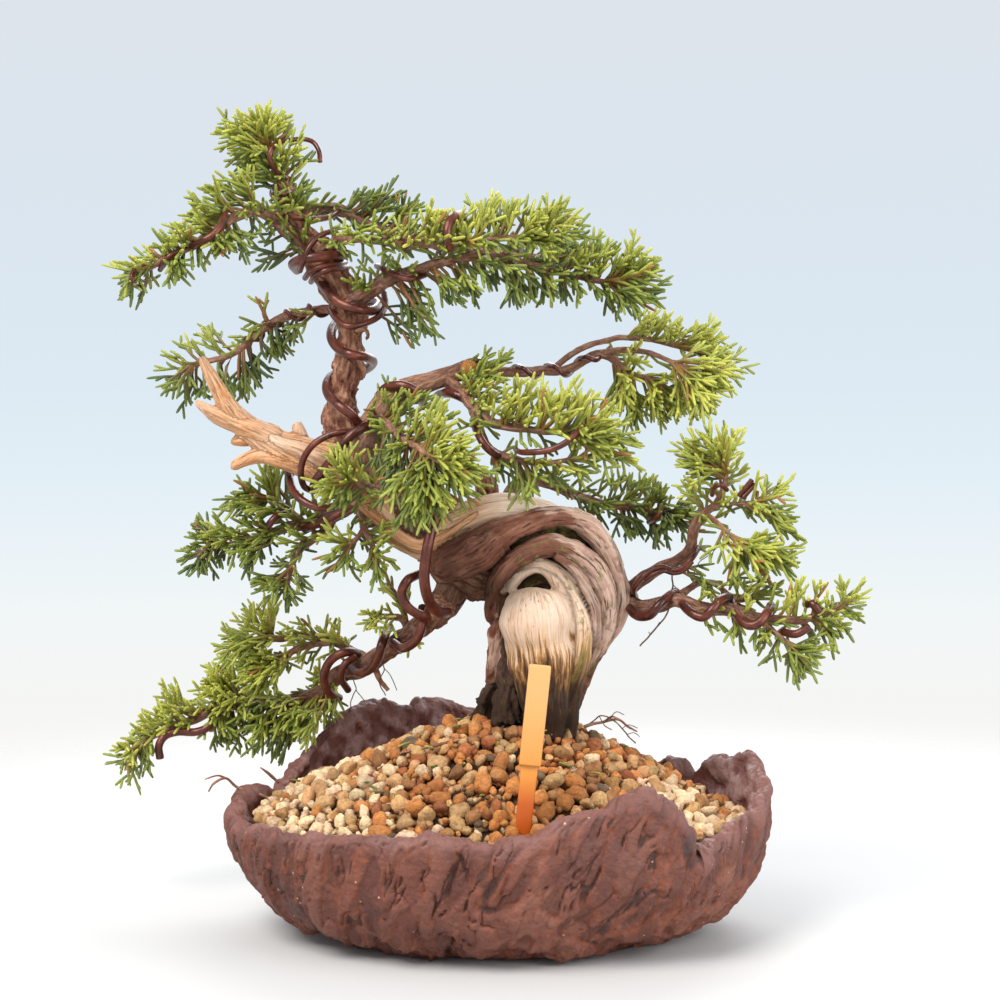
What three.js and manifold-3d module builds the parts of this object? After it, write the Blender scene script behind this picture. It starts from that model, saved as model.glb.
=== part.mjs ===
// Bonsai tree in a hand-built pot: a twisted juniper with deadwood, wired branches and foliage pads.
// Millimetres, +Z up, +X to the right of the display side, -Y towards the viewer.
// The origin is the middle of the pot's flat base, on the surface that the pot stands on.
import * as THREE from 'three';
import { mergeVertices } from 'three/addons/utils/BufferGeometryUtils.js';
import Module from 'manifold-3d';

// ---- driving dimensions -------------------------------------------------------------------------
const GAP = 0.35;                 // air between two pieces that touch
const WIRE_ROOM = 1.2;            // room that foliage leaves round a wire

const POT_HALF_WIDTH = 81;        // outside, along X, at the belly
const POT_HALF_DEPTH = 66;        // outside, along Y, at the belly
const POT_RIM = 38;               // the height at which the belly is widest
const POT_WALL = 7;
const POT_FLOOR = 7;
const POT_FOOT_SHARE = 0.56;      // the flat base, as a share of the belly
const POT_SIDES = 60;

// The torn rim: [degrees from +X, height] all the way round.
const RIM = [
  [0, 47.4], [5, 50], [11, 50.8], [15.6, 50.2], [18.4, 47.4], [20, 49], [22.5, 48.8], [26, 46.6],
  [29, 42.5], [31, 39], [33, 42], [35, 45], [37, 44.6], [39, 46], [42, 44], [46, 40], [53, 38.6],
  [60, 38], [72, 43], [84, 51], [93, 57], [99, 59.5], [106, 61.5], [112, 62.5], [115.2, 62],
  [116.8, 58.6], [118.6, 61.5], [123, 62.4], [130, 62], [136, 59.6], [142, 54.5], [148, 49], [153, 44.5],
  [158, 40], [162, 37], [167, 38.6], [171, 39], [176, 37.4], [183, 36.6], [190, 35.4], [197, 34.4],
  [205, 36], [213, 35.8], [220, 37], [228, 36.2], [236, 38.4], [244, 37.8], [252, 39.6], [262, 38],
  [270, 36.8], [277, 38.2], [280, 40.2], [284, 43], [289.5, 45.4], [295.5, 46.4], [300, 48.4],
  [304.4, 49], [309, 46.6], [312.8, 42.8], [315.2, 38], [316.8, 32.6], [318.2, 30], [325, 33],
  [332, 36.6], [338, 39], [346, 41], [353, 44],
];

const DRAIN_RADIUS = 7;
const DRAIN_RECESS_RADIUS = 10;
const DRAIN_RECESS_DEPTH = 2.6;
const DRAIN_X = 25;               // the two holes stand this far left and right of the middle
const DRAIN_Y = 6;

const MESH_SIDE = 24;
const MESH_THICK = 0.8;
const MESH_PITCH = 5;
const MESH_HOLE = 3.8;

const SOIL_PEAK = 63;             // the mound's top, beside the trunk
const SOIL_EDGE = 34;             // where it meets the pot's wall
const SOIL_X = 4;                 // the mound's centre
const SOIL_Y = 7;
const SOIL_RIGHT_SHARE = 0.82;    // how far the mound's right side reaches, as a share of its left side
const SOIL_WALL_GAP = 1.9;        // between the soil and the pot's faceted wall

const STAKE_HEAD = { wide: 6, tall: 27.5, thick: 2.6 };
const STAKE_STEM = { wide: 4.7, tall: 42, thick: 1.4 };
const STAKE_FOOT = new THREE.Vector3(3.7, -50.5, 14);
const STAKE_LEAN = 6;             // degrees, towards +X

const CLIP_WIRE = 0.75;           // radius
const [WIRE_SIDES, LIMB_SIDES, TRUNK_SIDES, DRILL_SIDES] = [6, 6, 8, 20];
const SHORTEST_EDGE = 0.002;

// ---- colours and finishes -----------------------------------------------------------------------
const FINISH = {
  pot: { color: 0x6b463f, roughness: 0.75, metalness: 0 },
  soil: { color: 0xb98550, roughness: 0.95, metalness: 0 },
  trunk: { color: 0xb8926c, roughness: 0.8, metalness: 0 },
  bark: { color: 0x7a5443, roughness: 0.85, metalness: 0 },
  foliage: { color: 0x7f9c3e, roughness: 0.6, metalness: 0 },
  wire: { color: 0x6d3b2c, roughness: 0.35, metalness: 0.8 },
  stake: { color: 0xf0b060, roughness: 0.5, metalness: 0 },
  drainMesh: { color: 0x2f3330, roughness: 0.6, metalness: 0 },
};

// ---- solids -------------------------------------------------------------------------------------
const wasm = await Module();
wasm.setup();

/** A closed geometry as a solid that can be joined and cut. */
function solid(geometry) {
  const bare = geometry.clone();
  for (const name of Object.keys(bare.attributes)) {
    if (name !== 'position') bare.deleteAttribute(name);
  }
  const whole = mergeVertices(bare, 1e-4);
  return new wasm.Manifold(new wasm.Mesh({
    numProp: 3,
    vertProperties: Float32Array.from(whole.attributes.position.array),
    triVerts: Uint32Array.from(whole.index.array),
  }));
}

/** The largest single body of a solid, as a geometry whose shortest edges are closed up. */
function geometryOf(body) {
  const parts = body.decompose().sort((a, b) => b.volume() - a.volume());
  const { vertProperties, triVerts } = parts[0].getMesh();
  const geometry = new THREE.BufferGeometry();
  geometry.setAttribute('position', new THREE.BufferAttribute(vertProperties, 3));
  geometry.setIndex(Array.from(triVerts));
  const whole = mergeVertices(geometry, SHORTEST_EDGE);
  const corners = Array.from(whole.index.array);
  const kept = [];
  for (let i = 0; i < corners.length; i += 3) {
    const [a, b, c] = corners.slice(i, i + 3);
    if (a !== b && b !== c && c !== a) kept.push(a, b, c);
  }
  whole.setIndex(kept);
  return whole;
}

const joined = (bodies) => bodies.reduce((all, body) => all.add(body));
const cutBy = (body, tools) => tools.reduce((left, tool) => left.subtract(tool), body);

// ---- round limbs and wires ----------------------------------------------------------------------
/** A smooth line through stations [x, y, z, radius], with its frames and its radius at any place. */
class Route {
  constructor(stations) {
    this.stations = stations;
    this.curve = new THREE.CatmullRomCurve3(
      stations.map(([x, y, z]) => new THREE.Vector3(x, y, z)), false, 'centripetal');
  }

  radius(t) {
    const place = t * (this.stations.length - 1);
    const i = Math.min(Math.floor(place), this.stations.length - 2);
    return THREE.MathUtils.lerp(this.stations[i][3], this.stations[i + 1][3], place - i);
  }
}

/** Frames carried along a curve without twist: [{ point, normal, binormal }] at steps + 1 places. */
function framesAlong(curve, steps, from = 0, to = 1) {
  const frames = [];
  let normal = null;
  for (let i = 0; i <= steps; i++) {
    const t = THREE.MathUtils.lerp(from, to, i / steps);
    const tangent = curve.getTangent(t);
    if (!normal) {
      const side = Math.abs(tangent.z) < 0.9 ? new THREE.Vector3(0, 0, 1) : new THREE.Vector3(1, 0, 0);
      normal = side.cross(tangent).normalize();
    }
    normal = normal.clone().addScaledVector(tangent, -normal.dot(tangent)).normalize();
    frames.push({ t, point: curve.getPoint(t), normal, binormal: tangent.clone().cross(normal) });
  }
  return frames;
}

/** A cylinder bent along the frames, with radiusAt(step) at each of them. */
function bentTube(frames, radiusAt, sides) {
  const steps = frames.length - 1;
  const tube = new THREE.CylinderGeometry(1, 1, 1, sides, steps);
  const place = tube.attributes.position;
  for (let i = 0; i < place.count; i++) {
    const step = Math.round((place.getY(i) + 0.5) * steps);
    const { point, normal, binormal } = frames[step];
    const size = radiusAt(step);
    const at = point.clone()
      .addScaledVector(normal, place.getX(i) * size)
      .addScaledVector(binormal, -place.getZ(i) * size);
    place.setXYZ(i, at.x, at.y, at.z);
  }
  return solid(tube);
}

/** A tapered limb along stations [x, y, z, radius], `grow` thicker all round. */
function limb(stations, grow = 0, sides = LIMB_SIDES) {
  const route = new Route(stations);
  const frames = framesAlong(route.curve, stations.length - 1);
  return bentTube(frames, (step) => route.radius(frames[step].t) + grow, sides);
}

/** A plain wire of one thickness through the given points. */
function wire(points, radius, grow = 0, steps = points.length + 3) {
  const places = points.map((p) => new THREE.Vector3(...p));
  const curve = new THREE.CatmullRomCurve3(places, false, 'centripetal');
  return bentTube(framesAlong(curve, steps), () => radius + grow, WIRE_SIDES);
}

// ---- the pot ------------------------------------------------------------------------------------
/** The rim's height at an angle from +X. */
function rimHeight(angle) {
  const degrees = THREE.MathUtils.euclideanModulo(THREE.MathUtils.radToDeg(angle), 360);
  const after = RIM.findIndex(([at]) => at > degrees);
  const [low, lowHeight] = after < 0 ? RIM.at(-1) : RIM[after - 1];
  const [high, highHeight] = after < 0 ? [RIM[0][0] + 360, RIM[0][1]] : RIM[after];
  return THREE.MathUtils.mapLinear(degrees, low, high, lowHeight, highHeight);
}

/** The outside radius at an angle and a height: an oval bowl with a full belly. */
function potRadius(angle, height) {
  const belly = 1 / Math.hypot(Math.cos(angle) / POT_HALF_WIDTH, Math.sin(angle) / POT_HALF_DEPTH);
  const climb = Math.min(Math.max(height / POT_RIM, 0), 1);
  const share = POT_FOOT_SHARE + (1 - POT_FOOT_SHARE) * Math.sqrt(1 - (1 - climb) ** 2.2);
  return belly * share;
}

/** A turned solid whose rows are moved to rowAt(angle, row) = [radius, height]; ends are on the axis. */
function turned(rows, sides, rowAt) {
  const profile = [];
  for (let row = 0; row < rows; row++) {
    profile.push(new THREE.Vector2(row === 0 || row === rows - 1 ? 0 : 1, row));
  }
  const lathe = new THREE.LatheGeometry(profile, sides);
  const place = lathe.attributes.position;
  for (let i = 0; i < place.count; i++) {
    const row = Math.round(place.getY(i));
    const angle = (Math.floor(i / rows) % sides) * ((2 * Math.PI) / sides);
    const [radius, height] = rowAt(angle, row);
    place.setXYZ(i, radius * Math.cos(angle), radius * Math.sin(angle), height);
  }
  return solid(lathe);
}

/** The bowl: up the outside, over the rim, down the inside and across the floor. */
function potBowl() {
  const outside = [0, 0.03, 0.12, 0.28, 0.5, 0.75, 0.95];
  const inside = [0.96, 0.7, 0.45, 0.25];
  const rows = 1 + outside.length + 1 + inside.length + 2;
  return turned(rows, POT_SIDES, (angle, row) => {
    const rim = rimHeight(angle);
    if (row === 0) return [0, 0];
    if (row <= outside.length) {
      const height = outside[row - 1] * rim;
      return [potRadius(angle, height), height];
    }
    if (row === outside.length + 1) return [potRadius(angle, rim) - POT_WALL / 2, rim];
    const step = row - outside.length - 2;
    if (step < inside.length) {
      const height = Math.max(inside[step] * rim, POT_FLOOR + 1);
      return [potRadius(angle, height) - POT_WALL, height];
    }
    if (step === inside.length) return [potRadius(angle, POT_FLOOR) - POT_WALL - 3, POT_FLOOR];
    return [0, POT_FLOOR];
  });
}

/** The centres of the two drainage holes. */
const drainPlaces = [[-DRAIN_X, DRAIN_Y], [DRAIN_X, DRAIN_Y]];

/** A standing round bar, for drilling. */
function bar(radius, low, high, x, y) {
  const shape = new THREE.CylinderGeometry(radius, radius, high - low, DRILL_SIDES);
  return solid(shape.rotateX(Math.PI / 2).translate(x, y, (low + high) / 2));
}

function makePot() {
  const drills = drainPlaces.flatMap(([x, y]) => [
    bar(DRAIN_RADIUS, -1, POT_FLOOR + 1, x, y),
    bar(DRAIN_RECESS_RADIUS, -1, DRAIN_RECESS_DEPTH, x, y),
  ]);
  return cutBy(potBowl(), drills);
}

/** A box of the given size, centred on [x, y], from a height up. */
function block(wide, deep, tall, x, y, low) {
  return solid(new THREE.BoxGeometry(wide, deep, tall).translate(x, y, low + tall / 2));
}

/** The square of plastic netting over a drainage hole. */
function drainMesh(x, y, grow = 0) {
  const side = MESH_SIDE + 2 * grow;
  const low = POT_FLOOR + GAP - grow;
  const plate = block(side, side, MESH_THICK + 2 * grow, x, y, low);
  if (grow) return plate;
  const places = [-1, 0, 1].map((i) => i * MESH_PITCH);
  return cutBy(plate, places.flatMap((u) => places.map(
    (v) => block(MESH_HOLE, MESH_HOLE, MESH_THICK * 3, x + u, y + v, low - MESH_THICK))));
}

/** The bent wire that pins the netting: two legs through it, with their feet turned out in the recess. */
function meshClip(x, y, grow = 0) {
  const foot = 1.3;
  const top = POT_FLOOR + GAP + MESH_THICK + CLIP_WIRE + GAP;
  const side = [[-8.4, foot], [-5.6, foot], [-MESH_PITCH, foot + 1.4], [-MESH_PITCH, top - 1.6],
    [-2.6, top]];
  const legs = [...side, ...side.map(([a, z]) => [-a, z]).reverse()];
  return wire(legs.map(([a, z]) => [x, y + a, z]), CLIP_WIRE, grow);
}

/** The wire that ties the roots down: up through one hole, round the roots and down the other. */
function anchorWire(grow = 0) {
  const near = DRAIN_X - MESH_PITCH;
  const foot = [[4, 1.2], [1.4, 1.2], [0, 2.8], [0, 5], [0, 12]];
  return wire([
    ...foot.map(([inward, z]) => [-near + inward, DRAIN_Y, z]),
    [-17, 0, 24], [-5, -12, 32], [12, -16, 35], [26, -10, 31], [near + 4, 0, 22],
    ...foot.map(([inward, z]) => [near - inward, DRAIN_Y, z]).reverse(),
  ], CLIP_WIRE, grow, 28);
}

// ---- the trunk ----------------------------------------------------------------------------------
// Each strand is a list of stations [x, y, z, radius].
const STRANDS = {
  core: [[13, 8, 26, 9], [12, 8, 38, 12], [9.5, 7, 50, 11.5], [9.2, 7, 58, 12.2], [9.8, 7, 66, 12],
    [11.5, 7, 74, 11.6], [16.5, 8, 90, 12.8], [17.5, 8, 98, 13], [15.5, 7, 106, 12.2], [10, 6, 111, 10.5],
    [2.4, 4.5, 112.5, 9.5], [-4.5, 3, 113, 9], [-11.4, 2, 113.5, 8.8], [-24.7, 2, 119.6, 7.8],
    [-32, 4, 124.1, 7.4], [-42.1, 5, 132.8, 7.4], [-48.1, 5, 138.9, 6.4]],
  deadwoodDome: [[14, -4, 58, 6], [14, -5, 62, 6.5], [13.6, -7, 67, 7.4], [13, -8.6, 71.8, 8.3],
    [12.7, -10, 77.2, 9.1], [11.2, -13, 89.8, 11], [10.7, -13.6, 94.5, 10.9], [10.3, -13.8, 98, 9.7],
    [9.8, -13.8, 100.4, 7.6], [9.7, -13.8, 101.9, 4.7], [9.7, -13.8, 102.4, 1.5]],
  paleLip: [[18.5, -2, 57.8, 4.2], [19.1, -4, 63.1, 4.2], [20.4, -8, 74.8, 5], [21.5, -9.5, 81.4, 5.5],
    [22.4, -10, 87.9, 5.5], [22.1, -10, 94.4, 5], [17.7, -10, 104.7, 3.4], [14.4, -10, 107.7, 2.7],
    [10.9, -9.6, 108.8, 2.6], [3.8, -9, 104.4, 2.3], [2, -8, 101, 2]],
  innerVein: [[19.5, 2, 57.2, 2.3], [23.4, -1, 70.5, 2.1], [26, -2, 77.2, 1.9], [30.7, -4, 89.3, 3],
    [31.5, -5, 95.3, 3.7], [28.1, -8, 106.4, 4.1], [24.2, -10, 110.9, 3.8], [14.1, -12, 114.8, 3.2],
    [9.4, -12, 113.6, 3.1], [2.4, -9, 107.9, 3.7], [0, -6, 103.1, 3.6], [-1.2, 0, 92, 2.4]],
  outerVein: [[26.4, 2, 75.4, 1.2], [28.8, 2.6, 80.6, 1.5], [34.9, 1.5, 90.7, 2.4], [36.4, 1, 96.1, 2.6],
    [34.7, -1, 107, 2.7], [32.3, -2, 112.5, 3], [29.5, -4, 116.7, 3.3], [21.6, -8.5, 122.7, 3.1],
    [16.8, -10.5, 123.3, 2.9], [5.3, -12.5, 120.4, 3.7], [0, -12, 117.7, 4.7], [-11.2, -8, 110.9, 6.2],
    [-16.4, -5, 108.4, 5.4]],
  foldFloor: [[32.3, 8, 85.4, 2.4], [33.4, 7, 94.6, 3], [32.8, 6, 102.2, 3.9], [30.3, 5, 108.9, 4.2],
    [21.3, 0, 117.2, 3.6], [15.5, -2, 118.1, 3.3], [9, -3, 117, 3.3], [3, -3, 114.3, 3.9]],
  twist: [[24.9, -6, 75.8, 1.2], [26.6, -9, 82.3, 1.3], [27.9, -11, 88.6, 1.5], [27.9, -12.5, 95.2, 1.6],
    [25.7, -14, 101.1, 1.6], [22.5, -15, 106.4, 1.5], [19, -15.5, 109.9, 1.2], [16.1, -15, 111.7, 0.9]],
  belly: [[0, 3, 102, 5], [-6, 1, 104.4, 6.6], [-11.4, 1, 107.4, 7.4], [-16, 1, 109.8, 7.4],
    [-19, 2, 111.4, 5.6]],
  branchRoot: [[-11, 1, 109, 5.6], [-14.5, 1.5, 101.5, 5], [-18, 3, 95.5, 4.2], [-21.5, 5, 91.2, 3.6]],
  baseLeft: [[-4.9, 6, 56.7, 4.5], [-4.5, 5, 63.2, 3.6], [-3.3, 3, 67.7, 2.7], [-1.5, 0, 71.6, 1.8]],
  leftVein: [[-3, 7, 56.6, 4.3], [-3.3, 6, 62.8, 3.9], [-3, 5, 68.1, 3.3], [-1.8, 4, 73.6, 2.7],
    [-1.2, 2, 79.2, 2.6], [-1.2, 1, 85, 2.3], [-0.6, 0, 91.4, 2.1], [0, 0, 98, 1.9]],
  leftFlank: [[2.4, -3, 61.8, 5.1], [2.1, -3, 68.3, 4.2], [1.5, -3, 74.3, 3.3], [0.9, -3, 80.3, 2.7],
    [0.3, -3, 86.2, 2.1]],
  backVein: [[14, 17, 56, 4.2], [20, 18, 70, 4.2], [26, 18, 84, 4.4], [27, 18, 97, 4.6],
    [20, 17, 109, 4.6], [8, 14, 116, 4.4], [-6, 10, 119, 4.2], [-20, 7, 120, 4]],
  backWood: [[3, 16, 56, 4], [6, 18, 70, 4.4], [12, 19, 84, 4.6], [13, 18, 97, 4.4], [6, 15, 106, 4],
    [-6, 11, 112, 3.4]],
  topShari: [[29.6, 10, 105.1, 2.4], [28, 9, 110.9, 3.4], [24.3, 8, 116.4, 4], [14.4, 1, 123.2, 4.5],
    [9, -2, 124.1, 5.1], [3.6, -3, 124.4, 5.5], [-1.5, -3.5, 124.1, 6], [-6.6, -4, 122.6, 6],
    [-12.2, -4, 120.3, 6], [-22.5, 0, 116, 6], [-30.1, 2, 120.5, 6.3], [-39.2, 3.5, 129.8, 6.6]],
  stub: [[-3.6, 1, 121, 3.2], [-4, 4, 128, 3], [-4.2, 3, 133.6, 3.4], [-4.2, 2.4, 135.8, 2.2]],
  jin: [[-45.5, 4.5, 136, 7], [-51, 3.5, 138.4, 6.9], [-64, 2.4, 143, 5.6], [-71, 1.6, 146.4, 4.6],
    [-76.4, 0, 150.2, 3.7], [-80.4, -2, 155, 3], [-86.4, -6, 166, 1.8], [-88.4, -7.4, 170.4, 0.7]],
  jinMiddle: [[-68, 1, 146, 4], [-75, -1, 149.4, 3.2], [-81, -2.4, 151.6, 2.7], [-86, -3.6, 154, 2.2],
    [-89.6, -4.4, 156.6, 1.3], [-90.6, -4.6, 157.4, 0.5]],
  jinLower: [[-54, 2, 137.6, 5], [-60, 1, 138.6, 3.8], [-66, 0.4, 140.2, 2.9], [-72, 0, 141.2, 2.4],
    [-76.4, -0.6, 139.9, 2.1], [-79.6, -1, 138, 1.5], [-80.6, -1, 137.4, 0.5]],
  jinStub: [[-59.6, 3.4, 145, 2.4], [-60.8, 3, 149, 2.1], [-61.4, 3, 151.4, 1.5]],
  leader: [[-44, 6, 134, 6.8], [-46, 7, 143, 7], [-48.4, 8, 152, 5.4], [-48, 8, 160, 4.5],
    [-46.4, 7, 168, 3.9], [-45.4, 6, 176, 3.9], [-45.4, 5, 184, 4.2], [-47.6, 4, 190, 4.6],
    [-51, 4, 196.4, 4.4], [-54.8, 4, 202.4, 4.5], [-59, 3, 207.4, 3.5], [-61.6, 2, 213.2, 2.6],
    [-63.6, 1, 219.4, 2.1], [-66.6, 0, 226.2, 1.6], [-68.6, -2, 232.4, 1.3], [-71, -4, 238.6, 0.9]],
};

const trunkSolid = (grow = 0) => joined(Object.values(STRANDS)
  .map((strand) => limb(strand, grow, TRUNK_SIDES)));

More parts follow.
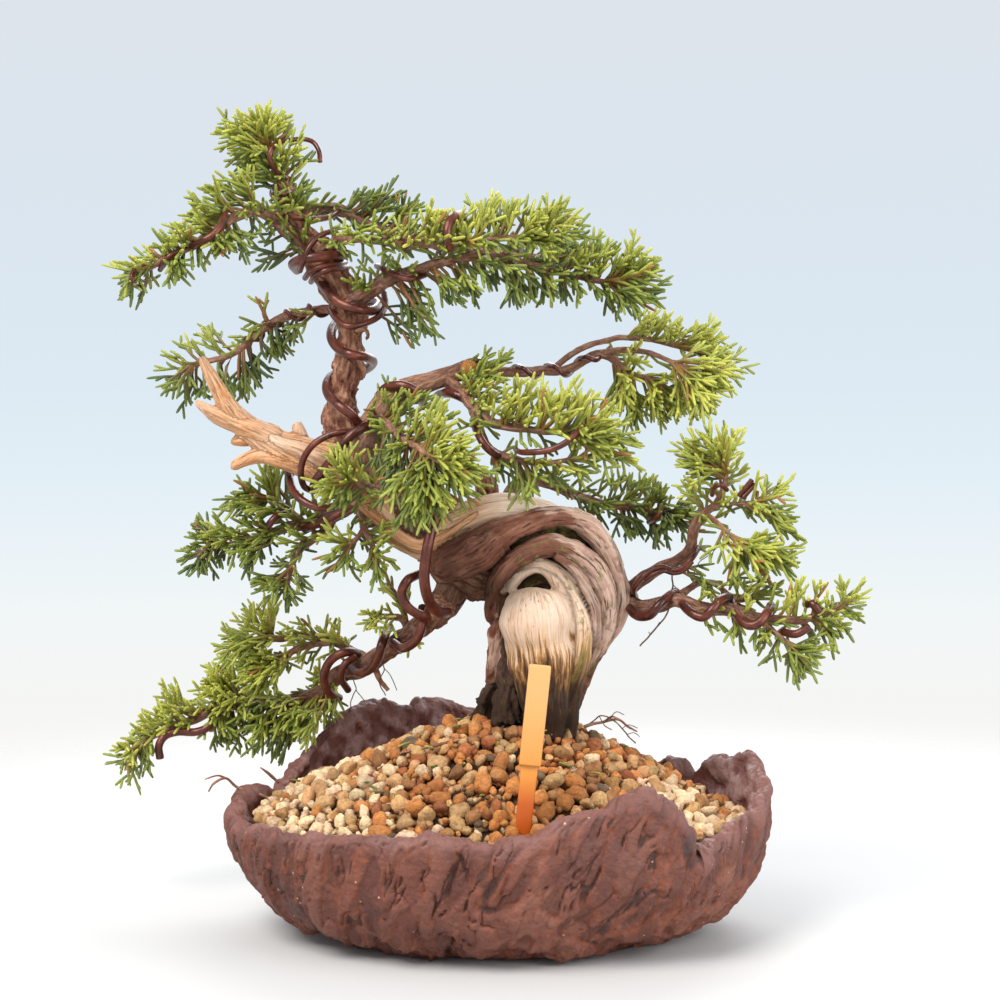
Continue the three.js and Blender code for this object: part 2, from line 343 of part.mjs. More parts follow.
// ---- the branches -------------------------------------------------------------------------------
// Each branch is one or more limbs grown together; the first one leaves the trunk or its parent.
const BRANCHES = {
  branch_top_left: [[[-58, 4, 203.8, 2.4], [-60.8, 2, 206.3, 2.4], [-64.4, -1, 209.5, 2.2],
    [-67.8, -5, 212.1, 2.1], [-70.8, -9, 213.3, 1.8], [-75.9, -15, 211.2, 1.5], [-80.4, -20, 207.2, 1.3],
    [-84.8, -23, 202.8, 1.2], [-90.4, -24, 199.8, 1], [-96, -25, 196.8, 0.9], [-101.5, -26, 193.5, 0.7],
    [-105.8, -26, 190.3, 0.6]]],
  branch_top_right: [[[-46.8, 3, 186.8, 2.7], [-42.7, 1, 188.7, 2.6], [-38.3, -2, 190.8, 2.4],
    [-33.9, -5, 193.4, 2.3], [-29.6, -8, 194.5, 2.1], [-25.3, -11, 195.3, 1.8], [-14.6, -15, 198.1, 1.3],
    [-5.8, -15, 199.2, 1.2], [5.9, -13, 197.7, 1.1], [17.6, -11, 195, 0.9], [29.5, -9, 192.6, 0.8],
    [37.8, -8, 191.6, 0.6]]],
  branch_top_right_upper: [[[-53.4, 0, 202.4, 2.1], [-49.1, -5, 204.4, 1.8], [-44.2, -10, 205.2, 1.6],
    [-37.4, -14, 204.3, 1.5], [-29.1, -17, 203, 1.3], [-17.4, -19, 201.9, 1.2], [-5.8, -19, 203.3, 1],
    [4.4, -17, 204.2, 0.9], [14.6, -15, 203.9, 0.7]]],
  branch_top_back: [[[-59.7, 6, 206.8, 2.4], [-60.5, 10, 211.7, 2.3], [-58.9, 13, 215.8, 2.1],
    [-55.4, 14, 217.2, 2.1], [-50.2, 15, 217.4, 1.9], [-45.7, 16, 215.7, 1.7], [-39.6, 17, 212.7, 1.5],
    [-31, 18, 209.8, 1.4], [-18.6, 18, 207, 1.2], [-6.2, 17, 205.3, 1.1], [6.2, 15, 203.8, 0.9],
    [18.4, 13, 201.1, 0.7]]],
  branch_upper_left: [[[-48.1, 5, 185.8, 1.6], [-53.3, 8, 186.1, 1.4], [-59.6, 10, 185.4, 1.3],
    [-64.4, 12, 184.4, 1.3], [-68.8, 13, 183, 1.3], [-72.9, 14, 180.3, 1.2], [-77, 15, 177, 1.1],
    [-80.7, 15, 174.2, 1], [-84.7, 15, 172.1, 0.96], [-89.4, 15, 170.8, 0.81], [-94, 15, 169.9, 0.67],
    [-98.6, 15, 167.4, 0.6]],
  [[-71.2, 13, 182.3, 0.81], [-72.3, 12, 185.9, 0.67], [-70.8, 12, 189.3, 0.6]]],
  branch_centre: [[[-38.7, 4, 135.9, 5.7], [-40, 2, 142.5, 5.7], [-38.3, -1, 148.4, 4.8],
    [-35.8, -3, 154.6, 4], [-31.9, -3, 159, 3.7], [-26.9, -3, 161.4, 3.3], [-20.9, -2, 163.3, 3],
    [-15, 0, 165.5, 2.8], [-11.1, -1, 166.9, 2.6], [-8.9, -4, 167.3, 2.5]],
  [[-13.2, 1, 166.2, 1.8], [-5.4, 4, 168.2, 1.6], [-1.5, 5, 167, 1.5], [9.1, 7, 166.9, 1.5],
    [18.3, 9, 167.3, 1.4], [22.9, 10, 168.9, 1.4], [30.5, 10, 172.6, 1.4], [37.2, 9, 168.2, 1.2],
    [41.1, 8, 166, 1], [50.9, 6, 163.8, 0.7]],
  [[15.9, 9, 167.3, 1], [19, 11, 170.5, 1], [23, 13, 173.4, 1], [27.7, 15, 175.8, 0.9],
    [32.5, 17, 177.2, 0.9], [37.8, 18, 178.2, 0.9], [44.1, 19, 178, 0.8], [51.2, 19, 176.7, 0.7],
    [60.4, 18, 173.8, 0.6]],
  [[30.5, 10, 172.6, 1.2], [35.3, 8, 173.6, 1], [40, 6, 173.5, 1], [45.2, 3, 172.3, 0.8],
    [51.7, 1, 169.5, 0.7], [58.5, 0, 166.4, 0.6]]],
  branch_front: [[[-36.7, -3, 152.8, 1.8], [-32.9, -12, 150, 1.5], [-27.3, -24, 145.2, 1.2],
    [-21.1, -34, 141.5, 0.9], [-16.7, -40, 138.6, 0.6]]],
  branch_centre_low: [[[-16.2, 0, 164, 2.1], [-12.5, -5, 160.7, 1.8], [-8.8, -11, 156.5, 1.6],
    [-4.1, -17, 151.8, 1.5], [1.4, -22, 149.3, 1.3], [8.6, -25, 148.1, 1.1], [16, -27, 147.4, 0.9],
    [25.7, -27, 146.3, 0.7]],
  [[-8.8, -11, 156.2, 1.3], [-6.7, -14, 151.4, 1.3], [-5, -14, 146.1, 1.3], [-1.8, -15, 142, 1.2],
    [3.5, -18, 140.2, 1], [11.5, -22, 138.4, 0.8], [21.5, -25, 140, 0.6]]],
  branch_behind: [[[0.9, 4, 126.2, 2.3], [3.6, 7, 131, 2.1], [7.3, 10, 133.8, 1.9],
    [12.3, 13, 133.8, 1.8], [18.5, 16, 131.7, 1.6], [24.8, 19, 128.9, 1.5], [31.1, 21, 127.1, 1.3],
    [39.1, 23, 125.8, 1.1], [47.6, 24, 124.6, 0.9], [56.3, 24, 124.2, 0.7]]],
  branch_left: [[[-43.2, 8, 128.9, 3], [-47, 10, 125.9, 2.6], [-51.8, 12, 123.1, 2.3],
    [-56.9, 14, 120.9, 2], [-61.7, 16, 120, 1.9], [-66.5, 17, 119.3, 1.6], [-71.9, 18, 117.2, 1.5],
    [-77.7, 20, 115.3, 1.3], [-83.6, 22, 114, 1.1], [-90.8, 24, 112.7, 0.9], [-95.3, 25, 110.4, 0.6]],
  [[-51.8, 12, 122.2, 1.7], [-53.6, 12, 118.5, 1.5], [-57.9, 12, 115.7, 1.4], [-61.6, 12, 113.3, 1.3],
    [-63.1, 12, 109.6, 1.1], [-64.8, 13, 105, 0.9], [-65.7, 13, 100.4, 0.6]],
  [[-61.6, 15, 121.2, 1.2], [-65.5, 17, 124.9, 1.1], [-70.7, 19, 128, 0.9], [-77.2, 21, 130.2, 0.7]]],
  twig_under_arm: [[[-44, 3, 128, 1.4], [-42, 0, 123.5, 1.1], [-40.2, -4, 119.1, 1],
    [-37.9, -7, 114.7, 0.8], [-35.7, -9, 110.3, 0.6]],
  [[-40.6, -3, 119.6, 0.8], [-43.1, -5, 116.1, 0.7], [-46.5, -7, 114.4, 0.6]]],
  twig_front: [[[-34.9, -3, 131, 1.5], [-38.2, -11, 131.8, 1.2], [-42.2, -16, 133, 0.9],
    [-46.4, -19, 134.7, 0.6]]],
  branch_low_left: [[[-15.5, -2, 97.5, 4.2], [-18.7, 2, 94.6, 3.9], [-21.8, 6, 91.9, 3.6],
    [-29, 15, 85.5, 3.2], [-33.6, 20, 82.3, 3], [-38.2, 25, 78.5, 2.9], [-43.6, 30, 75.2, 2.9],
    [-53.8, 37, 70.4, 2.8], [-57.6, 40, 66.2, 2.6], [-63.4, 43, 63.7, 2.3], [-69.7, 45, 62.8, 2.1],
    [-84.5, 46, 63, 1.8], [-90.8, 45, 62.2, 1.6], [-95.8, 44, 58.7, 1.6], [-100.9, 43, 56.2, 1.5],
    [-111.3, 40, 52.4, 1.2], [-115.6, 39, 49.3, 1], [-119.9, 38, 45.6, 0.7]],
  [[-28, 14.2, 87.4, 1.4], [-29, 14, 90.2, 1.3], [-30.6, 13.8, 91.8, 1.2], [-33.2, 13, 92.1, 1],
    [-36.8, 12, 92.4, 0.9], [-39.2, 12, 91.8, 0.6]],
  [[-29, 13.6, 90.6, 1], [-29.6, 12.4, 94, 0.9], [-31.8, 10, 98.7, 0.8], [-34.1, 9, 102.4, 0.6]],
  [[-39.6, 26, 76.5, 1.1], [-38.1, 27, 72, 0.9], [-35.3, 28, 68.1, 0.6]]],
  branch_low_left_spur: [[[-41.7, 30, 77.4, 1.6], [-47, 32, 80.1, 1.5], [-52.2, 34, 82.5, 1.3],
    [-57.8, 36, 82.3, 1.2], [-63.8, 38, 80.6, 1.1], [-68.8, 40, 78.1, 1], [-74.1, 41, 74.8, 0.8]],
  [[-52.9, 34, 82.5, 1.1], [-57.5, 36, 84.2, 1], [-62.5, 38, 85.4, 0.9], [-67.5, 40, 83.6, 0.8],
    [-73.1, 41, 83.2, 0.7], [-76.7, 41, 87.1, 0.6]]],
  branch_right: [[[38.7, 5, 100.8, 2], [43.8, 4, 104.7, 1.9], [48.3, 3, 107.5, 1.8],
    [52.7, 2, 109.3, 1.8], [55.9, 1, 111.5, 1.7], [57.3, 0, 114.5, 1.6], [59.4, -3, 122.6, 1.4],
    [61.5, -5, 124.7, 1.2], [64.1, -6, 127.1, 0.96], [65.8, -7, 131, 0.88], [66.9, -7, 136, 0.72],
    [65.8, -7, 141.3, 0.6]],
  [[60.8, -4, 124.1, 0.8], [63.3, -8, 122.1, 0.72], [65.9, -11, 119.5, 0.64], [68.6, -13, 116.3, 0.6],
    [72.5, -14, 113.4, 0.6]],
  [[62.9, -6, 125.9, 0.72], [67.3, -9, 126.8, 0.64], [72.9, -11, 127.1, 0.6], [78.7, -12, 128, 0.6]]],
  branch_low_right: [[[38.6, 3, 96.9, 2.5], [42, 0, 95.9, 2.3], [49.9, -6, 97.7, 2.1],
    [53.4, -9, 98.2, 2.1], [57.3, -11, 96.8, 2.1], [61.6, -12, 96, 1.9], [70.2, -14, 95, 1.8],
    [75.3, -15, 93.6, 1.6], [80.4, -16, 93, 1.5], [86.1, -17, 93.1, 1.3], [97.7, -17, 96.3, 0.8],
    [102.6, -16, 98.9, 0.6]],
  [[51.1, -5, 98.3, 1.2], [54.7, -2, 100.2, 1.1], [59.1, 0, 102.8, 1], [63.6, 0, 103.1, 0.9],
    [67, -2, 100.8, 0.8], [70, -6, 98.3, 0.7], [74.2, -10, 98.5, 0.6]],
  [[76.5, -15, 93, 1], [79, -18, 90.3, 0.9], [82.3, -19, 87.4, 0.7], [85.2, -19, 84, 0.6]]],
};

const ROOTS = {
  surface_root_left: [[-2, -8, 59, 0.5], [-14, -12, 57, 0.5], [-24, -10, 54.6, 0.5], [-33, -6, 51.8, 0.5],
    [-44, 0, 47.6, 0.5], [-52, 2, 43.6, 0.5]],
  surface_root_right: [[25, -4, 60.5, 0.5], [30, -4, 61.8, 0.5], [35, -3, 62.4, 0.5], [38, -2, 60.4, 0.5],
    [41, -1, 58.6, 0.5]],
};

// ---- the wires on the branches ------------------------------------------------------------------
// Each wire is traced round its branch: a radius, and the places [x, y, z] that it bends through.
const WIRES = {
  wire_leader: { radius: 1.45, path: [[-54.6, 12, 198.2], [-54.2, 5, 194], [-51.4, -2, 190.2],
    [-47.5, -6, 186.5], [-42.7, -7, 184.6], [-38.2, -3, 184.4], [-36.6, 5, 187], [-39.3, 13, 188.8],
    [-44.9, 18, 186.2], [-49.3, 15, 183.5], [-51.1, 8, 180], [-50.5, 1, 176.1], [-47.7, -4, 172.7],
    [-43.8, -7, 171], [-40.2, -4, 170.6], [-38.4, 4, 169.7], [-41.1, 12, 168.1], [-46.2, 15, 167.1],
    [-50.5, 11, 166.5], [-52.3, 4, 163.1], [-51.1, -2, 159.1], [-47.4, -7, 155.8], [-43.8, -7, 152.9],
    [-41.5, -3, 149.5], [-41.2, 5, 146.5]] },
  wire_leader_top: { radius: 1.5, path: [[-52.2, 13, 206.9], [-48.4, 8, 205], [-47.2, 1, 201.6],
    [-49.6, -5, 200.8], [-53.8, -8, 199.8], [-58.4, -7, 199.4], [-62.1, 0, 198.8], [-61.8, 8, 198]] },
  wire_jin: { radius: 1.45, path: [[-30.8, 9, 156], [-34.1, -2, 152.8], [-38.7, -9, 150.1],
    [-43.1, -12, 147.4], [-46.4, -12, 143.8], [-49.1, -11, 140.4], [-52, -8, 136.9], [-54.9, -3, 133.7],
    [-56.6, 5, 131]] },
  wire_centre: { radius: 1.45, path: [[-37, 11, 154.6], [-36.9, 4, 158.2], [-34.3, -4, 161.1],
    [-30.5, -8, 162], [-26.6, -9, 161.1], [-24, -6, 158.9], [-22.9, 3, 156.4]] },
  wire_centre_low: { radius: 0.9, path: [[4.6, -20, 142.7], [6.2, -30, 141.6], [10.1, -34, 141.5],
    [14.1, -35, 142.1], [18.3, -35, 144], [21.4, -34, 146.6], [23.6, -29, 149]] },
  wire_top_left: { radius: 1.05, path: [[-79.7, -19, 212], [-79.2, -26, 207.5], [-81.3, -29, 203.6],
    [-84.7, -29, 201.6], [-88.5, -25, 200.8]] },
  wire_top_right: { radius: 0.95, path: [[-35.3, 8, 191], [-34.7, 4, 186.6], [-36.4, -3, 182.6],
    [-40.6, -7, 180.1], [-45.2, -8, 179.4], [-48.8, -4, 181.9], [-51.4, 4, 185.7]] },
  wire_upper_left: { radius: 0.6, path: [[-50.1, 3.8, 185.1], [-50.9, 4.8, 187.3], [-51, 7.1, 188],
    [-51.4, 9.1, 186.7], [-52.8, 9.5, 184.8], [-54.6, 8.1, 184], [-56.4, 7, 185], [-57.7, 7.7, 186.9],
    [-58.4, 9.9, 187.5], [-59, 11.7, 186.2], [-59.8, 11.8, 184.1], [-61.5, 10.6, 183],
    [-63.5, 9.7, 183.9], [-64.9, 10.4, 185.5], [-65.8, 12.5, 186], [-66.3, 14.2, 184.5],
    [-67, 14.2, 182.3], [-68.1, 12.7, 181.3], [-69.8, 11.6, 181.6], [-71.7, 12.1, 182.4],
    [-72.8, 14, 182.5], [-73.1, 15.7, 181], [-73, 15.6, 178.8], [-73.8, 14.2, 177.3],
    [-75.7, 13.1, 177.2], [-77.6, 13.6, 177.9], [-78.8, 15.3, 177.7], [-79.2, 16.6, 176.1]] },
  wire_left: { radius: 1.2, path: [[-42.6, 0, 128], [-46.8, 4, 125], [-50.9, 5, 122.6],
    [-55.4, 8, 120.7], [-60.2, 13, 119.1]] },
  wire_low_left_inner: { radius: 1.45, path: [[-24.3, 1, 105.8], [-27.4, -4, 104.2], [-29.2, -4, 100.6],
    [-28, -3, 96.7], [-24.5, -2, 93.9], [-20.4, 1, 93.1], [-18, 9, 93.9]] },
  wire_low_left_outer: { radius: 1.4, path: [[-43.8, 37, 77.8], [-46.5, 26, 80.3], [-50.7, 24, 79.5],
    [-54, 26, 76.5], [-55.5, 28, 71.9], [-54.3, 32, 67.1], [-51.9, 41, 64.2]] },
  wire_low_right: { radius: 1.4, path: [[40.2, 8, 98.2], [39, 0, 95.6], [40.9, -7, 93.6],
    [44.1, -11, 94.2], [46.7, -12, 97.2], [49.6, -9, 99.4], [52.6, -2, 100.5]] },
  wire_right: { radius: 0.85, path: [[41.2, 6, 98.6], [39.9, -4, 101.5], [42.1, -6, 104.9],
    [45.1, -6, 107.2], [48.1, -6, 108.1], [51, -6, 107.2], [53.9, -7, 107.9], [56.9, -7, 110.8],
    [59.6, -1, 113.9]] },
  wire_behind: { radius: 0.9, path: [[49.9, 22, 128], [49.9, 18, 125.5], [48.6, 18, 122.7],
    [46.6, 24, 121.1], [46.4, 25.8, 123]] },
  wire_arm_loop: { radius: 1.6, path: [[-13.2, 0, 128], [-15.9, -9, 126.2], [-18.7, -15, 122.5],
    [-20.6, -18, 116.4], [-21.8, -18, 109.1], [-21.9, -16, 103.2], [-20.5, -12, 97.8], [-17.5, -6, 94.5],
    [-13.8, 2, 95.5], [-11.6, 9, 98.4]] },
};

// ---- the foliage --------------------------------------------------------------------------------
// Each pad is a few lumps [x, y, z, half width, half depth, half height].
const PADS = {
  foliage_apex: [[-75, -2, 238, 10, 9, 7], [-72, -4, 227, 11, 9, 7]],
  foliage_top_left: [[-80, -15, 211, 11, 12, 8], [-91, -19, 204, 11, 11, 8], [-103, -22, 196, 8, 8, 6]],
  foliage_top_right: [[-33, 3, 208, 13, 15, 9], [-13, 1, 205, 16, 16, 10], [8, -1, 203, 16, 17, 11],
    [28, -3, 197, 14, 13, 8], [42, -3, 192, 9, 9, 6]],
  foliage_upper_left: [[-76, -12, 173, 8, 7, 6], [-88, -18, 168, 11, 10, 8], [-92, -20, 161, 7, 7, 6]],
  foliage_centre: [[46, 12, 174, 13, 12, 8], [60, 4, 167, 13, 12, 9], [52, -3, 157, 10, 9, 8]],
  foliage_front: [[-19, -39, 142, 14, 13, 17]],
  foliage_centre_low: [[6, -22, 155, 14, 12, 11], [22, -24, 145, 15, 13, 12], [2, -20, 140, 9, 9, 9]],
  foliage_behind: [[37, 18, 129, 15, 13, 10], [48, 22, 124, 9, 10, 8]],
  foliage_left: [[-76, 26, 126, 13, 12, 9], [-88, 24, 116, 12, 11, 9], [-75, 20, 113, 9, 8, 7],
    [-67, 15, 105, 7, 8, 9]],
  foliage_under_arm: [[-40, -8, 114, 9, 7, 8]],
  foliage_twig: [[-47, -19, 136, 9, 7, 8]],
  foliage_low_left: [[-68, 39, 80, 12, 12, 10], [-80, 43, 68, 15, 13, 13], [-97, 42, 58, 13, 11, 10],
    [-111, 38, 49, 11, 9, 9]],
  foliage_right: [[66, -5, 136, 13, 12, 12], [76, -9, 122, 13, 11, 11]],
  foliage_low_right: [[81, -15, 96, 12, 11, 8], [95, -17, 98, 11, 9, 9]],
};

/** One lump of foliage: a faceted ball with an uneven outside. */
function lump([x, y, z, wide, deep, tall]) {
  const ball = new THREE.IcosahedronGeometry(1, 1);
  const place = ball.attributes.position;
  for (let i = 0; i < place.count; i++) {
    const [a, b, c] = [place.getX(i), place.getY(i), place.getZ(i)];
    const swell = 1 + 0.07 * Math.sin(5 * a + x) * Math.cos(4 * b + y) + 0.05 * Math.sin(6 * c + z);
    place.setXYZ(i, x + a * wide * swell, y + b * deep * swell, z + c * tall * swell);
  }
  return solid(ball);
}

// ---- the label stake ----------------------------------------------------------------------------
/** The bare plastic stake: a thick head on a thinner stem, leaning a little. */
function stake(grow = 0) {
  const strip = ({ wide, tall, thick }, low, back) => {
    const half = wide / 2 + grow;
    const shape = new THREE.Shape([[-half, low - grow], [half, low - grow], [half, low + tall + grow],
      [-half, low + tall + grow]].map(([a, b]) => new THREE.Vector2(a, b)));
    const plate = new THREE.ExtrudeGeometry(shape, { depth: thick + 2 * grow, bevelEnabled: false });
    return solid(plate.rotateX(Math.PI / 2).translate(0, back + grow, 0));
  };
  const whole = strip(STAKE_STEM, 0, 0).add(strip(STAKE_HEAD, STAKE_STEM.tall, 0));
  const lean = new THREE.Matrix4().makeRotationY(THREE.MathUtils.degToRad(STAKE_LEAN));
  const placed = new THREE.Matrix4().makeTranslation(STAKE_FOOT).multiply(lean);
  return whole.transform(placed.toArray());
}

// ---- the soil -----------------------------------------------------------------------------------
/** The height of the mound's surface over a point of the plan. */
function soilHeight(x, y) {
  const side = POT_HALF_WIDTH * (x > SOIL_X ? SOIL_RIGHT_SHARE : 1);
  const far = Math.hypot((x - SOIL_X) / side, (y - SOIL_Y) / POT_HALF_DEPTH);
  return SOIL_EDGE + (SOIL_PEAK - SOIL_EDGE) * Math.max(0, 1 - (far / 0.95) ** 1.35);
}

/** The soil's body: the pot's inside below, a mound above. */
function soilMound() {
  const up = [0.12, 0.4, 0.75];
  const across = [1, 0.85, 0.65, 0.45, 0.25];
  const rows = 2 + up.length + across.length + 1;
  const wallClear = POT_WALL + SOIL_WALL_GAP;
  return turned(rows, POT_SIDES / 2, (angle, row) => {
    const edge = Math.min(SOIL_EDGE, rimHeight(angle) - 3);
    const floor = POT_FLOOR + GAP;
    if (row === 0) return [0, floor];
    if (row === 1) return [potRadius(angle, floor) - wallClear - 5, floor];
    const step = row - 2;
    if (step < up.length) {
      const height = floor + 2 + up[step] * (edge - floor - 2);
      return [potRadius(angle, height) - wallClear, height];
    }
    const ring = step - up.length;
    if (ring < across.length) {
      const reach = (potRadius(angle, edge) - wallClear) * across[ring];
      return [reach, Math.max(edge, soilHeight(reach * Math.cos(angle), reach * Math.sin(angle)))];
    }
    return [0, soilHeight(0, 0)];
  });
}

// ---- assembly -----------------------------------------------------------------------------------
const tree = new THREE.Group();

/** Adds one named piece. */
function add(name, body, finish) {
  const mesh = new THREE.Mesh(geometryOf(body), new THREE.MeshStandardMaterial(FINISH[finish]));
  mesh.name = name;
  tree.add(mesh);
}

const entries = Object.entries;
const fatTrunk = trunkSolid(GAP);
const wires = (grow) => Object.fromEntries(entries(WIRES)
  .map(([name, { radius, path }]) => [name, wire(path, radius, grow)]));
const [bareWires, fatWires, roomyWires] = [0, GAP, WIRE_ROOM].map(wires);
const fatBranches = Object.fromEntries(entries(BRANCHES)
  .map(([name, limbs]) => [name, joined(limbs.map((stations) => limb(stations, GAP)))]));

add('pot', makePot(), 'pot');
drainPlaces.forEach(([x, y], i) => {
  const side = ['left', 'right'][i];
  add(`drain_mesh_${side}`, drainMesh(x, y), 'drainMesh');
  add(`mesh_clip_${side}`, meshClip(x, y), 'wire');
});
add('anchor_wire', anchorWire(), 'wire');

const buried = [fatTrunk, stake(GAP), anchorWire(GAP),
  ...Object.values(ROOTS).map((root) => limb(root, GAP)),
  ...drainPlaces.flatMap(([x, y]) => [drainMesh(x, y, GAP), meshClip(x, y, GAP)])];
add('soil', cutBy(soilMound(), buried), 'soil');

add('trunk', cutBy(trunkSolid(), Object.values(fatWires)), 'trunk');
const earlier = [];
for (const [name, limbs] of entries(BRANCHES)) {
  const body = joined(limbs.map((stations) => limb(stations)));
  add(name, cutBy(body, [fatTrunk, ...Object.values(fatWires), ...earlier]), 'bark');
  earlier.push(fatBranches[name]);
}
for (const [name, stations] of entries(ROOTS)) add(name, cutBy(limb(stations), [fatTrunk]), 'bark');

entries(bareWires).forEach(([name, body], i) => {
  add(name, cutBy(body, Object.values(fatWires).slice(0, i)), 'wire');
});

const inTheWay = [fatTrunk, ...Object.values(roomyWires), ...Object.values(fatBranches)];
for (const [name, lumps] of entries(PADS)) add(name, cutBy(joined(lumps.map(lump)), inTheWay), 'foliage');

add('label_stake', stake(), 'stake');

export default tree;
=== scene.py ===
"""Bonsai tree in a pot: a twisted, wired juniper in a torn-rim clay bowl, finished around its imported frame.

Lengths in the tables and dataclass fields are millimetres, and every mesh is written in metres.
"""
import logging
import math
from dataclasses import dataclass, field
from enum import Enum

import bpy
import numpy as np
from mathutils import Euler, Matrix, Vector


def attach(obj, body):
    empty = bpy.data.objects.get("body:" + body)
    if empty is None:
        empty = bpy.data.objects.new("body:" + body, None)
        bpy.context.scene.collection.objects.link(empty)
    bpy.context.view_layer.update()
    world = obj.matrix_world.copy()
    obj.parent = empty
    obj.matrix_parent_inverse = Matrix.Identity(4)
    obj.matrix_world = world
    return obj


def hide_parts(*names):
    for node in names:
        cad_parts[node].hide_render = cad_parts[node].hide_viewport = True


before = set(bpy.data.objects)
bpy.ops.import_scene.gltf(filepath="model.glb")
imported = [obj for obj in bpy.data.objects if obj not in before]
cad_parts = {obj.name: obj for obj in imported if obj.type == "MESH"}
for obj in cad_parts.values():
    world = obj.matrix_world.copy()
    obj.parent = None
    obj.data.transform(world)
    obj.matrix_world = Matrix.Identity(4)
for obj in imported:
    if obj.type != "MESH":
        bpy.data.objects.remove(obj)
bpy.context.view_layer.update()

MM = 0.001
BODY = "root"
FULL_TURN = 2 * math.pi
log = logging.getLogger("bonsai")

Array = np.ndarray
Triple = tuple[float, float, float]


# ---- shader writing ------------------------------------------------------------------------------
def srgb(red: int, green: int, blue: int) -> tuple[float, float, float, float]:
    """A screen colour, 0 to 255 a channel, as a linear colour with alpha 1."""
    def linear(c: float) -> float:
        c /= 255
        return c / 12.92 if c <= 0.04045 else ((c + 0.055) / 1.055) ** 2.4
    return (linear(red), linear(green), linear(blue), 1.0)


class Socket:
    """One output of a node, written with Python operators."""

    def __init__(self, graph: "Graph", out: bpy.types.NodeSocket) -> None:
        """Wraps a socket of a graph."""
        self.graph = graph
        self.out = out

    def _math(self, operation: str, *inputs: "Socket | float") -> "Socket":
        """A Math node on the given inputs."""
        return self.graph.node("ShaderNodeMath", {"operation": operation}, dict(enumerate(inputs)))

    def __add__(self, other: "Socket | float") -> "Socket":
        """self + other."""
        return self._math("ADD", self, other)

    __radd__ = __add__

    def __sub__(self, other: "Socket | float") -> "Socket":
        """self - other."""
        return self._math("SUBTRACT", self, other)

    def __rsub__(self, other: float) -> "Socket":
        """other - self."""
        return self._math("SUBTRACT", other, self)

    def __mul__(self, other: "Socket | float") -> "Socket":
        """self * other."""
        return self._math("MULTIPLY", self, other)

    __rmul__ = __mul__

    def clamped(self) -> "Socket":
        """self, held between 0 and 1."""
        return self.graph.node("ShaderNodeMath", {"operation": "ADD", "use_clamp": True}, {0: self, 1: 0.0})

    def stretched(self, low: float, high: float, to_low: float = 0.0, to_high: float = 1.0) -> "Socket":
        """self, with low to high spread smoothly over to_low to to_high.

        Args:
            low: the value that becomes to_low.
            high: the value that becomes to_high.
            to_low: the result at low and beyond.
            to_high: the result at high and beyond.

        Returns:
            The spread value.
        """
        return self.graph.node(
            "ShaderNodeMapRange", {"interpolation_type": "SMOOTHSTEP"},
            {"Value": self, "From Min": low, "From Max": high, "To Min": to_low, "To Max": to_high})


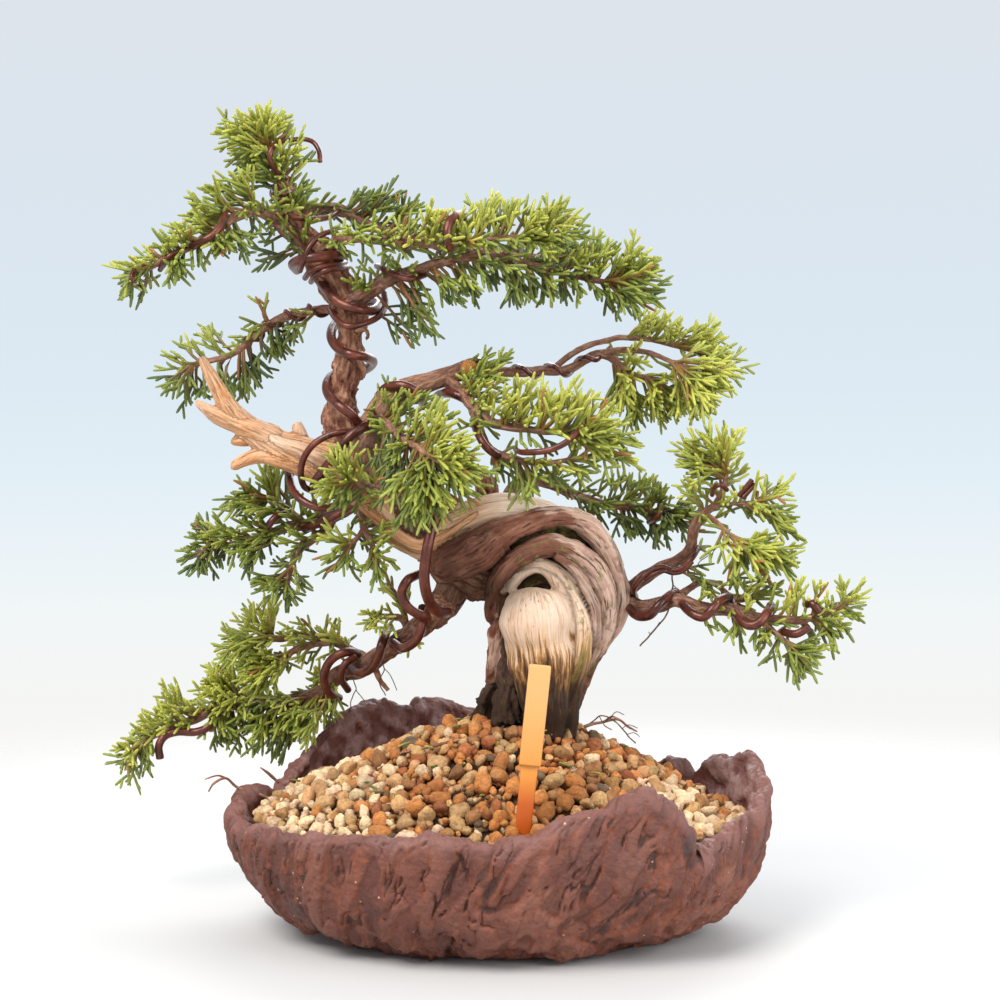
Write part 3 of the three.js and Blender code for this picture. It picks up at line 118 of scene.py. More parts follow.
class Graph:
    """A material's node tree, built by expressions."""

    def __init__(self, name: str) -> None:
        """Starts a material with its Principled shader.

        Args:
            name: the material's name.
        """
        self.material = bpy.data.materials.new(name)
        self.material.use_nodes = True
        self.tree = self.material.node_tree
        self.shader = next(n for n in self.tree.nodes if n.type == "BSDF_PRINCIPLED")
        self.place = self.node("ShaderNodeTexCoord", {}, {}, "Object")

    def put(self, socket: bpy.types.NodeSocket, value: object) -> None:
        """Sets or links one input.

        Args:
            socket: the input.
            value: a Socket to link, or a plain value.
        """
        if isinstance(value, Socket):
            self.tree.links.new(value.out, socket)
        else:
            socket.default_value = value

    def node(self, kind: str, settings: dict, inputs: dict, out: str | int = 0) -> Socket:
        """Adds a node.

        Args:
            kind: the node's type.
            settings: its properties; "stops" fills a colour ramp with (place, colour) pairs.
            inputs: values or links of its sockets, by name or number.
            out: the output that is wanted.

        Returns:
            That output.
        """
        node = self.tree.nodes.new(kind)
        for key, value in settings.items():
            if key == "stops":
                ramp = node.color_ramp.elements
                while len(ramp) < len(value):
                    ramp.new(0.5)
                for element, (place, colour) in zip(ramp, value):
                    element.position = place
                    element.color = colour
            else:
                setattr(node, key, value)
        for key, value in inputs.items():
            self.put(node.inputs[key], value)
        return Socket(self, node.outputs[out])

    def value(self, name: str, out: str = "Fac") -> Socket:
        """A number, or a Color or Vector, that the mesh carries on its vertices."""
        return self.node("ShaderNodeAttribute", {"attribute_name": name}, {}, out)

    def spots(self, scale: float, detail: float = 3.0, rough: float = 0.55, stretch: Triple = (1, 1, 1),
              where: Socket | None = None) -> Socket:
        """Cloudy noise from 0 to 1.

        Args:
            scale: cells for each metre, or for each unit of where.
            detail: how many finer layers it has.
            rough: how strong those are.
            stretch: a scale for each axis.
            where: the coordinates; the object's own if left out.

        Returns:
            The noise's value.
        """
        at = self.node("ShaderNodeVectorMath", {"operation": "MULTIPLY"},
                       {0: where or self.place, 1: stretch})
        return self.node("ShaderNodeTexNoise", {},
                         {"Vector": at, "Scale": scale, "Detail": detail, "Roughness": rough})

    def fibres(self, detail: float, rough: float, across: float, along: float) -> Socket:
        """Noise in the mesh's own grain, with the cells for each millimetre across and along it."""
        return self.spots(1.0, detail, rough, (across, across, along), self.value("grain", "Vector"))

    def cells(self, scale: float) -> Socket:
        """The distance pattern of scattered cells, so many for each metre."""
        return self.node("ShaderNodeTexVoronoi", {}, {"Vector": self.place, "Scale": scale}, "Distance")

    def mix(self, low: object, high: object, factor: Socket | float, blend: str = "MIX") -> Socket:
        """Two colours mixed.

        Args:
            low: the colour at factor 0.
            high: the colour at factor 1.
            factor: the share of high.
            blend: the way they mix.

        Returns:
            The colour.
        """
        node = self.tree.nodes.new("ShaderNodeMix")
        node.data_type = "RGBA"
        node.blend_type = blend
        self.put(node.inputs["Factor"], factor)
        self.put(node.inputs[6], low)
        self.put(node.inputs[7], high)
        return Socket(self, node.outputs[2])

    def ramp(self, factor: Socket, *stops: tuple[float, tuple]) -> Socket:
        """A colour ramp over factor."""
        return self.node("ShaderNodeValToRGB", {"stops": stops}, {"Fac": factor}, "Color")

    def shaded(self, colour: Socket, factor: Socket, *stops: tuple[float, tuple]) -> Socket:
        """A colour multiplied by a ramp over factor."""
        return self.mix(colour, self.ramp(factor, *stops), 1.0, "MULTIPLY")

    def bump(self, height: Socket, depth: float) -> Socket:
        """A bump of the given depth in metres over the height's 0 to 1."""
        inputs = {"Height": height, "Distance": depth, "Strength": 1.0}
        return self.node("ShaderNodeBump", {}, inputs, "Normal")

    def finish(self, **inputs: object) -> bpy.types.Material:
        """Sets the shader's sockets, with underscores for their spaces, and returns the material."""
        for name, value in inputs.items():
            self.put(self.shader.inputs[name.replace("_", " ")], value)
        return self.material


# ---- shape writing -------------------------------------------------------------------------------
class Noise:
    """Smooth seeded noise in space, from about -1 to 1."""

    offset = 31.7
    gain = 1.6
    layer_gap = 17.3

    def __init__(self, seed: int) -> None:
        """Draws the lattice's directions.

        Args:
            seed: the seed of the draw.
        """
        draw = np.random.default_rng(seed)
        self.table = np.tile(draw.permutation(256), 2)
        lean = draw.normal(size=(256, 3))
        self.lean = lean / np.linalg.norm(lean, axis=1)[:, None]

    def at(self, places: Array, size: float | Array = 1.0) -> Array:
        """The noise at places, with cells of the given size.

        Args:
            places: points, one a row.
            size: the size of a cell, or one for each axis.

        Returns:
            One value for each point.
        """
        spot = places / size + self.offset
        cell = np.floor(spot).astype(int)
        rest = spot - cell
        ease = rest ** 3 * (rest * (rest * 6 - 15) + 10)
        cell &= 255
        total = np.zeros(len(spot))
        for corner in np.ndindex(2, 2, 2):
            corner = np.array(corner)
            x, y, z = ((cell + corner) & 255).T
            lean = self.lean[self.table[self.table[self.table[x] + y] + z]]
            share = np.prod(np.where(corner, ease, 1 - ease), axis=1)
            total += share * np.einsum("ij,ij->i", rest - corner, lean)
        return total * self.gain

    def layers(self, places: Array, size: float | Array, count: int = 4, fall: float = 0.5) -> Array:
        """Noise with finer layers added.

        Args:
            places: points, one a row.
            size: the coarsest cell.
            count: how many layers.
            fall: each layer's share of the one before.

        Returns:
            One value for each point.
        """
        size = np.asarray(size, float)
        return sum(fall ** i * self.at(places + self.layer_gap * i, size / 2 ** i) for i in range(count))


def smoothstep(low: float, high: float, value: Array) -> Array:
    """0 below low, 1 above high, and a smooth climb between."""
    share = np.clip((value - low) / (high - low), 0, 1)
    return share * share * (3 - 2 * share)


def resampled(stations: list | Array, spacing: float, cuts: int = 24) -> Array:
    """A smooth line through stations, cut at an even spacing.

    Args:
        stations: rows of x, y, z and anything else that is carried along.
        spacing: the wanted step.
        cuts: how finely each span is traced before it is evened out.

    Returns:
        Rows like the stations, closer together.
    """
    rows = np.asarray(stations, float)
    ends = np.vstack([2 * rows[0] - rows[1], rows, 2 * rows[-1] - rows[-2]])
    t = np.linspace(0, 1, cuts, endpoint=False)[:, None]
    out = []
    for a, b, c, d in zip(ends, ends[1:], ends[2:], ends[3:]):
        out.append(0.5 * (2 * b + (c - a) * t + (2 * a - 5 * b + 4 * c - d) * t ** 2
                          + (3 * b - a - 3 * c + d) * t ** 3))
    out.append(rows[-1:])
    fine = np.vstack(out)
    run = np.concatenate([[0], np.cumsum(np.linalg.norm(np.diff(fine[:, :3], axis=0), axis=1))])
    count = max(3, int(round(run[-1] / spacing)) + 1)
    marks = np.linspace(0, run[-1], count)
    return np.stack([np.interp(marks, run, column) for column in fine.T], 1)


def carried_frames(path: Array) -> tuple[Array, Array, Array]:
    """Directions carried along a path without twist.

    Args:
        path: points, one a row.

    Returns:
        The tangent, and two directions across it, at each point.
    """
    tangent = np.gradient(path[:, :3], axis=0)
    tangent /= np.linalg.norm(tangent, axis=1)[:, None]
    side = np.array([0.0, 0.0, 1.0]) if abs(tangent[0, 2]) < 0.9 else np.array([1.0, 0.0, 0.0])
    normal = np.empty_like(tangent)
    for i, way in enumerate(tangent):
        side = side - way * side.dot(way)
        side /= np.linalg.norm(side)
        normal[i] = side
    return tangent, normal, np.cross(tangent, normal)


def even_angles(count: int) -> Array:
    """The angles of a full turn cut into equal steps."""
    return np.linspace(0, FULL_TURN, count, endpoint=False)


def ringed(angle: Array, reach: Array | float, height: Array | float) -> Array:
    """Points round the Z axis at the given angles, reaches and heights."""
    return np.stack(np.broadcast_arrays(reach * np.cos(angle), reach * np.sin(angle), height), 1)


def spokes(one: Array, two: Array, sides: int) -> Array:
    """Directions to the points of a ring, round every place of a path.

    Args:
        one: a direction across the path, at each place.
        two: the direction across both.
        sides: the ring's number of points.

    Returns:
        The directions, with the ring's points on the last axis but one.
    """
    turn = even_angles(sides)[:, None]
    return np.cos(turn) * one[..., None, :] + np.sin(turn) * two[..., None, :]


def bezier_shares(t: Array | float) -> Array:
    """The shares that a cubic curve's four points have at t."""
    a = 1 - t
    return np.stack([a ** 3, 3 * a * a * t, 3 * a * t * t, t ** 3], -1)


class Surface:
    """Collects grids of points into one mesh, with the numbers that its vertices carry."""

    kinds = {1: ("FLOAT", "value"), 3: ("FLOAT_VECTOR", "vector"), 4: ("FLOAT_COLOR", "color")}

    def __init__(self) -> None:
        """Starts with nothing."""
        self.places: list[Array] = []
        self.faces: list[Array] = []
        self.values: dict[str, list[Array]] = {}
        self.count = 0

    def add(self, places: Array, faces: list[Array], **values: Array) -> None:
        """Adds points and the faces between them.

        Args:
            places: points in millimetres, one a row.
            faces: arrays of corner numbers, each with its own number of corners.
            values: a number for each point, by name.
        """
        self.places.append(places)
        self.faces += [f + self.count for f in faces]
        for name, numbers in values.items():
            shape = (len(places),) + np.shape(numbers)[1:]
            self.values.setdefault(name, []).append(np.broadcast_to(numbers, shape))
        self.count += len(places)

    def build(self, name: str, material: bpy.types.Material | None = None, smooth: bool = True
              ) -> bpy.types.Object:
        """Makes the object.

        Args:
            name: the piece's name.
            material: its finish.
            smooth: whether its shading is smooth.

        Returns:
            The new object, in the scene.
        """
        mesh = bpy.data.meshes.new(name)
        places = np.vstack(self.places) * MM
        corners = np.concatenate([f.ravel() for f in self.faces])
        sizes = np.concatenate([np.full(len(f), f.shape[1]) for f in self.faces])
        mesh.vertices.add(len(places))
        mesh.vertices.foreach_set("co", places.astype(np.float32).ravel())
        mesh.loops.add(len(corners))
        mesh.loops.foreach_set("vertex_index", corners.astype(np.int32))
        mesh.polygons.add(len(sizes))
        mesh.polygons.foreach_set("loop_start", (np.cumsum(sizes) - sizes).astype(np.int32))
        mesh.update(calc_edges=True)
        mesh.polygons.foreach_set("use_smooth", np.full(len(sizes), smooth))
        for key, numbers in self.values.items():
            numbers = np.concatenate(numbers).astype(np.float32)
            kind, slot = self.kinds[numbers.size // len(places)]
            mesh.attributes.new(key, kind, "POINT").data.foreach_set(slot, numbers.ravel())
        piece = bpy.data.objects.new(name, mesh)
        bpy.context.scene.collection.objects.link(piece)
        if material:
            mesh.materials.append(material)
        return piece


def ring_faces(rows: int, sides: int, capped: bool = True) -> list[Array]:
    """Faces of a stack of closed rings.

    Args:
        rows: how many rings.
        sides: points in each ring.
        capped: whether the first and last rings are closed by a face.

    Returns:
        The faces, for Surface.add.
    """
    row = np.arange(rows - 1)[:, None] * sides
    here, after = np.arange(sides), (np.arange(sides) + 1) % sides
    quads = np.stack([row + here, row + after, row + sides + after, row + sides + here], -1).reshape(-1, 4)
    if not capped:
        return [quads]
    return [quads, here[None, ::-1], here[None] + (rows - 1) * sides]


def install(piece: bpy.types.Object, slot: str, *nodes: str) -> bpy.types.Object:
    """Fixes a piece to the body, hides the frame's nodes that it stands for and logs its faces.

    Args:
        piece: the finished piece.
        slot: the piece's material slot; not used.
        nodes: the nodes it replaces.

    Returns:
        The piece.
    """
    if nodes:
        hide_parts(*nodes)
    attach(piece, BODY)
    log.info("%s: %d faces for %s", piece.name, len(piece.data.polygons), ", ".join(nodes) or "itself")
    return piece


# ---- the pot -------------------------------------------------------------------------------------
RIM = (
    (0, 47.4), (5, 50), (11, 50.8), (15.6, 50.2), (18.4, 47.4), (20, 49), (22.5, 48.8), (26, 46.6),
    (29, 42.5), (31, 39), (33, 42), (35, 45), (37, 44.6), (39, 46), (42, 44), (46, 40), (53, 38.6),
    (60, 38), (72, 43), (84, 51), (93, 57), (99, 59.5), (106, 61.5), (112, 62.5), (115.2, 62),
    (116.8, 58.6), (118.6, 61.5), (123, 62.4), (130, 62), (136, 59.6), (142, 54.5), (148, 49), (153, 44.5),
    (158, 40), (162, 37), (167, 38.6), (171, 39), (176, 37.4), (183, 36.6), (190, 35.4), (197, 34.4),
    (205, 36), (213, 35.8), (220, 37), (228, 36.2), (236, 38.4), (244, 37.8), (252, 39.6), (262, 38),
    (270, 36.8), (277, 38.2), (280, 40.2), (284, 43), (289.5, 45.4), (295.5, 46.4), (300, 48.4),
    (304.4, 49), (309, 46.6), (312.8, 42.8), (315.2, 38), (316.8, 32.6), (318.2, 30), (325, 33),
    (332, 36.6), (338, 39), (346, 41), (353, 44),
)
# How far a slab stands out, how much its edge leans, where round the bowl it rises and drops, and where up
# the wall it starts.
LAPS = (
    (2.6, 0.0, (284, 310), (316.2, 317.4), (2, 22)),
    (1.8, 0.12, (112, 115.5), (116.2, 117.4), (36, 46)),
    (2.0, 0.12, (160, 166), (172, 186), (12, 30)),
    (1.6, 0.12, (228, 243), (246, 248), (26, 10)),
)


@dataclass(frozen=True)
class ClayFinish:
    """Unglazed red-brown clay with rusty smears and pale specks, painted shade darkening its gashes and
    grooves and a painted highlight on its ridges.
    """

    body: tuple = srgb(108, 58, 43)
    light: tuple = srgb(134, 82, 64)
    dark: tuple = srgb(84, 44, 34)
    # painted shade for the cracks and gashes
    pit: tuple = srgb(40, 25, 22)
    slate: tuple = srgb(88, 70, 74)
    rust: tuple = srgb(144, 74, 40)
    speck: tuple = srgb(204, 180, 156)
    crest: tuple = srgb(126, 88, 82)
    # a painted highlight for the ridges of the inner wall
    inner_ridge_highlight: tuple = srgb(158, 126, 122)
    inner: tuple = srgb(120, 78, 72)
    # painted shade for the cracks of the inner wall
    inner_pit_shade: tuple = srgb(52, 34, 32)

    def make(self) -> bpy.types.Material:
        """Builds the material."""
        g = Graph("clay")
        broad = g.spots(45, 4)
        fine = g.spots(420, 4, 0.6)
        colour = g.ramp(broad, (0.32, self.dark), (0.5, self.body), (0.68, self.light))
        rust = g.spots(120, 4, 0.7).stretched(0.58, 0.72, 0, 0.55)
        colour = g.mix(colour, self.rust, rust)
        slate = g.spots(160, 5, 0.7, (1, 1, 0.45)).stretched(0.59, 0.7, 0, 0.5)
        colour = g.mix(colour, self.slate, slate)
        pit = g.value("pit")
        edge = pit.stretched(0.04, 0.22) * (1 - pit.stretched(0.3, 0.6)) * 0.5
        colour = g.mix(colour, self.rust, edge)
        # painted shade: cracks and gashes darker towards their depth
        colour = g.mix(colour, self.pit, pit.stretched(0.2, 0.85, 0, 0.7))
        ridge = g.value("ridge")
        # painted shade in the grooves between slabs and a painted highlight on their ridges
        colour = g.mix(colour, self.dark, ridge.stretched(-0.1, -0.9, 0, 0.6))
        colour = g.mix(colour, self.light, ridge.stretched(0.15, 1.0, 0, 0.35))
        colour = g.shaded(colour, fine, (0.3, (0.8, 0.78, 0.78, 1)), (0.7, (1.1, 1.08, 1.06, 1)))
        colour = g.mix(colour, self.crest, g.value("crest") * broad.stretched(0.3, 0.6, 0.2, 0.6))
        specks = 1 - g.cells(360).stretched(0.09, 0.15)
        chosen = g.spots(210, 1).stretched(0.6, 0.64)
        colour = g.mix(colour, self.speck, specks * chosen * 0.8)
        inner = g.value("inner")
        # the inner wall: a painted highlight on its ridges and painted shade in its cracks
        inside = g.mix(self.inner, self.inner_ridge_highlight, ridge.stretched(-0.4, 0.7))
        colour = g.mix(colour, g.mix(inside, self.inner_pit_shade, pit), inner * 0.85)
        height = broad * 0.3 + g.spots(1100, 3, 0.6) * 0.5 + g.spots(330, 4, 0.65) * 0.7 + g.cells(700) * 0.25
        return g.finish(Base_Color=colour, Roughness=fine.stretched(0.2, 0.8, 0.5, 0.7) - inner * 0.2,
                        Normal=g.bump(height, 0.0007))


@dataclass
class Pot:
    """The hand-built bowl with its torn rim and gashed wall."""

    half_width: float = 81.0
    half_depth: float = 66.0
    rim: float = 38.0
    heights: tuple = RIM
    wall: float = 7.0
    floor: float = 7.0
    foot_share: float = 0.56
    columns: int = 960
    foot_rows: tuple = (0.01, 0.3, 0.6, 0.8, 0.92, 0.985)
    wall_rows: int = 104
    crest_rows: int = 20
    inner_rows: int = 40
    floor_rows: tuple = (0.9, 0.5, 0.1)
    inner_share: float = 0.65
    noise_reach: float = 60.0
    laps: tuple = LAPS
    cuts: int = 190
    mean_reach: float = 72.0
    drain_x: float = 25.0
    drain_y: float = 6.0
    drain_radius: float = 7.0
    recess_radius: float = 10.0
    recess_depth: float = 2.6
    finish: ClayFinish = ClayFinish()

    def rim_height(self, angle: Array) -> Array:
        """The rim's height at angles in radians."""
        at, height = np.array(self.heights).T
        return np.interp(np.degrees(angle) % 360, at, height, period=360)

    def radius(self, angle: Array, height: Array) -> Array:
        """The outside radius at angles and heights: an oval bowl with a full belly."""
        belly = 1 / np.hypot(np.cos(angle) / self.half_width, np.sin(angle) / self.half_depth)
        climb = np.clip(height / self.rim, 0, 1)
        return belly * (self.foot_share + (1 - self.foot_share) * np.sqrt(1 - (1 - climb) ** 2.2))

    def shell(self) -> tuple[Array, Array]:
        """The bowl's plain surface.

        Returns:
            Points by row and column, and how much each row is outside (1) or inside (0).
        """
        noise = Noise(3)
        angle = even_angles(self.columns)
        ring = ringed(angle, self.noise_reach, 0)
        rim = self.rim_height(angle) + (0.7 * noise.layers(ring, 7, 2) + 0.2 * noise.at(ring, 2.6))
        thick = self.wall + 1.2 * noise.layers(ring, 16, 2) - 0.8
        crest = thick / 2
        rows, outside = [], []

        def row(radius: Array, height: Array | float, share: float) -> None:
            rows.append(ringed(angle, radius, height))
            outside.append(share)

        foot = self.radius(angle, 0 * angle)
        for share in self.foot_rows:
            row(foot * share, 0.0, 0.0)
        for f in np.linspace(0.012, 1, self.wall_rows):
            height = f * (rim - crest)
            row(self.radius(angle, height), height, float(smoothstep(0, 0.06, f)))
        top = self.radius(angle, rim - crest)
        for turn in np.linspace(0, math.pi, self.crest_rows)[1:]:
            row(top - crest + crest * math.cos(turn), rim - crest + crest * math.sin(turn),
                1 - (1 - self.inner_share) * turn / math.pi)
        for f in np.linspace(1, 0, self.inner_rows)[1:]:
            height = self.floor + f * (rim - crest - self.floor)
            row(self.radius(angle, height) - thick, height, self.inner_share)
        for share in self.floor_rows:
            row((self.radius(angle, self.floor + 0 * angle) - thick) * share, self.floor, 0.0)
        return np.stack(rows), np.array(outside)

    def fold(self, angle: Array, height: Array) -> Array:
        """How far the slabs of the wall stand out where one is lapped over the next."""
        total = np.zeros_like(angle)
        for depth, lean, rise, drop, start in self.laps:
            turn = np.degrees(angle) % 360 + lean * (height - 30)
            around = smoothstep(*rise, turn) * (1 - smoothstep(*drop, turn))
            total += depth * around * smoothstep(*start, height)
        return total

    def carve(self, places: Array, outside: Array) -> tuple[Array, Array, Array]:
        """Presses lumps, cracks and gashes into the wall.

        Args:
            places: the plain surface, by row and column.
            outside: how much of the carving each row takes.

        Returns:
            The carved points, how deep in a crack each is, and how far each stands out.
        """
        across = np.roll(places, -1, 1) - np.roll(places, 1, 1)
        normal = np.cross(across, np.gradient(places, axis=0))
        normal /= np.linalg.norm(normal, axis=2, keepdims=True) + 1e-9
        flat = places.reshape(-1, 3)
        share = np.repeat(outside, places.shape[1])
        angle = np.arctan2(flat[:, 1] / self.half_depth, flat[:, 0] / self.half_width)
        lean = angle - flat[:, 2] * 0.0055
        reach = np.hypot(flat[:, 0], flat[:, 1])
        sheared = ringed(lean, reach, flat[:, 2])
        sheared[:, :2] += 1.1 * Noise(5).layers(flat, 8, 2)[:, None]
        within = np.repeat(self.inner(len(places)), places.shape[1])
        lumps = Noise(7)
        slab = Noise(8).layers(sheared, (11, 11, 62), 2)
        flake = Noise(9).layers(sheared, (4.8, 4.8, 30), 2)
        tile = Noise(10).layers(flat + flat[:, [1, 2, 0]] * 0.4, (9, 9, 8), 2)
        step = 0.04 + 0.05 * (Noise(16).at(flat, 9) + 1)
        lap = 0.5 * smoothstep(-step, step, slab) + 0.32 * smoothstep(-step, step, flake)
        tiled = 0.55 * smoothstep(-step, step, tile) + 0.3 * smoothstep(-step, step, flake)
        ridge = (lap + 0.5 * slab + 0.3 * flake) * (1 - within) + (tiled + 0.9 * tile) * within
        ridge = 1.2 * (ridge - 0.4)
        swell = 1.2 * lumps.layers(flat, (20, 20, 24), 2) + 1.15 * ridge - 0.5
        swell += 0.16 * lumps.layers(flat, 2.1, 3)
        swell += 1.7 * (1 - smoothstep(2, 13, flat[:, 2])) * (lumps.layers(flat, (9, 9, 9), 2) + 0.2)
        edge = np.minimum(np.abs(slab + step) / 1.6, np.abs(flake + step))
        where = smoothstep(0.0, 0.4, Noise(12).at(flat, (11, 11, 14)))
        pit = (1 - smoothstep(0.02, 0.1, edge)) * (0.15 + 0.6 * where)
        gouge = smoothstep(0.56, 0.72, Noise(15).layers(sheared, (2.2, 2.2, 11), 2)) * 0.7
        pit = np.maximum(np.maximum(pit, gouge), self.slashes(angle, flat)) * share * (1 - 0.3 * within)
        swell += 0.22 * Noise(17).layers(flat, (1.5, 1.5, 3.2), 2)
        swell += 0.9 * within * Noise(19).layers(flat, 6, 3)
        move = share * swell * (1 + 0.6 * within) - 1.25 * pit
        move += np.minimum(share * 2, 1) * self.fold(angle % FULL_TURN, flat[:, 2])
        move = np.where(flat[:, 2] < 0.4, np.minimum(move, 0) * 0.2, move)
        moved = flat + normal.reshape(-1, 3) * move[:, None]
        moved[:, 2] = np.maximum(moved[:, 2], 0)
        return moved, pit, ridge

    def slashes(self, angle: Array, places: Array) -> Array:
        """Narrow slanting cuts, scattered over the wall.

        Args:
            angle: the direction of each point from the bowl's middle.
            places: the points.

        Returns:
            How deep in a cut each point is, 0 to 1.
        """
        draw = np.random.default_rng(14)
        bent = 1.3 * Noise(18).layers(places, 6, 2)
        half = math.pi * self.mean_reach
        around, deep = angle * self.mean_reach + bent, np.zeros(len(places))
        for at, height, length, width, lean in zip(
                draw.uniform(-math.pi, math.pi, self.cuts) * self.mean_reach, draw.uniform(1, 46, self.cuts),
                draw.lognormal(1.8, 0.45, self.cuts), draw.uniform(0.14, 0.46, self.cuts),
                draw.normal(0.42, 0.22, self.cuts)):
            along = (places[:, 2] - height) / length
            near = np.flatnonzero(np.abs(along) < 1)
            off = around[near] - at - lean * (places[near, 2] - height)
            off = np.abs((off + half) % (2 * half) - half)
            taper = width * (1 - along[near] ** 2)
            cut = (1 - smoothstep(taper * 0.4, taper + 0.34, off)) * taper / width
            deep[near] = np.maximum(deep[near], cut)
        return deep * (0.3 + 0.7 * smoothstep(-0.25, 0.3, Noise(21).at(places, (16, 16, 20))))

    def inner(self, rows: int) -> Array:
        """How much each row of the bowl belongs to its inner wall, which starts on the crest."""
        crest = len(self.foot_rows) + self.wall_rows
        return smoothstep(crest + 6, crest + 22, np.arange(rows))

    def build(self) -> bpy.types.Object:
        """Makes the bowl and drills its drainage holes."""
        places, outside = self.shell()
        moved, pit, ridge = self.carve(places, outside)
        surface = Surface()
        inside = np.repeat(self.inner(len(places)), places.shape[1])
        angle = np.arctan2(places[..., 1], places[..., 0]).ravel()
        crest = smoothstep(7, 1, self.rim_height(angle) - moved[:, 2])
        surface.add(moved, ring_faces(*places.shape[:2]), pit=pit, ridge=ridge, inner=inside, crest=crest)
        piece = surface.build("clay_bowl", self.finish.make())
        self.drill(piece)
        return install(piece, "pot", "pot")

    def drill(self, piece: bpy.types.Object) -> None:
        """Cuts the drainage holes and the recesses round them.

        Args:
            piece: the bowl.
        """
        drill = Surface()
        turn = even_angles(40)
        for x in (-self.drain_x, self.drain_x):
            stack = [(0.3, -2), (self.recess_radius, -2), (self.recess_radius, self.recess_depth),
                     (self.drain_radius, self.recess_depth + 0.01), (self.drain_radius, self.floor + 3),
                     (0.3, self.floor + 3)]
            rings = [ringed(turn, r, z) + (x, self.drain_y, 0) for r, z in stack]
            drill.add(np.vstack(rings), ring_faces(len(stack), len(turn)))
        tool = drill.build("drill", smooth=False)
        cut = piece.modifiers.new("drains", "BOOLEAN")
        cut.object = tool
        cut.operation = "DIFFERENCE"
        cut.solver = "EXACT"
        settle(piece)
        bpy.data.objects.remove(tool)


def settle(piece: bpy.types.Object) -> None:
    """Makes a piece's modifiers part of its mesh."""
    graph = bpy.context.evaluated_depsgraph_get()
    mesh = bpy.data.meshes.new_from_object(piece.evaluated_get(graph), depsgraph=graph)
    old = piece.data
    piece.modifiers.clear()
    piece.data = mesh
    bpy.data.meshes.remove(old)
    mesh.name = piece.name


# ---- the grit ------------------------------------------------------------------------------------
class Grain(Enum):
    """The kinds of grain in the grit, with their colours."""

    ORANGE = srgb(190, 122, 62)
    RUST = srgb(158, 92, 50)
    TAN = srgb(196, 152, 102)
    CREAM = srgb(228, 196, 158)
    UMBER = srgb(150, 104, 60)
    LAVA = srgb(102, 82, 62)


@dataclass(frozen=True)
class GritFinish:
    """Porous grains, each with its own colour."""

    dust: tuple = srgb(214, 172, 120)

    def make(self) -> bpy.types.Material:
        """Builds the material."""
        g = Graph("grit")
        colour = g.shaded(g.value("grain_colour", "Color"), g.spots(800, 5, 0.7), (0.3, (0.55, 0.5, 0.42, 1)),
                          (0.5, (0.98, 0.95, 0.92, 1)), (0.7, (1.25, 1.25, 1.22, 1)))
        colour = g.mix(colour, self.dust, g.spots(190, 3).stretched(0.5, 0.7, 0, 0.22))
        pores = g.cells(1700).stretched(0.05, 0.3)
        height = pores * 0.5 + g.spots(1500, 4) * 0.8
        return g.finish(Base_Color=colour, Roughness=0.92, Normal=g.bump(height, 0.0006))


@dataclass(frozen=True)
class BedFinish:
    """The dark packed grit below the loose grains, with painted shade in the gaps between its grains."""

    top: tuple = srgb(140, 100, 62)
    # painted shade for the gaps between grains
    gap: tuple = srgb(58, 40, 26)

    def make(self) -> bpy.types.Material:
        """Builds the material."""
        g = Graph("bed")
        cell = g.cells(420)
        # painted shade: dark in the gaps between the grains
        colour = g.ramp(cell, (0.1, self.top), (0.6, self.gap))
        return g.finish(Base_Color=colour, Roughness=0.95, Normal=g.bump(1 - cell, 0.0012))


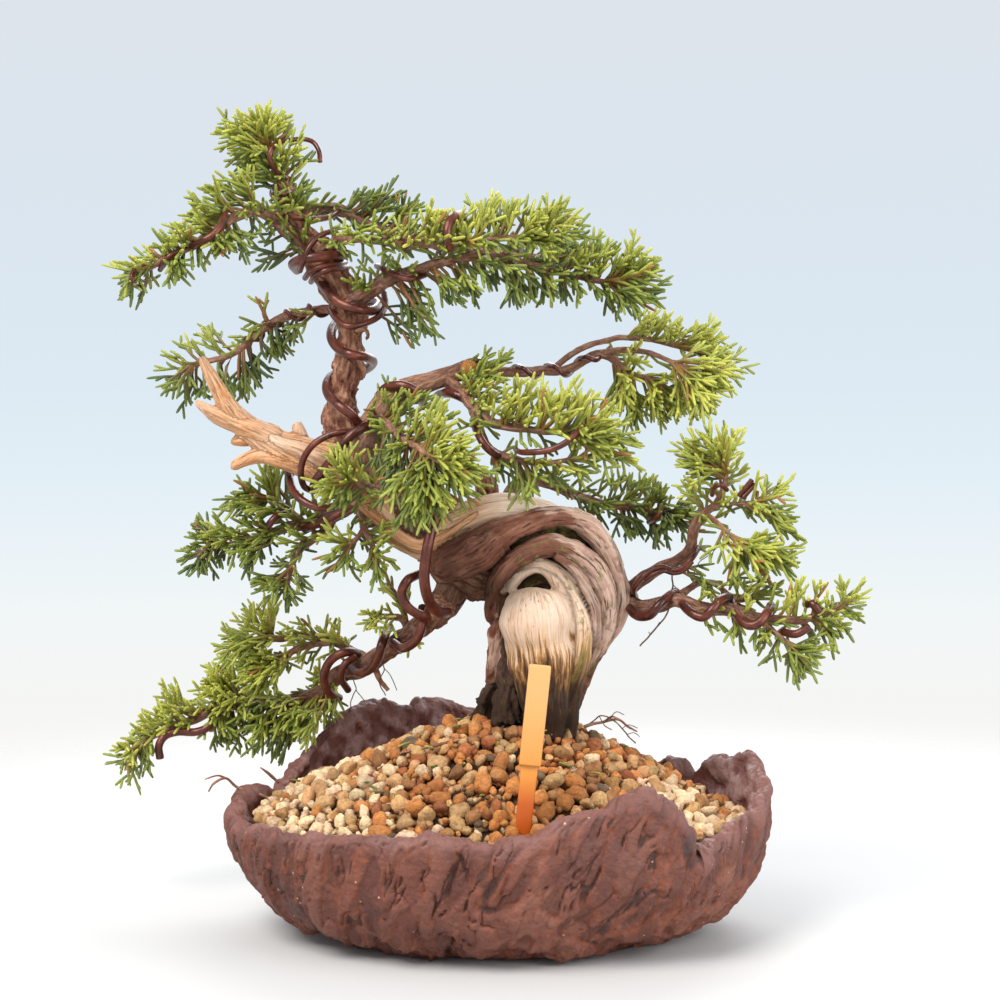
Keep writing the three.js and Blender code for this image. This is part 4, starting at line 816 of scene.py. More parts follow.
@dataclass
class Grit:
    """Loose grains heaped over a bed inside the pot; usual and pale are the odds of each kind of grain."""

    pot: Pot
    peak: float = 63.0
    edge: float = 34.0
    bottom: float = 9.0
    centre: tuple[float, float] = (4.0, 7.0)
    right_share: float = 0.82
    seed: int = 21
    grain_grid: int = 4
    chips: int = 14
    tries: int = 6600
    # each layer's share of the tries, how far its grains stand up, and how close they lie
    layers: tuple = ((1.0, 0.1, 0.42), (0.5, -0.5, 0.4), (1.0, 0.35, 0.5))
    grain_draw: tuple[float, float] = (1.12, 0.28)
    grain_range: tuple[float, float] = (1.9, 5.3)
    crumb_range: tuple[float, float] = (1.2, 2.3)
    trunk_at: tuple[float, float] = (10.0, 3.0)
    trunk_clear: float = 11.0
    wall_share: float = 0.28
    usual: tuple = (0.38, 0.14, 0.27, 0.05, 0.13, 0.03)
    pale: tuple = (0.07, 0.0, 0.32, 0.56, 0.05, 0.0)

    def height(self, x: Array, y: Array) -> Array:
        """The mound's surface over places of the plan."""
        wide = np.where(x > self.centre[0], self.right_share, 1.0) * self.pot.half_width
        far = np.hypot((x - self.centre[0]) / wide, (y - self.centre[1]) / self.pot.half_depth)
        return self.edge + (self.peak - self.edge) * np.maximum(0, 1 - (far / 0.95) ** 1.35)

    def reach(self, angle: Array, height: float) -> Array:
        """The inside radius of the pot at a height."""
        return self.pot.radius(angle, np.full_like(angle, height)) - self.pot.wall

    def inside(self, x: Array, y: Array, margin: float) -> Array:
        """Whether places are inside the wall at the mound's edge, by a margin."""
        return np.hypot(x, y) < self.reach(np.arctan2(y, x), self.edge) - margin

    def bed(self) -> bpy.types.Object:
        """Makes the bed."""
        angle = even_angles(96)
        rim = self.reach(angle, self.edge) + 2
        rows = [ringed(angle, rim * share, 0) for share in np.linspace(0.012, 1, 40)]
        for row in rows:
            row[:, 2] = self.height(row[:, 0], row[:, 1]) - 2.6
        rows.append(ringed(angle, self.reach(angle, self.bottom) - 2, self.bottom))
        rows.append(rows[-1] * (0.02, 0.02, 1))
        places = np.vstack(rows)
        places[:, 2] += 0.7 * Noise(31).layers(places, 4, 2)
        surface = Surface()
        surface.add(places, ring_faces(len(rows), len(angle)))
        return install(surface.build("grit_bed", BedFinish().make()), "soil")

    def scatter(self) -> tuple[Array, Array]:
        """Throws grains on the mound.

        Returns:
            Their places, one a row, and their sizes.
        """
        draw = np.random.default_rng(self.seed)
        kept, sizes = [], []
        for layer, (share, lift, closeness) in enumerate(self.layers):
            tries = int(self.tries * share)
            x = draw.uniform(-self.pot.half_width, self.pot.half_width, tries)
            y = draw.uniform(-self.pot.half_depth, self.pot.half_depth, tries)
            size = np.clip(draw.lognormal(*self.grain_draw, tries), *self.grain_range)
            if layer == 2:
                size = draw.uniform(*self.crumb_range, tries)
            order = np.argsort(-size * draw.uniform(0.6, 1.4, tries)) if layer == 0 else np.arange(tries)
            here = np.empty((0, 2)) if layer < 2 else kept[0][:, :2]
            width = np.empty(0) if layer < 2 else sizes[0]
            before = len(here)
            for i in order:
                if not self.inside(x[i:i + 1], y[i:i + 1], size[i] * self.wall_share)[0]:
                    continue
                spot = np.array([x[i], y[i]])
                if layer == 0 and np.hypot(*(spot - self.trunk_at)) < self.trunk_clear:
                    continue
                if len(here) and (np.linalg.norm(here - spot, axis=1) < closeness * (width + size[i])).any():
                    continue
                here = np.vstack([here, spot])
                width = np.append(width, size[i])
            here, width = here[before:], width[before:]
            z = self.height(here[:, 0], here[:, 1]) + lift * width + draw.normal(0, 0.35, len(width))
            kept.append(np.column_stack([here, z]))
            sizes.append(width)
        return np.vstack(kept), np.concatenate(sizes)

    def colours(self, places: Array, draw: np.random.Generator) -> Array:
        """A colour for each grain: paler towards the left and right edges.

        Args:
            places: the grains.
            draw: the seeded draw.

        Returns:
            Linear colours.
        """
        kinds = list(Grain)
        right = np.exp(-((places[:, 0] - 60) / 15) ** 2 - ((places[:, 1] + 22) / 16) ** 2)
        left = np.exp(-((places[:, 0] + 54) / 24) ** 2)
        share = np.clip(3.6 * right + 0.95 * left, 0, 0.98)[:, None]
        odds = np.cumsum(np.array(self.usual) * (1 - share) + np.array(self.pale) * share, axis=1)
        pick = (draw.random(len(places))[:, None] > odds / odds[:, -1:]).sum(1)
        colour = np.array([kind.value[:3] for kind in kinds])[np.minimum(pick, len(kinds) - 1)]
        count = len(places)
        return colour * draw.uniform(0.72, 1.16, (count, 1)) * draw.uniform(0.95, 1.05, (count, 3))

    def ball(self) -> tuple[Array, Array]:
        """A unit ball of square patches.

        Returns:
            Its points, and its faces.
        """
        n = self.grain_grid
        line = np.tan(np.linspace(-math.pi / 4, math.pi / 4, n + 1))
        points, faces, seen = [], [], {}
        for axis in range(3):
            for sign in (-1, 1):
                number = np.empty((n + 1, n + 1), int)
                for i, u in enumerate(line):
                    for j, v in enumerate(line):
                        p = np.zeros(3)
                        p[axis], p[(axis + 1) % 3], p[(axis + 2) % 3] = sign, u * sign, v
                        key = tuple(np.round(p, 5) + 0.0)
                        if key not in seen:
                            seen[key] = len(points)
                            points.append(p / np.linalg.norm(p))
                        number[i, j] = seen[key]
                faces += [number[i:i + 2, j:j + 2].ravel()[[0, 2, 3, 1]] for i in range(n) for j in range(n)]
        return np.array(points), np.array(faces)

    def grains(self) -> bpy.types.Object:
        """Makes the loose grains."""
        draw = np.random.default_rng(self.seed + 1)
        places, sizes = self.scatter()
        ball, faces = self.ball()
        count = len(places)
        turn = draw.normal(size=(count, 4))
        turn /= np.linalg.norm(turn, axis=1)[:, None]
        w, x, y, z = turn.T
        rotate = np.stack([1 - 2 * (y * y + z * z), 2 * (x * y - z * w), 2 * (x * z + y * w),
                           2 * (x * y + z * w), 1 - 2 * (x * x + z * z), 2 * (y * z - x * w),
                           2 * (x * z - y * w), 2 * (y * z + x * w), 1 - 2 * (x * x + y * y)],
                          1).reshape(count, 3, 3)
        shape = ball * draw.uniform((0.95, 0.74, 0.6), (1.2, 1.0, 0.86), (count, 3))[:, None]
        own = shape.reshape(-1, 3) + np.repeat(draw.uniform(0, 90, (count, 3)), len(ball), 0)
        lump = 1 + 0.13 * Noise(33).at(own, 0.8) + 0.1 * Noise(34).at(own, 0.35)
        planes = draw.normal(size=(count, self.chips, 3))
        planes /= np.linalg.norm(planes, axis=2, keepdims=True)
        toward = np.einsum("nkc,bc->nbk", planes, ball)
        chip = (draw.uniform(0.68, 1.0, (count, 1, self.chips)) / np.maximum(toward, 0.2)).min(2)
        shape = shape * (np.minimum(chip, 1.12) * lump.reshape(count, -1))[..., None] * 1.22
        shape = np.einsum("nij,nkj->nki", rotate, shape) * (sizes / 2)[:, None, None] + places[:, None]
        colour = np.column_stack([self.colours(places, draw), np.ones(count)])
        surface = Surface()
        every = (faces[None] + (np.arange(count) * len(ball))[:, None, None]).reshape(-1, 4)
        surface.add(shape.reshape(-1, 3), [every], grain_colour=np.repeat(colour, len(ball), 0))
        return install(surface.build("loose_grit", GritFinish().make()), "soil", "soil")

    def build(self) -> None:
        """Makes the bed and the grains."""
        self.bed()
        self.grains()


# ---- the tree's tables: rows of x, y, z and, for branches, radius ---------------------------------
BRANCHES: dict[str, list[list[tuple]]] = {
    "branch_top_left": [
        [(-58, 4, 203.8, 2.4), (-60.8, 2, 206.3, 2.4), (-64.4, -1, 209.5, 2.2), (-67.8, -5, 212.1, 2.1),
         (-70.8, -9, 213.3, 1.8), (-75.9, -15, 211.2, 1.5), (-80.4, -20, 207.2, 1.3),
         (-84.8, -23, 202.8, 1.2), (-90.4, -24, 199.8, 1), (-96, -25, 196.8, 0.9),
         (-101.5, -26, 193.5, 0.7), (-105.8, -26, 190.3, 0.6)],
    ],
    "branch_top_right": [
        [(-46.8, 3, 186.8, 2.7), (-42.7, 1, 188.7, 2.6), (-38.3, -2, 190.8, 2.4), (-33.9, -5, 193.4, 2.3),
         (-29.6, -8, 194.5, 2.1), (-25.3, -11, 195.3, 1.8), (-20.5, -13, 196.6, 1.5),
         (-14.6, -15, 198.1, 1.3), (-5.8, -15, 199.2, 1.2), (5.9, -13, 197.7, 1.1), (17.6, -11, 195, 0.9),
         (29.5, -9, 192.6, 0.8), (37.8, -8, 191.6, 0.6)],
        [(-53.4, 0, 202.4, 2.1), (-49.1, -5, 204.4, 1.8), (-44.2, -10, 205.2, 1.6),
         (-37.4, -14, 204.3, 1.5), (-29.1, -17, 203, 1.3), (-17.4, -19, 201.9, 1.2), (-5.8, -19, 203.3, 1),
         (4.4, -17, 204.2, 0.9), (14.6, -15, 203.9, 0.7)],
    ],
    "branch_top_back": [
        [(-59.7, 6, 206.8, 2.4), (-60.5, 10, 211.7, 2.3), (-58.9, 13, 215.8, 2.1), (-55.4, 14, 217.2, 2.1),
         (-50.2, 15, 217.4, 1.9), (-45.7, 16, 215.7, 1.7), (-39.6, 17, 212.7, 1.5), (-31, 18, 209.8, 1.4),
         (-18.6, 18, 207, 1.2), (-6.2, 17, 205.3, 1.1), (6.2, 15, 203.8, 0.9), (18.4, 13, 201.1, 0.7)],
    ],
    "branch_upper_left": [
        [(-48.1, 5, 185.8, 1.55), (-53.3, 8, 186.1, 1.41), (-59.6, 10, 185.4, 1.33),
         (-64.4, 12, 184.4, 1.33), (-68.8, 13, 183, 1.26), (-72.9, 14, 180.3, 1.18), (-77, 15, 177, 1.11),
         (-80.7, 15, 174.2, 1.04), (-84.7, 15, 172.1, 0.96), (-89.4, 15, 170.8, 0.81),
         (-94, 15, 169.9, 0.67), (-98.6, 15, 167.4, 0.52)],
        [(-71.2, 13, 182.3, 0.81), (-72.3, 12, 185.9, 0.67), (-70.8, 12, 189.3, 0.37)],
    ],
    "branch_centre": [
        [(-38.7, 4, 135.9, 5.7), (-40, 2, 142.5, 5.7), (-38.3, -1, 148.4, 4.8), (-35.8, -3, 154.6, 4),
         (-31.9, -3, 159, 3.7), (-26.9, -3, 161.4, 3.3), (-20.9, -2, 163.3, 3), (-15, 0, 165.5, 2.8),
         (-11.1, -1, 166.9, 2.6), (-8.9, -4, 167.3, 2.5)],
        [(-13.2, 1, 166.2, 1.8), (-9, 3, 169, 1.6), (-5.4, 4, 168.2, 1.6), (-1.5, 5, 167, 1.5),
         (3.6, 6, 166.8, 1.5), (9.1, 7, 166.9, 1.5), (13.7, 8, 167.3, 1.5), (18.3, 9, 167.3, 1.4),
         (22.9, 10, 168.9, 1.4), (26.9, 10, 171.1, 1.4), (30.5, 10, 172.6, 1.4), (34.2, 10, 171.4, 1.3),
         (37.2, 9, 168.2, 1.2), (41.1, 8, 166, 1), (45.6, 7, 164.8, 0.9), (50.9, 6, 163.8, 0.7)],
        [(15.9, 9, 167.3, 1), (19, 11, 170.5, 1), (23, 13, 173.4, 1), (27.7, 15, 175.8, 0.9),
         (32.5, 17, 177.2, 0.9), (37.8, 18, 178.2, 0.9), (44.1, 19, 178, 0.8), (51.2, 19, 176.7, 0.7),
         (60.4, 18, 173.8, 0.6)],
        [(30.5, 10, 172.6, 1.2), (35.3, 8, 173.6, 1), (40, 6, 173.5, 1), (45.2, 3, 172.3, 0.8),
         (51.7, 1, 169.5, 0.7), (58.5, 0, 166.4, 0.5)],
    ],
    "branch_front": [
        [(-36.7, -3, 152.8, 1.8), (-32.9, -12, 150, 1.5), (-27.3, -24, 145.2, 1.2),
         (-21.1, -34, 141.5, 0.9), (-16.7, -40, 138.6, 0.6)],
    ],
    "branch_centre_low": [
        [(-16.2, 0, 164, 2.1), (-12.5, -5, 160.7, 1.8), (-8.8, -11, 156.5, 1.6), (-4.1, -17, 151.8, 1.5),
         (1.4, -22, 149.3, 1.3), (8.6, -25, 148.1, 1.1), (16, -27, 147.4, 0.9), (25.7, -27, 146.3, 0.7)],
        [(-8.8, -11, 156.2, 1.3), (-6.7, -14, 151.4, 1.3), (-5, -14, 146.1, 1.3), (-1.8, -15, 142, 1.2),
         (3.5, -18, 140.2, 1), (11.5, -22, 138.4, 0.8), (21.5, -25, 140, 0.6)],
    ],
    "branch_behind": [
        [(0.9, 4, 126.2, 2.3), (3.6, 7, 131, 2.1), (7.3, 10, 133.8, 1.9), (12.3, 13, 133.8, 1.8),
         (18.5, 16, 131.7, 1.6), (24.8, 19, 128.9, 1.5), (31.1, 21, 127.1, 1.3), (39.1, 23, 125.8, 1.1),
         (47.6, 24, 124.6, 0.9), (56.3, 24, 124.2, 0.7)],
    ],
    "branch_left": [
        [(-43.2, 8, 128.9, 3), (-47, 10, 125.9, 2.6), (-51.8, 12, 123.1, 2.3), (-56.9, 14, 120.9, 2),
         (-61.7, 16, 120, 1.9), (-66.5, 17, 119.3, 1.6), (-71.9, 18, 117.2, 1.5), (-77.7, 20, 115.3, 1.3),
         (-83.6, 22, 114, 1.1), (-90.8, 24, 112.7, 0.9), (-95.3, 25, 110.4, 0.6)],
        [(-51.8, 12, 122.2, 1.7), (-53.6, 12, 118.5, 1.5), (-57.9, 12, 115.7, 1.4), (-61.6, 12, 113.3, 1.3),
         (-63.1, 12, 109.6, 1.1), (-64.8, 13, 105, 0.9), (-65.7, 13, 100.4, 0.6)],
        [(-61.6, 15, 121.2, 1.2), (-65.5, 17, 124.9, 1.1), (-70.7, 19, 128, 0.9), (-77.2, 21, 130.2, 0.7)],
    ],
    "twig_under_arm": [
        [(-44, 3, 128, 1.4), (-42, 0, 123.5, 1.1), (-40.2, -4, 119.1, 1), (-37.9, -7, 114.7, 0.8),
         (-35.7, -9, 110.3, 0.6)],
        [(-40.6, -3, 119.6, 0.8), (-43.1, -5, 116.1, 0.7), (-46.5, -7, 114.4, 0.6)],
    ],
    "twig_front": [
        [(-34.9, -3, 131, 1.5), (-38.2, -11, 131.8, 1.2), (-42.2, -16, 133, 0.9), (-46.4, -19, 134.7, 0.6)],
    ],
    "branch_low_left": [
        [(-15.5, -2, 97.5, 4.2), (-18.7, 2, 94.6, 3.9), (-21.8, 6, 91.9, 3.6), (-25, 10, 88.6, 3.5),
         (-29, 15, 85.5, 3.2), (-33.6, 20, 82.3, 3), (-38.2, 25, 78.5, 2.9), (-43.6, 30, 75.2, 2.9),
         (-49, 34, 73.6, 2.9), (-53.8, 37, 70.4, 2.8), (-57.6, 40, 66.2, 2.6), (-63.4, 43, 63.7, 2.3),
         (-69.7, 45, 62.8, 2.1), (-76.3, 46, 63, 1.9), (-84.5, 46, 63, 1.8), (-90.8, 45, 62.2, 1.6),
         (-95.8, 44, 58.7, 1.6), (-100.9, 43, 56.2, 1.5), (-106.5, 42, 54.4, 1.4), (-111.3, 40, 52.4, 1.2),
         (-115.6, 39, 49.3, 1), (-119.9, 38, 45.6, 0.7)],
        [(-28, 14.2, 87.4, 1.4), (-29, 14, 90.2, 1.3), (-30.6, 13.8, 91.8, 1.2), (-33.2, 13, 92.1, 1),
         (-36.8, 12, 92.4, 0.9), (-39.2, 12, 91.8, 0.6)],
        [(-29, 13.6, 90.6, 1), (-29.6, 12.4, 94, 0.9), (-31.8, 10, 98.7, 0.8), (-34.1, 9, 102.4, 0.5)],
        [(-39.6, 26, 76.5, 1.1), (-38.1, 27, 72, 0.9), (-35.3, 28, 68.1, 0.6)],
    ],
    "branch_low_left_spur": [
        [(-41.7, 30, 77.4, 1.6), (-47, 32, 80.1, 1.5), (-52.2, 34, 82.5, 1.3), (-57.8, 36, 82.3, 1.2),
         (-63.8, 38, 80.6, 1.1), (-68.8, 40, 78.1, 1), (-74.1, 41, 74.8, 0.8)],
        [(-52.9, 34, 82.5, 1.1), (-57.5, 36, 84.2, 1), (-62.5, 38, 85.4, 0.9), (-67.5, 40, 83.6, 0.8),
         (-73.1, 41, 83.2, 0.7), (-76.7, 41, 87.1, 0.5)],
    ],
    "branch_right": [
        [(38.7, 5, 100.8, 2), (43.8, 4, 104.7, 1.92), (48.3, 3, 107.5, 1.84), (52.7, 2, 109.3, 1.76),
         (55.9, 1, 111.5, 1.68), (57.3, 0, 114.5, 1.6), (58, -2, 119, 1.52), (59.4, -3, 122.6, 1.44),
         (61.5, -5, 124.7, 1.2), (64.1, -6, 127.1, 0.96), (65.8, -7, 131, 0.88), (66.9, -7, 136, 0.72),
         (65.8, -7, 141.3, 0.56)],
        [(60.8, -4, 124.1, 0.8), (63.3, -8, 122.1, 0.72), (65.9, -11, 119.5, 0.64),
         (68.6, -13, 116.3, 0.56), (72.5, -14, 113.4, 0.48)],
        [(62.9, -6, 125.9, 0.72), (67.3, -9, 126.8, 0.64), (72.9, -11, 127.1, 0.56), (78.7, -12, 128, 0.4)],
    ],
    "branch_low_right": [
        [(38.6, 3, 96.9, 2.5), (42, 0, 95.9, 2.3), (46.2, -3, 96.4, 2.2), (49.9, -6, 97.7, 2.1),
         (53.4, -9, 98.2, 2.1), (57.3, -11, 96.8, 2.1), (61.6, -12, 96, 1.9), (65.9, -13, 96.1, 1.8),
         (70.2, -14, 95, 1.8), (75.3, -15, 93.6, 1.6), (80.4, -16, 93, 1.5), (86.1, -17, 93.1, 1.3),
         (91.9, -17, 94.3, 1), (97.7, -17, 96.3, 0.8), (102.6, -16, 98.9, 0.6)],
        [(51.1, -5, 98.3, 1.2), (54.7, -2, 100.2, 1.1), (59.1, 0, 102.8, 1), (63.6, 0, 103.1, 0.9),
         (67, -2, 100.8, 0.8), (70, -6, 98.3, 0.7), (74.2, -10, 98.5, 0.6)],
        [(76.5, -15, 93, 1), (79, -18, 90.3, 0.9), (82.3, -19, 87.4, 0.7), (85.2, -19, 84, 0.5)],
    ],
}
WIRES: dict[str, list[tuple[float, list[tuple]]]] = {
    "wire_leader": [
        (1.45, [(-54.6, 12, 198.2), (-54.2, 5, 194), (-51.4, -2, 190.2), (-47.5, -6, 186.5),
                (-42.7, -7, 184.6), (-38.2, -3, 184.4), (-36.6, 5, 187), (-39.3, 13, 188.8),
                (-44.9, 18, 186.2), (-49.3, 15, 183.5), (-51.1, 8, 180), (-50.5, 1, 176.1),
                (-47.7, -4, 172.7), (-43.8, -7, 171), (-40.2, -4, 170.6), (-38.4, 4, 169.7),
                (-41.1, 12, 168.1), (-46.2, 15, 167.1), (-50.5, 11, 166.5), (-52.3, 4, 163.1),
                (-51.1, -2, 159.1), (-47.4, -7, 155.8), (-43.8, -7, 152.9), (-41.5, -3, 149.5),
                (-41.2, 5, 146.5)]),
    ],
    "wire_leader_top": [
        (1.5, [(-52.2, 13, 206.9), (-48.4, 8, 205), (-47.2, 1, 201.6), (-49.6, -5, 200.8),
               (-53.8, -8, 199.8), (-58.4, -7, 199.4), (-62.1, 0, 198.8), (-61.8, 8, 198)]),
        (0.9, [(-46.9, 5, 200), (-48.3, -3, 198.4), (-52.1, -7, 197.3), (-56.1, -6, 196),
               (-58.6, 1, 194.7)]),
        (0.9, [(-46, 5, 198.5), (-47.8, -2, 197.3), (-50.9, -7, 196.1), (-54.7, -5, 194.9),
               (-57, 3, 193.8)]),
        (0.85, [(-59.8, -2, 196.5), (-58.2, -8, 198.4), (-56.7, -9, 201.8), (-54.7, -8, 204.9),
                (-51.9, -6, 207.2), (-49.6, -2, 208.1), (-48.3, 4, 207.5)]),
        (0.95, [(-67.4, 2, 217.1), (-64.7, -3, 213.9), (-61.1, -4, 212.3), (-56.9, -1, 212.1),
                (-52.9, 4, 213.2), (-50.5, 11, 215.5), (-49.7, 16, 218.1)]),
        (0.75, [(-64, -2, 224), (-66.2, -6, 225.6), (-67.9, -9, 228.3), (-67.3, -9, 231.6),
                (-65.3, -6, 234.2), (-62.5, -2, 235.6), (-59.1, 0, 236.3), (-56.2, 1, 235.6),
                (-54.3, 0, 232.7), (-54, 0, 229.4)]),
        (0.9, [(-62.7, 3, 217.3), (-64.5, -5, 216.9), (-67.3, -4, 218.2), (-68.6, 4, 221.4),
               (-65.9, 9, 223.4), (-62.4, 3, 221.2), (-64.2, -5, 219), (-67.1, -3, 220.5),
               (-67.8, 5, 223.7)]),
    ],
    "wire_jin": [
        (1, [(-40.5, 8, 147.2), (-41.8, -2, 148.6), (-45.8, -8, 148.1), (-50.2, -9, 147.2),
             (-54.9, -9, 144.5), (-58, -8, 140.4), (-59.2, -5, 136), (-58.8, 0, 132.2), (-57.2, 8, 130.7)]),
        (1.45, [(-30.8, 9, 156), (-34.1, -2, 152.8), (-38.7, -9, 150.1), (-43.1, -12, 147.4),
                (-46.4, -12, 143.8), (-49.1, -11, 140.4), (-52, -8, 136.9), (-54.9, -3, 133.7),
                (-56.6, 5, 131)]),
        (1.2, [(-65.7, 13, 139.7), (-63.9, 5, 135), (-62.1, 0, 131), (-58.7, -4, 127.7), (-53.5, -5, 125.6),
               (-48.7, -2, 126.5), (-45.7, 5, 129.2)]),
    ],
    "wire_centre": [
        (1.45, [(-37, 11, 154.6), (-36.9, 4, 158.2), (-34.3, -4, 161.1), (-30.5, -8, 162),
                (-26.6, -9, 161.1), (-24, -6, 158.9), (-22.9, 3, 156.4)]),
        (1.45, [(-20.2, 10, 157.3), (-18.4, 4, 159.7), (-14.9, -5, 159.8), (-10.9, -8, 158.2),
                (-7.7, -7, 155.8), (-6.3, 0, 153.5)]),
        (0.8, [(-10.4, 10, 165.6), (-9.5, 12, 169.1), (-7.9, 5, 170.4), (-5.4, -1, 169.3),
               (-2.4, -1, 166.6), (0, 5, 164.9), (2.5, 12, 167.2), (4.9, 8, 168.8), (7.2, 0, 167.3),
               (10.3, 3, 165.1), (12.6, 13, 167), (14.4, 12, 169.4), (16.6, 3, 168.1), (19.7, 5, 165.8),
               (22.2, 15, 167.7), (23.6, 13, 170.7), (25.7, 4, 171.2), (29.1, 5, 170.4),
               (31.7, 15, 173.3)]),
    ],
    "wire_centre_low": [
        (1.15, [(-8, -6, 151.7), (-6.4, -18, 147.2), (-4, -21, 143.3), (-0.6, -17, 140.8),
                (1.5, -10, 141)]),
        (0.9, [(4.6, -20, 142.7), (6.2, -30, 141.6), (10.1, -34, 141.5), (14.1, -35, 142.1),
               (18.3, -35, 144), (21.4, -34, 146.6), (23.6, -29, 149)]),
    ],
    "wire_top_left": [
        (1.05, [(-79.7, -19, 212), (-79.2, -26, 207.5), (-81.3, -29, 203.6), (-84.7, -29, 201.6),
                (-88.5, -25, 200.8)]),
        (0.75, [(-89.9, -22, 201.2), (-90.9, -28, 199.2), (-93.4, -30, 197.5), (-95.8, -29, 195.7),
                (-97.4, -25, 193.9)]),
        (0.75, [(-104, -25, 195), (-104.4, -30, 191.9), (-103.9, -30, 189.3), (-102.1, -26, 188.3)]),
    ],
    "wire_top_right": [
        (0.95, [(-35.3, 8, 191), (-34.7, 4, 186.6), (-36.4, -3, 182.6), (-40.6, -7, 180.1),
                (-45.2, -8, 179.4), (-48.8, -4, 181.9), (-51.4, 4, 185.7)]),
        (0.95, [(-37, 1, 198.3), (-34.2, -9, 196.2), (-30.1, -14, 193.5), (-26, -15, 192.5),
                (-22.1, -11, 194.2)]),
        (1.2, [(-22.2, -15, 206.8), (-25, -24, 202.9), (-27.6, -23, 200.8)]),
        (1.35, [(-10.5, -14, 211.6), (-13.3, -22, 209.5), (-14.9, -25, 206.2), (-15.2, -25, 203.1),
                (-14.7, -22, 200.3)]),
    ],
    "wire_upper_left": [
        (0.6, [(-50.1, 3.8, 185.1), (-50.9, 4.8, 187.3), (-51, 7.1, 188), (-51.4, 9.1, 186.7),
               (-52.8, 9.5, 184.8), (-54.6, 8.1, 184), (-56.4, 7, 185), (-57.7, 7.7, 186.9),
               (-58.4, 9.9, 187.5), (-59, 11.7, 186.2), (-59.8, 11.8, 184.1), (-61.5, 10.6, 183),
               (-63.5, 9.7, 183.9), (-64.9, 10.4, 185.5), (-65.8, 12.5, 186), (-66.3, 14.2, 184.5),
               (-67, 14.2, 182.3), (-68.1, 12.7, 181.3), (-69.8, 11.6, 181.6), (-71.7, 12.1, 182.4),
               (-72.8, 14, 182.5), (-73.1, 15.7, 181), (-73, 15.6, 178.8), (-73.8, 14.2, 177.3),
               (-75.7, 13.1, 177.2), (-77.6, 13.6, 177.9), (-78.8, 15.3, 177.7), (-79.2, 16.6, 176.1)]),
    ],
    "wire_left": [
        (1.2, [(-42.6, 0, 128), (-46.8, 4, 125), (-50.9, 5, 122.6), (-55.4, 8, 120.7), (-60.2, 13, 119.1)]),
        (1.15, [(-64.9, 17, 124.6), (-67.8, 10, 123.4), (-70.7, 9, 120.1), (-73.6, 12, 116.4),
                (-77.6, 17, 113.5)]),
        (0.9, [(-88.1, 19, 116.8), (-90, 17, 114.4), (-91.4, 20, 110.6)]),
    ],
    "wire_low_left_inner": [
        (1.45, [(-24.3, 1, 105.8), (-27.4, -4, 104.2), (-29.2, -4, 100.6), (-28, -3, 96.7),
                (-24.5, -2, 93.9), (-20.4, 1, 93.1), (-18, 9, 93.9)]),
        (1.45, [(-23.3, 4, 95.7), (-23.4, 0, 90.5), (-25.2, 1, 85.9), (-29.1, 5, 83.2), (-32.5, 13, 84.1)]),
        (1.45, [(-34.8, 19, 88.3), (-36.1, 11, 84.2), (-37.4, 12, 79.6), (-40.2, 17, 75.7),
                (-44.4, 24, 73.9), (-48.1, 34, 75.5)]),
    ],
    "wire_low_left_outer": [
        (1.4, [(-43.8, 37, 77.8), (-46.5, 26, 80.3), (-50.7, 24, 79.5), (-54, 26, 76.5), (-55.5, 28, 71.9),
               (-54.3, 32, 67.1), (-51.9, 41, 64.2)]),
        (1.15, [(-45.5, 25, 78.8), (-48.7, 23, 76.4), (-49.8, 25, 72.2), (-48.2, 32, 67.7)]),
        (1.3, [(-56.6, 47, 62.3), (-58.3, 38, 61.3), (-63, 37, 60.8), (-69.1, 40, 60.8), (-74.3, 43, 61.4),
               (-77.8, 50, 63.6)]),
        (1.3, [(-90.6, 50, 61), (-91.5, 41, 58.4), (-93.6, 38, 55.2), (-97.8, 38, 53.6), (-103, 37, 53.8),
               (-107, 36, 52.6), (-108.8, 35, 49.5), (-108.4, 35, 45.7)]),
    ],
    "wire_low_right": [
        (1.4, [(40.2, 8, 98.2), (39, 0, 95.6), (40.9, -7, 93.6), (44.1, -11, 94.2), (46.7, -12, 97.2),
               (49.6, -9, 99.4), (52.6, -2, 100.5)]),
        (1.4, [(54.5, -1, 99.6), (53.8, -11, 97.4), (55.8, -17, 95.1), (58.8, -19, 94.1), (61.6, -20, 96.5),
               (64, -17, 98.9), (67.6, -9, 99.4)]),
        (1.4, [(68.9, -8, 97.5), (69.2, -17, 94), (71.6, -21, 91.9), (74.6, -22, 92.6), (77.2, -20, 95.3),
               (79.5, -12, 96.9)]),
        (1.2, [(82.1, -18, 89.7), (85.3, -22, 89.4), (89, -22, 91.4)]),
        (1.3, [(88.7, -19, 97.9), (90, -23, 98.1), (91.7, -23, 95.8)]),
    ],
    "wire_right": [
        (0.85, [(41.2, 6, 98.6), (39.9, -4, 101.5), (42.1, -6, 104.9), (45.1, -6, 107.2), (48.1, -6, 108.1),
                (51, -6, 107.2), (53.9, -7, 107.9), (56.9, -7, 110.8), (59.6, -1, 113.9)]),
        (0.7, [(43, -6, 104.3), (45.6, -7, 106.1), (48.6, -7, 107), (51.3, -6, 106.3), (54.2, -7, 107),
               (56.8, -8, 109.7)]),
        (0.7, [(62.6, -9, 129.5), (62.6, -14, 131.5), (64.4, -16, 132.4), (66.4, -14, 130.9)]),
        (0.75, [(70.1, -12, 129.2), (73.8, -13, 133.9)]),
        (0.75, [(71.3, -12, 128.6), (74.8, -12, 132.7)]),
    ],
    "wire_behind": [
        (0.9, [(49.9, 22, 128), (49.9, 18, 125.5), (48.6, 18, 122.7), (46.6, 24, 121.1)]),
    ],
    "wire_arm_loop": [
        (1.6, [(-13.2, 0, 128), (-15.9, -9, 126.2), (-18.7, -15, 122.5), (-20.6, -18, 116.4),
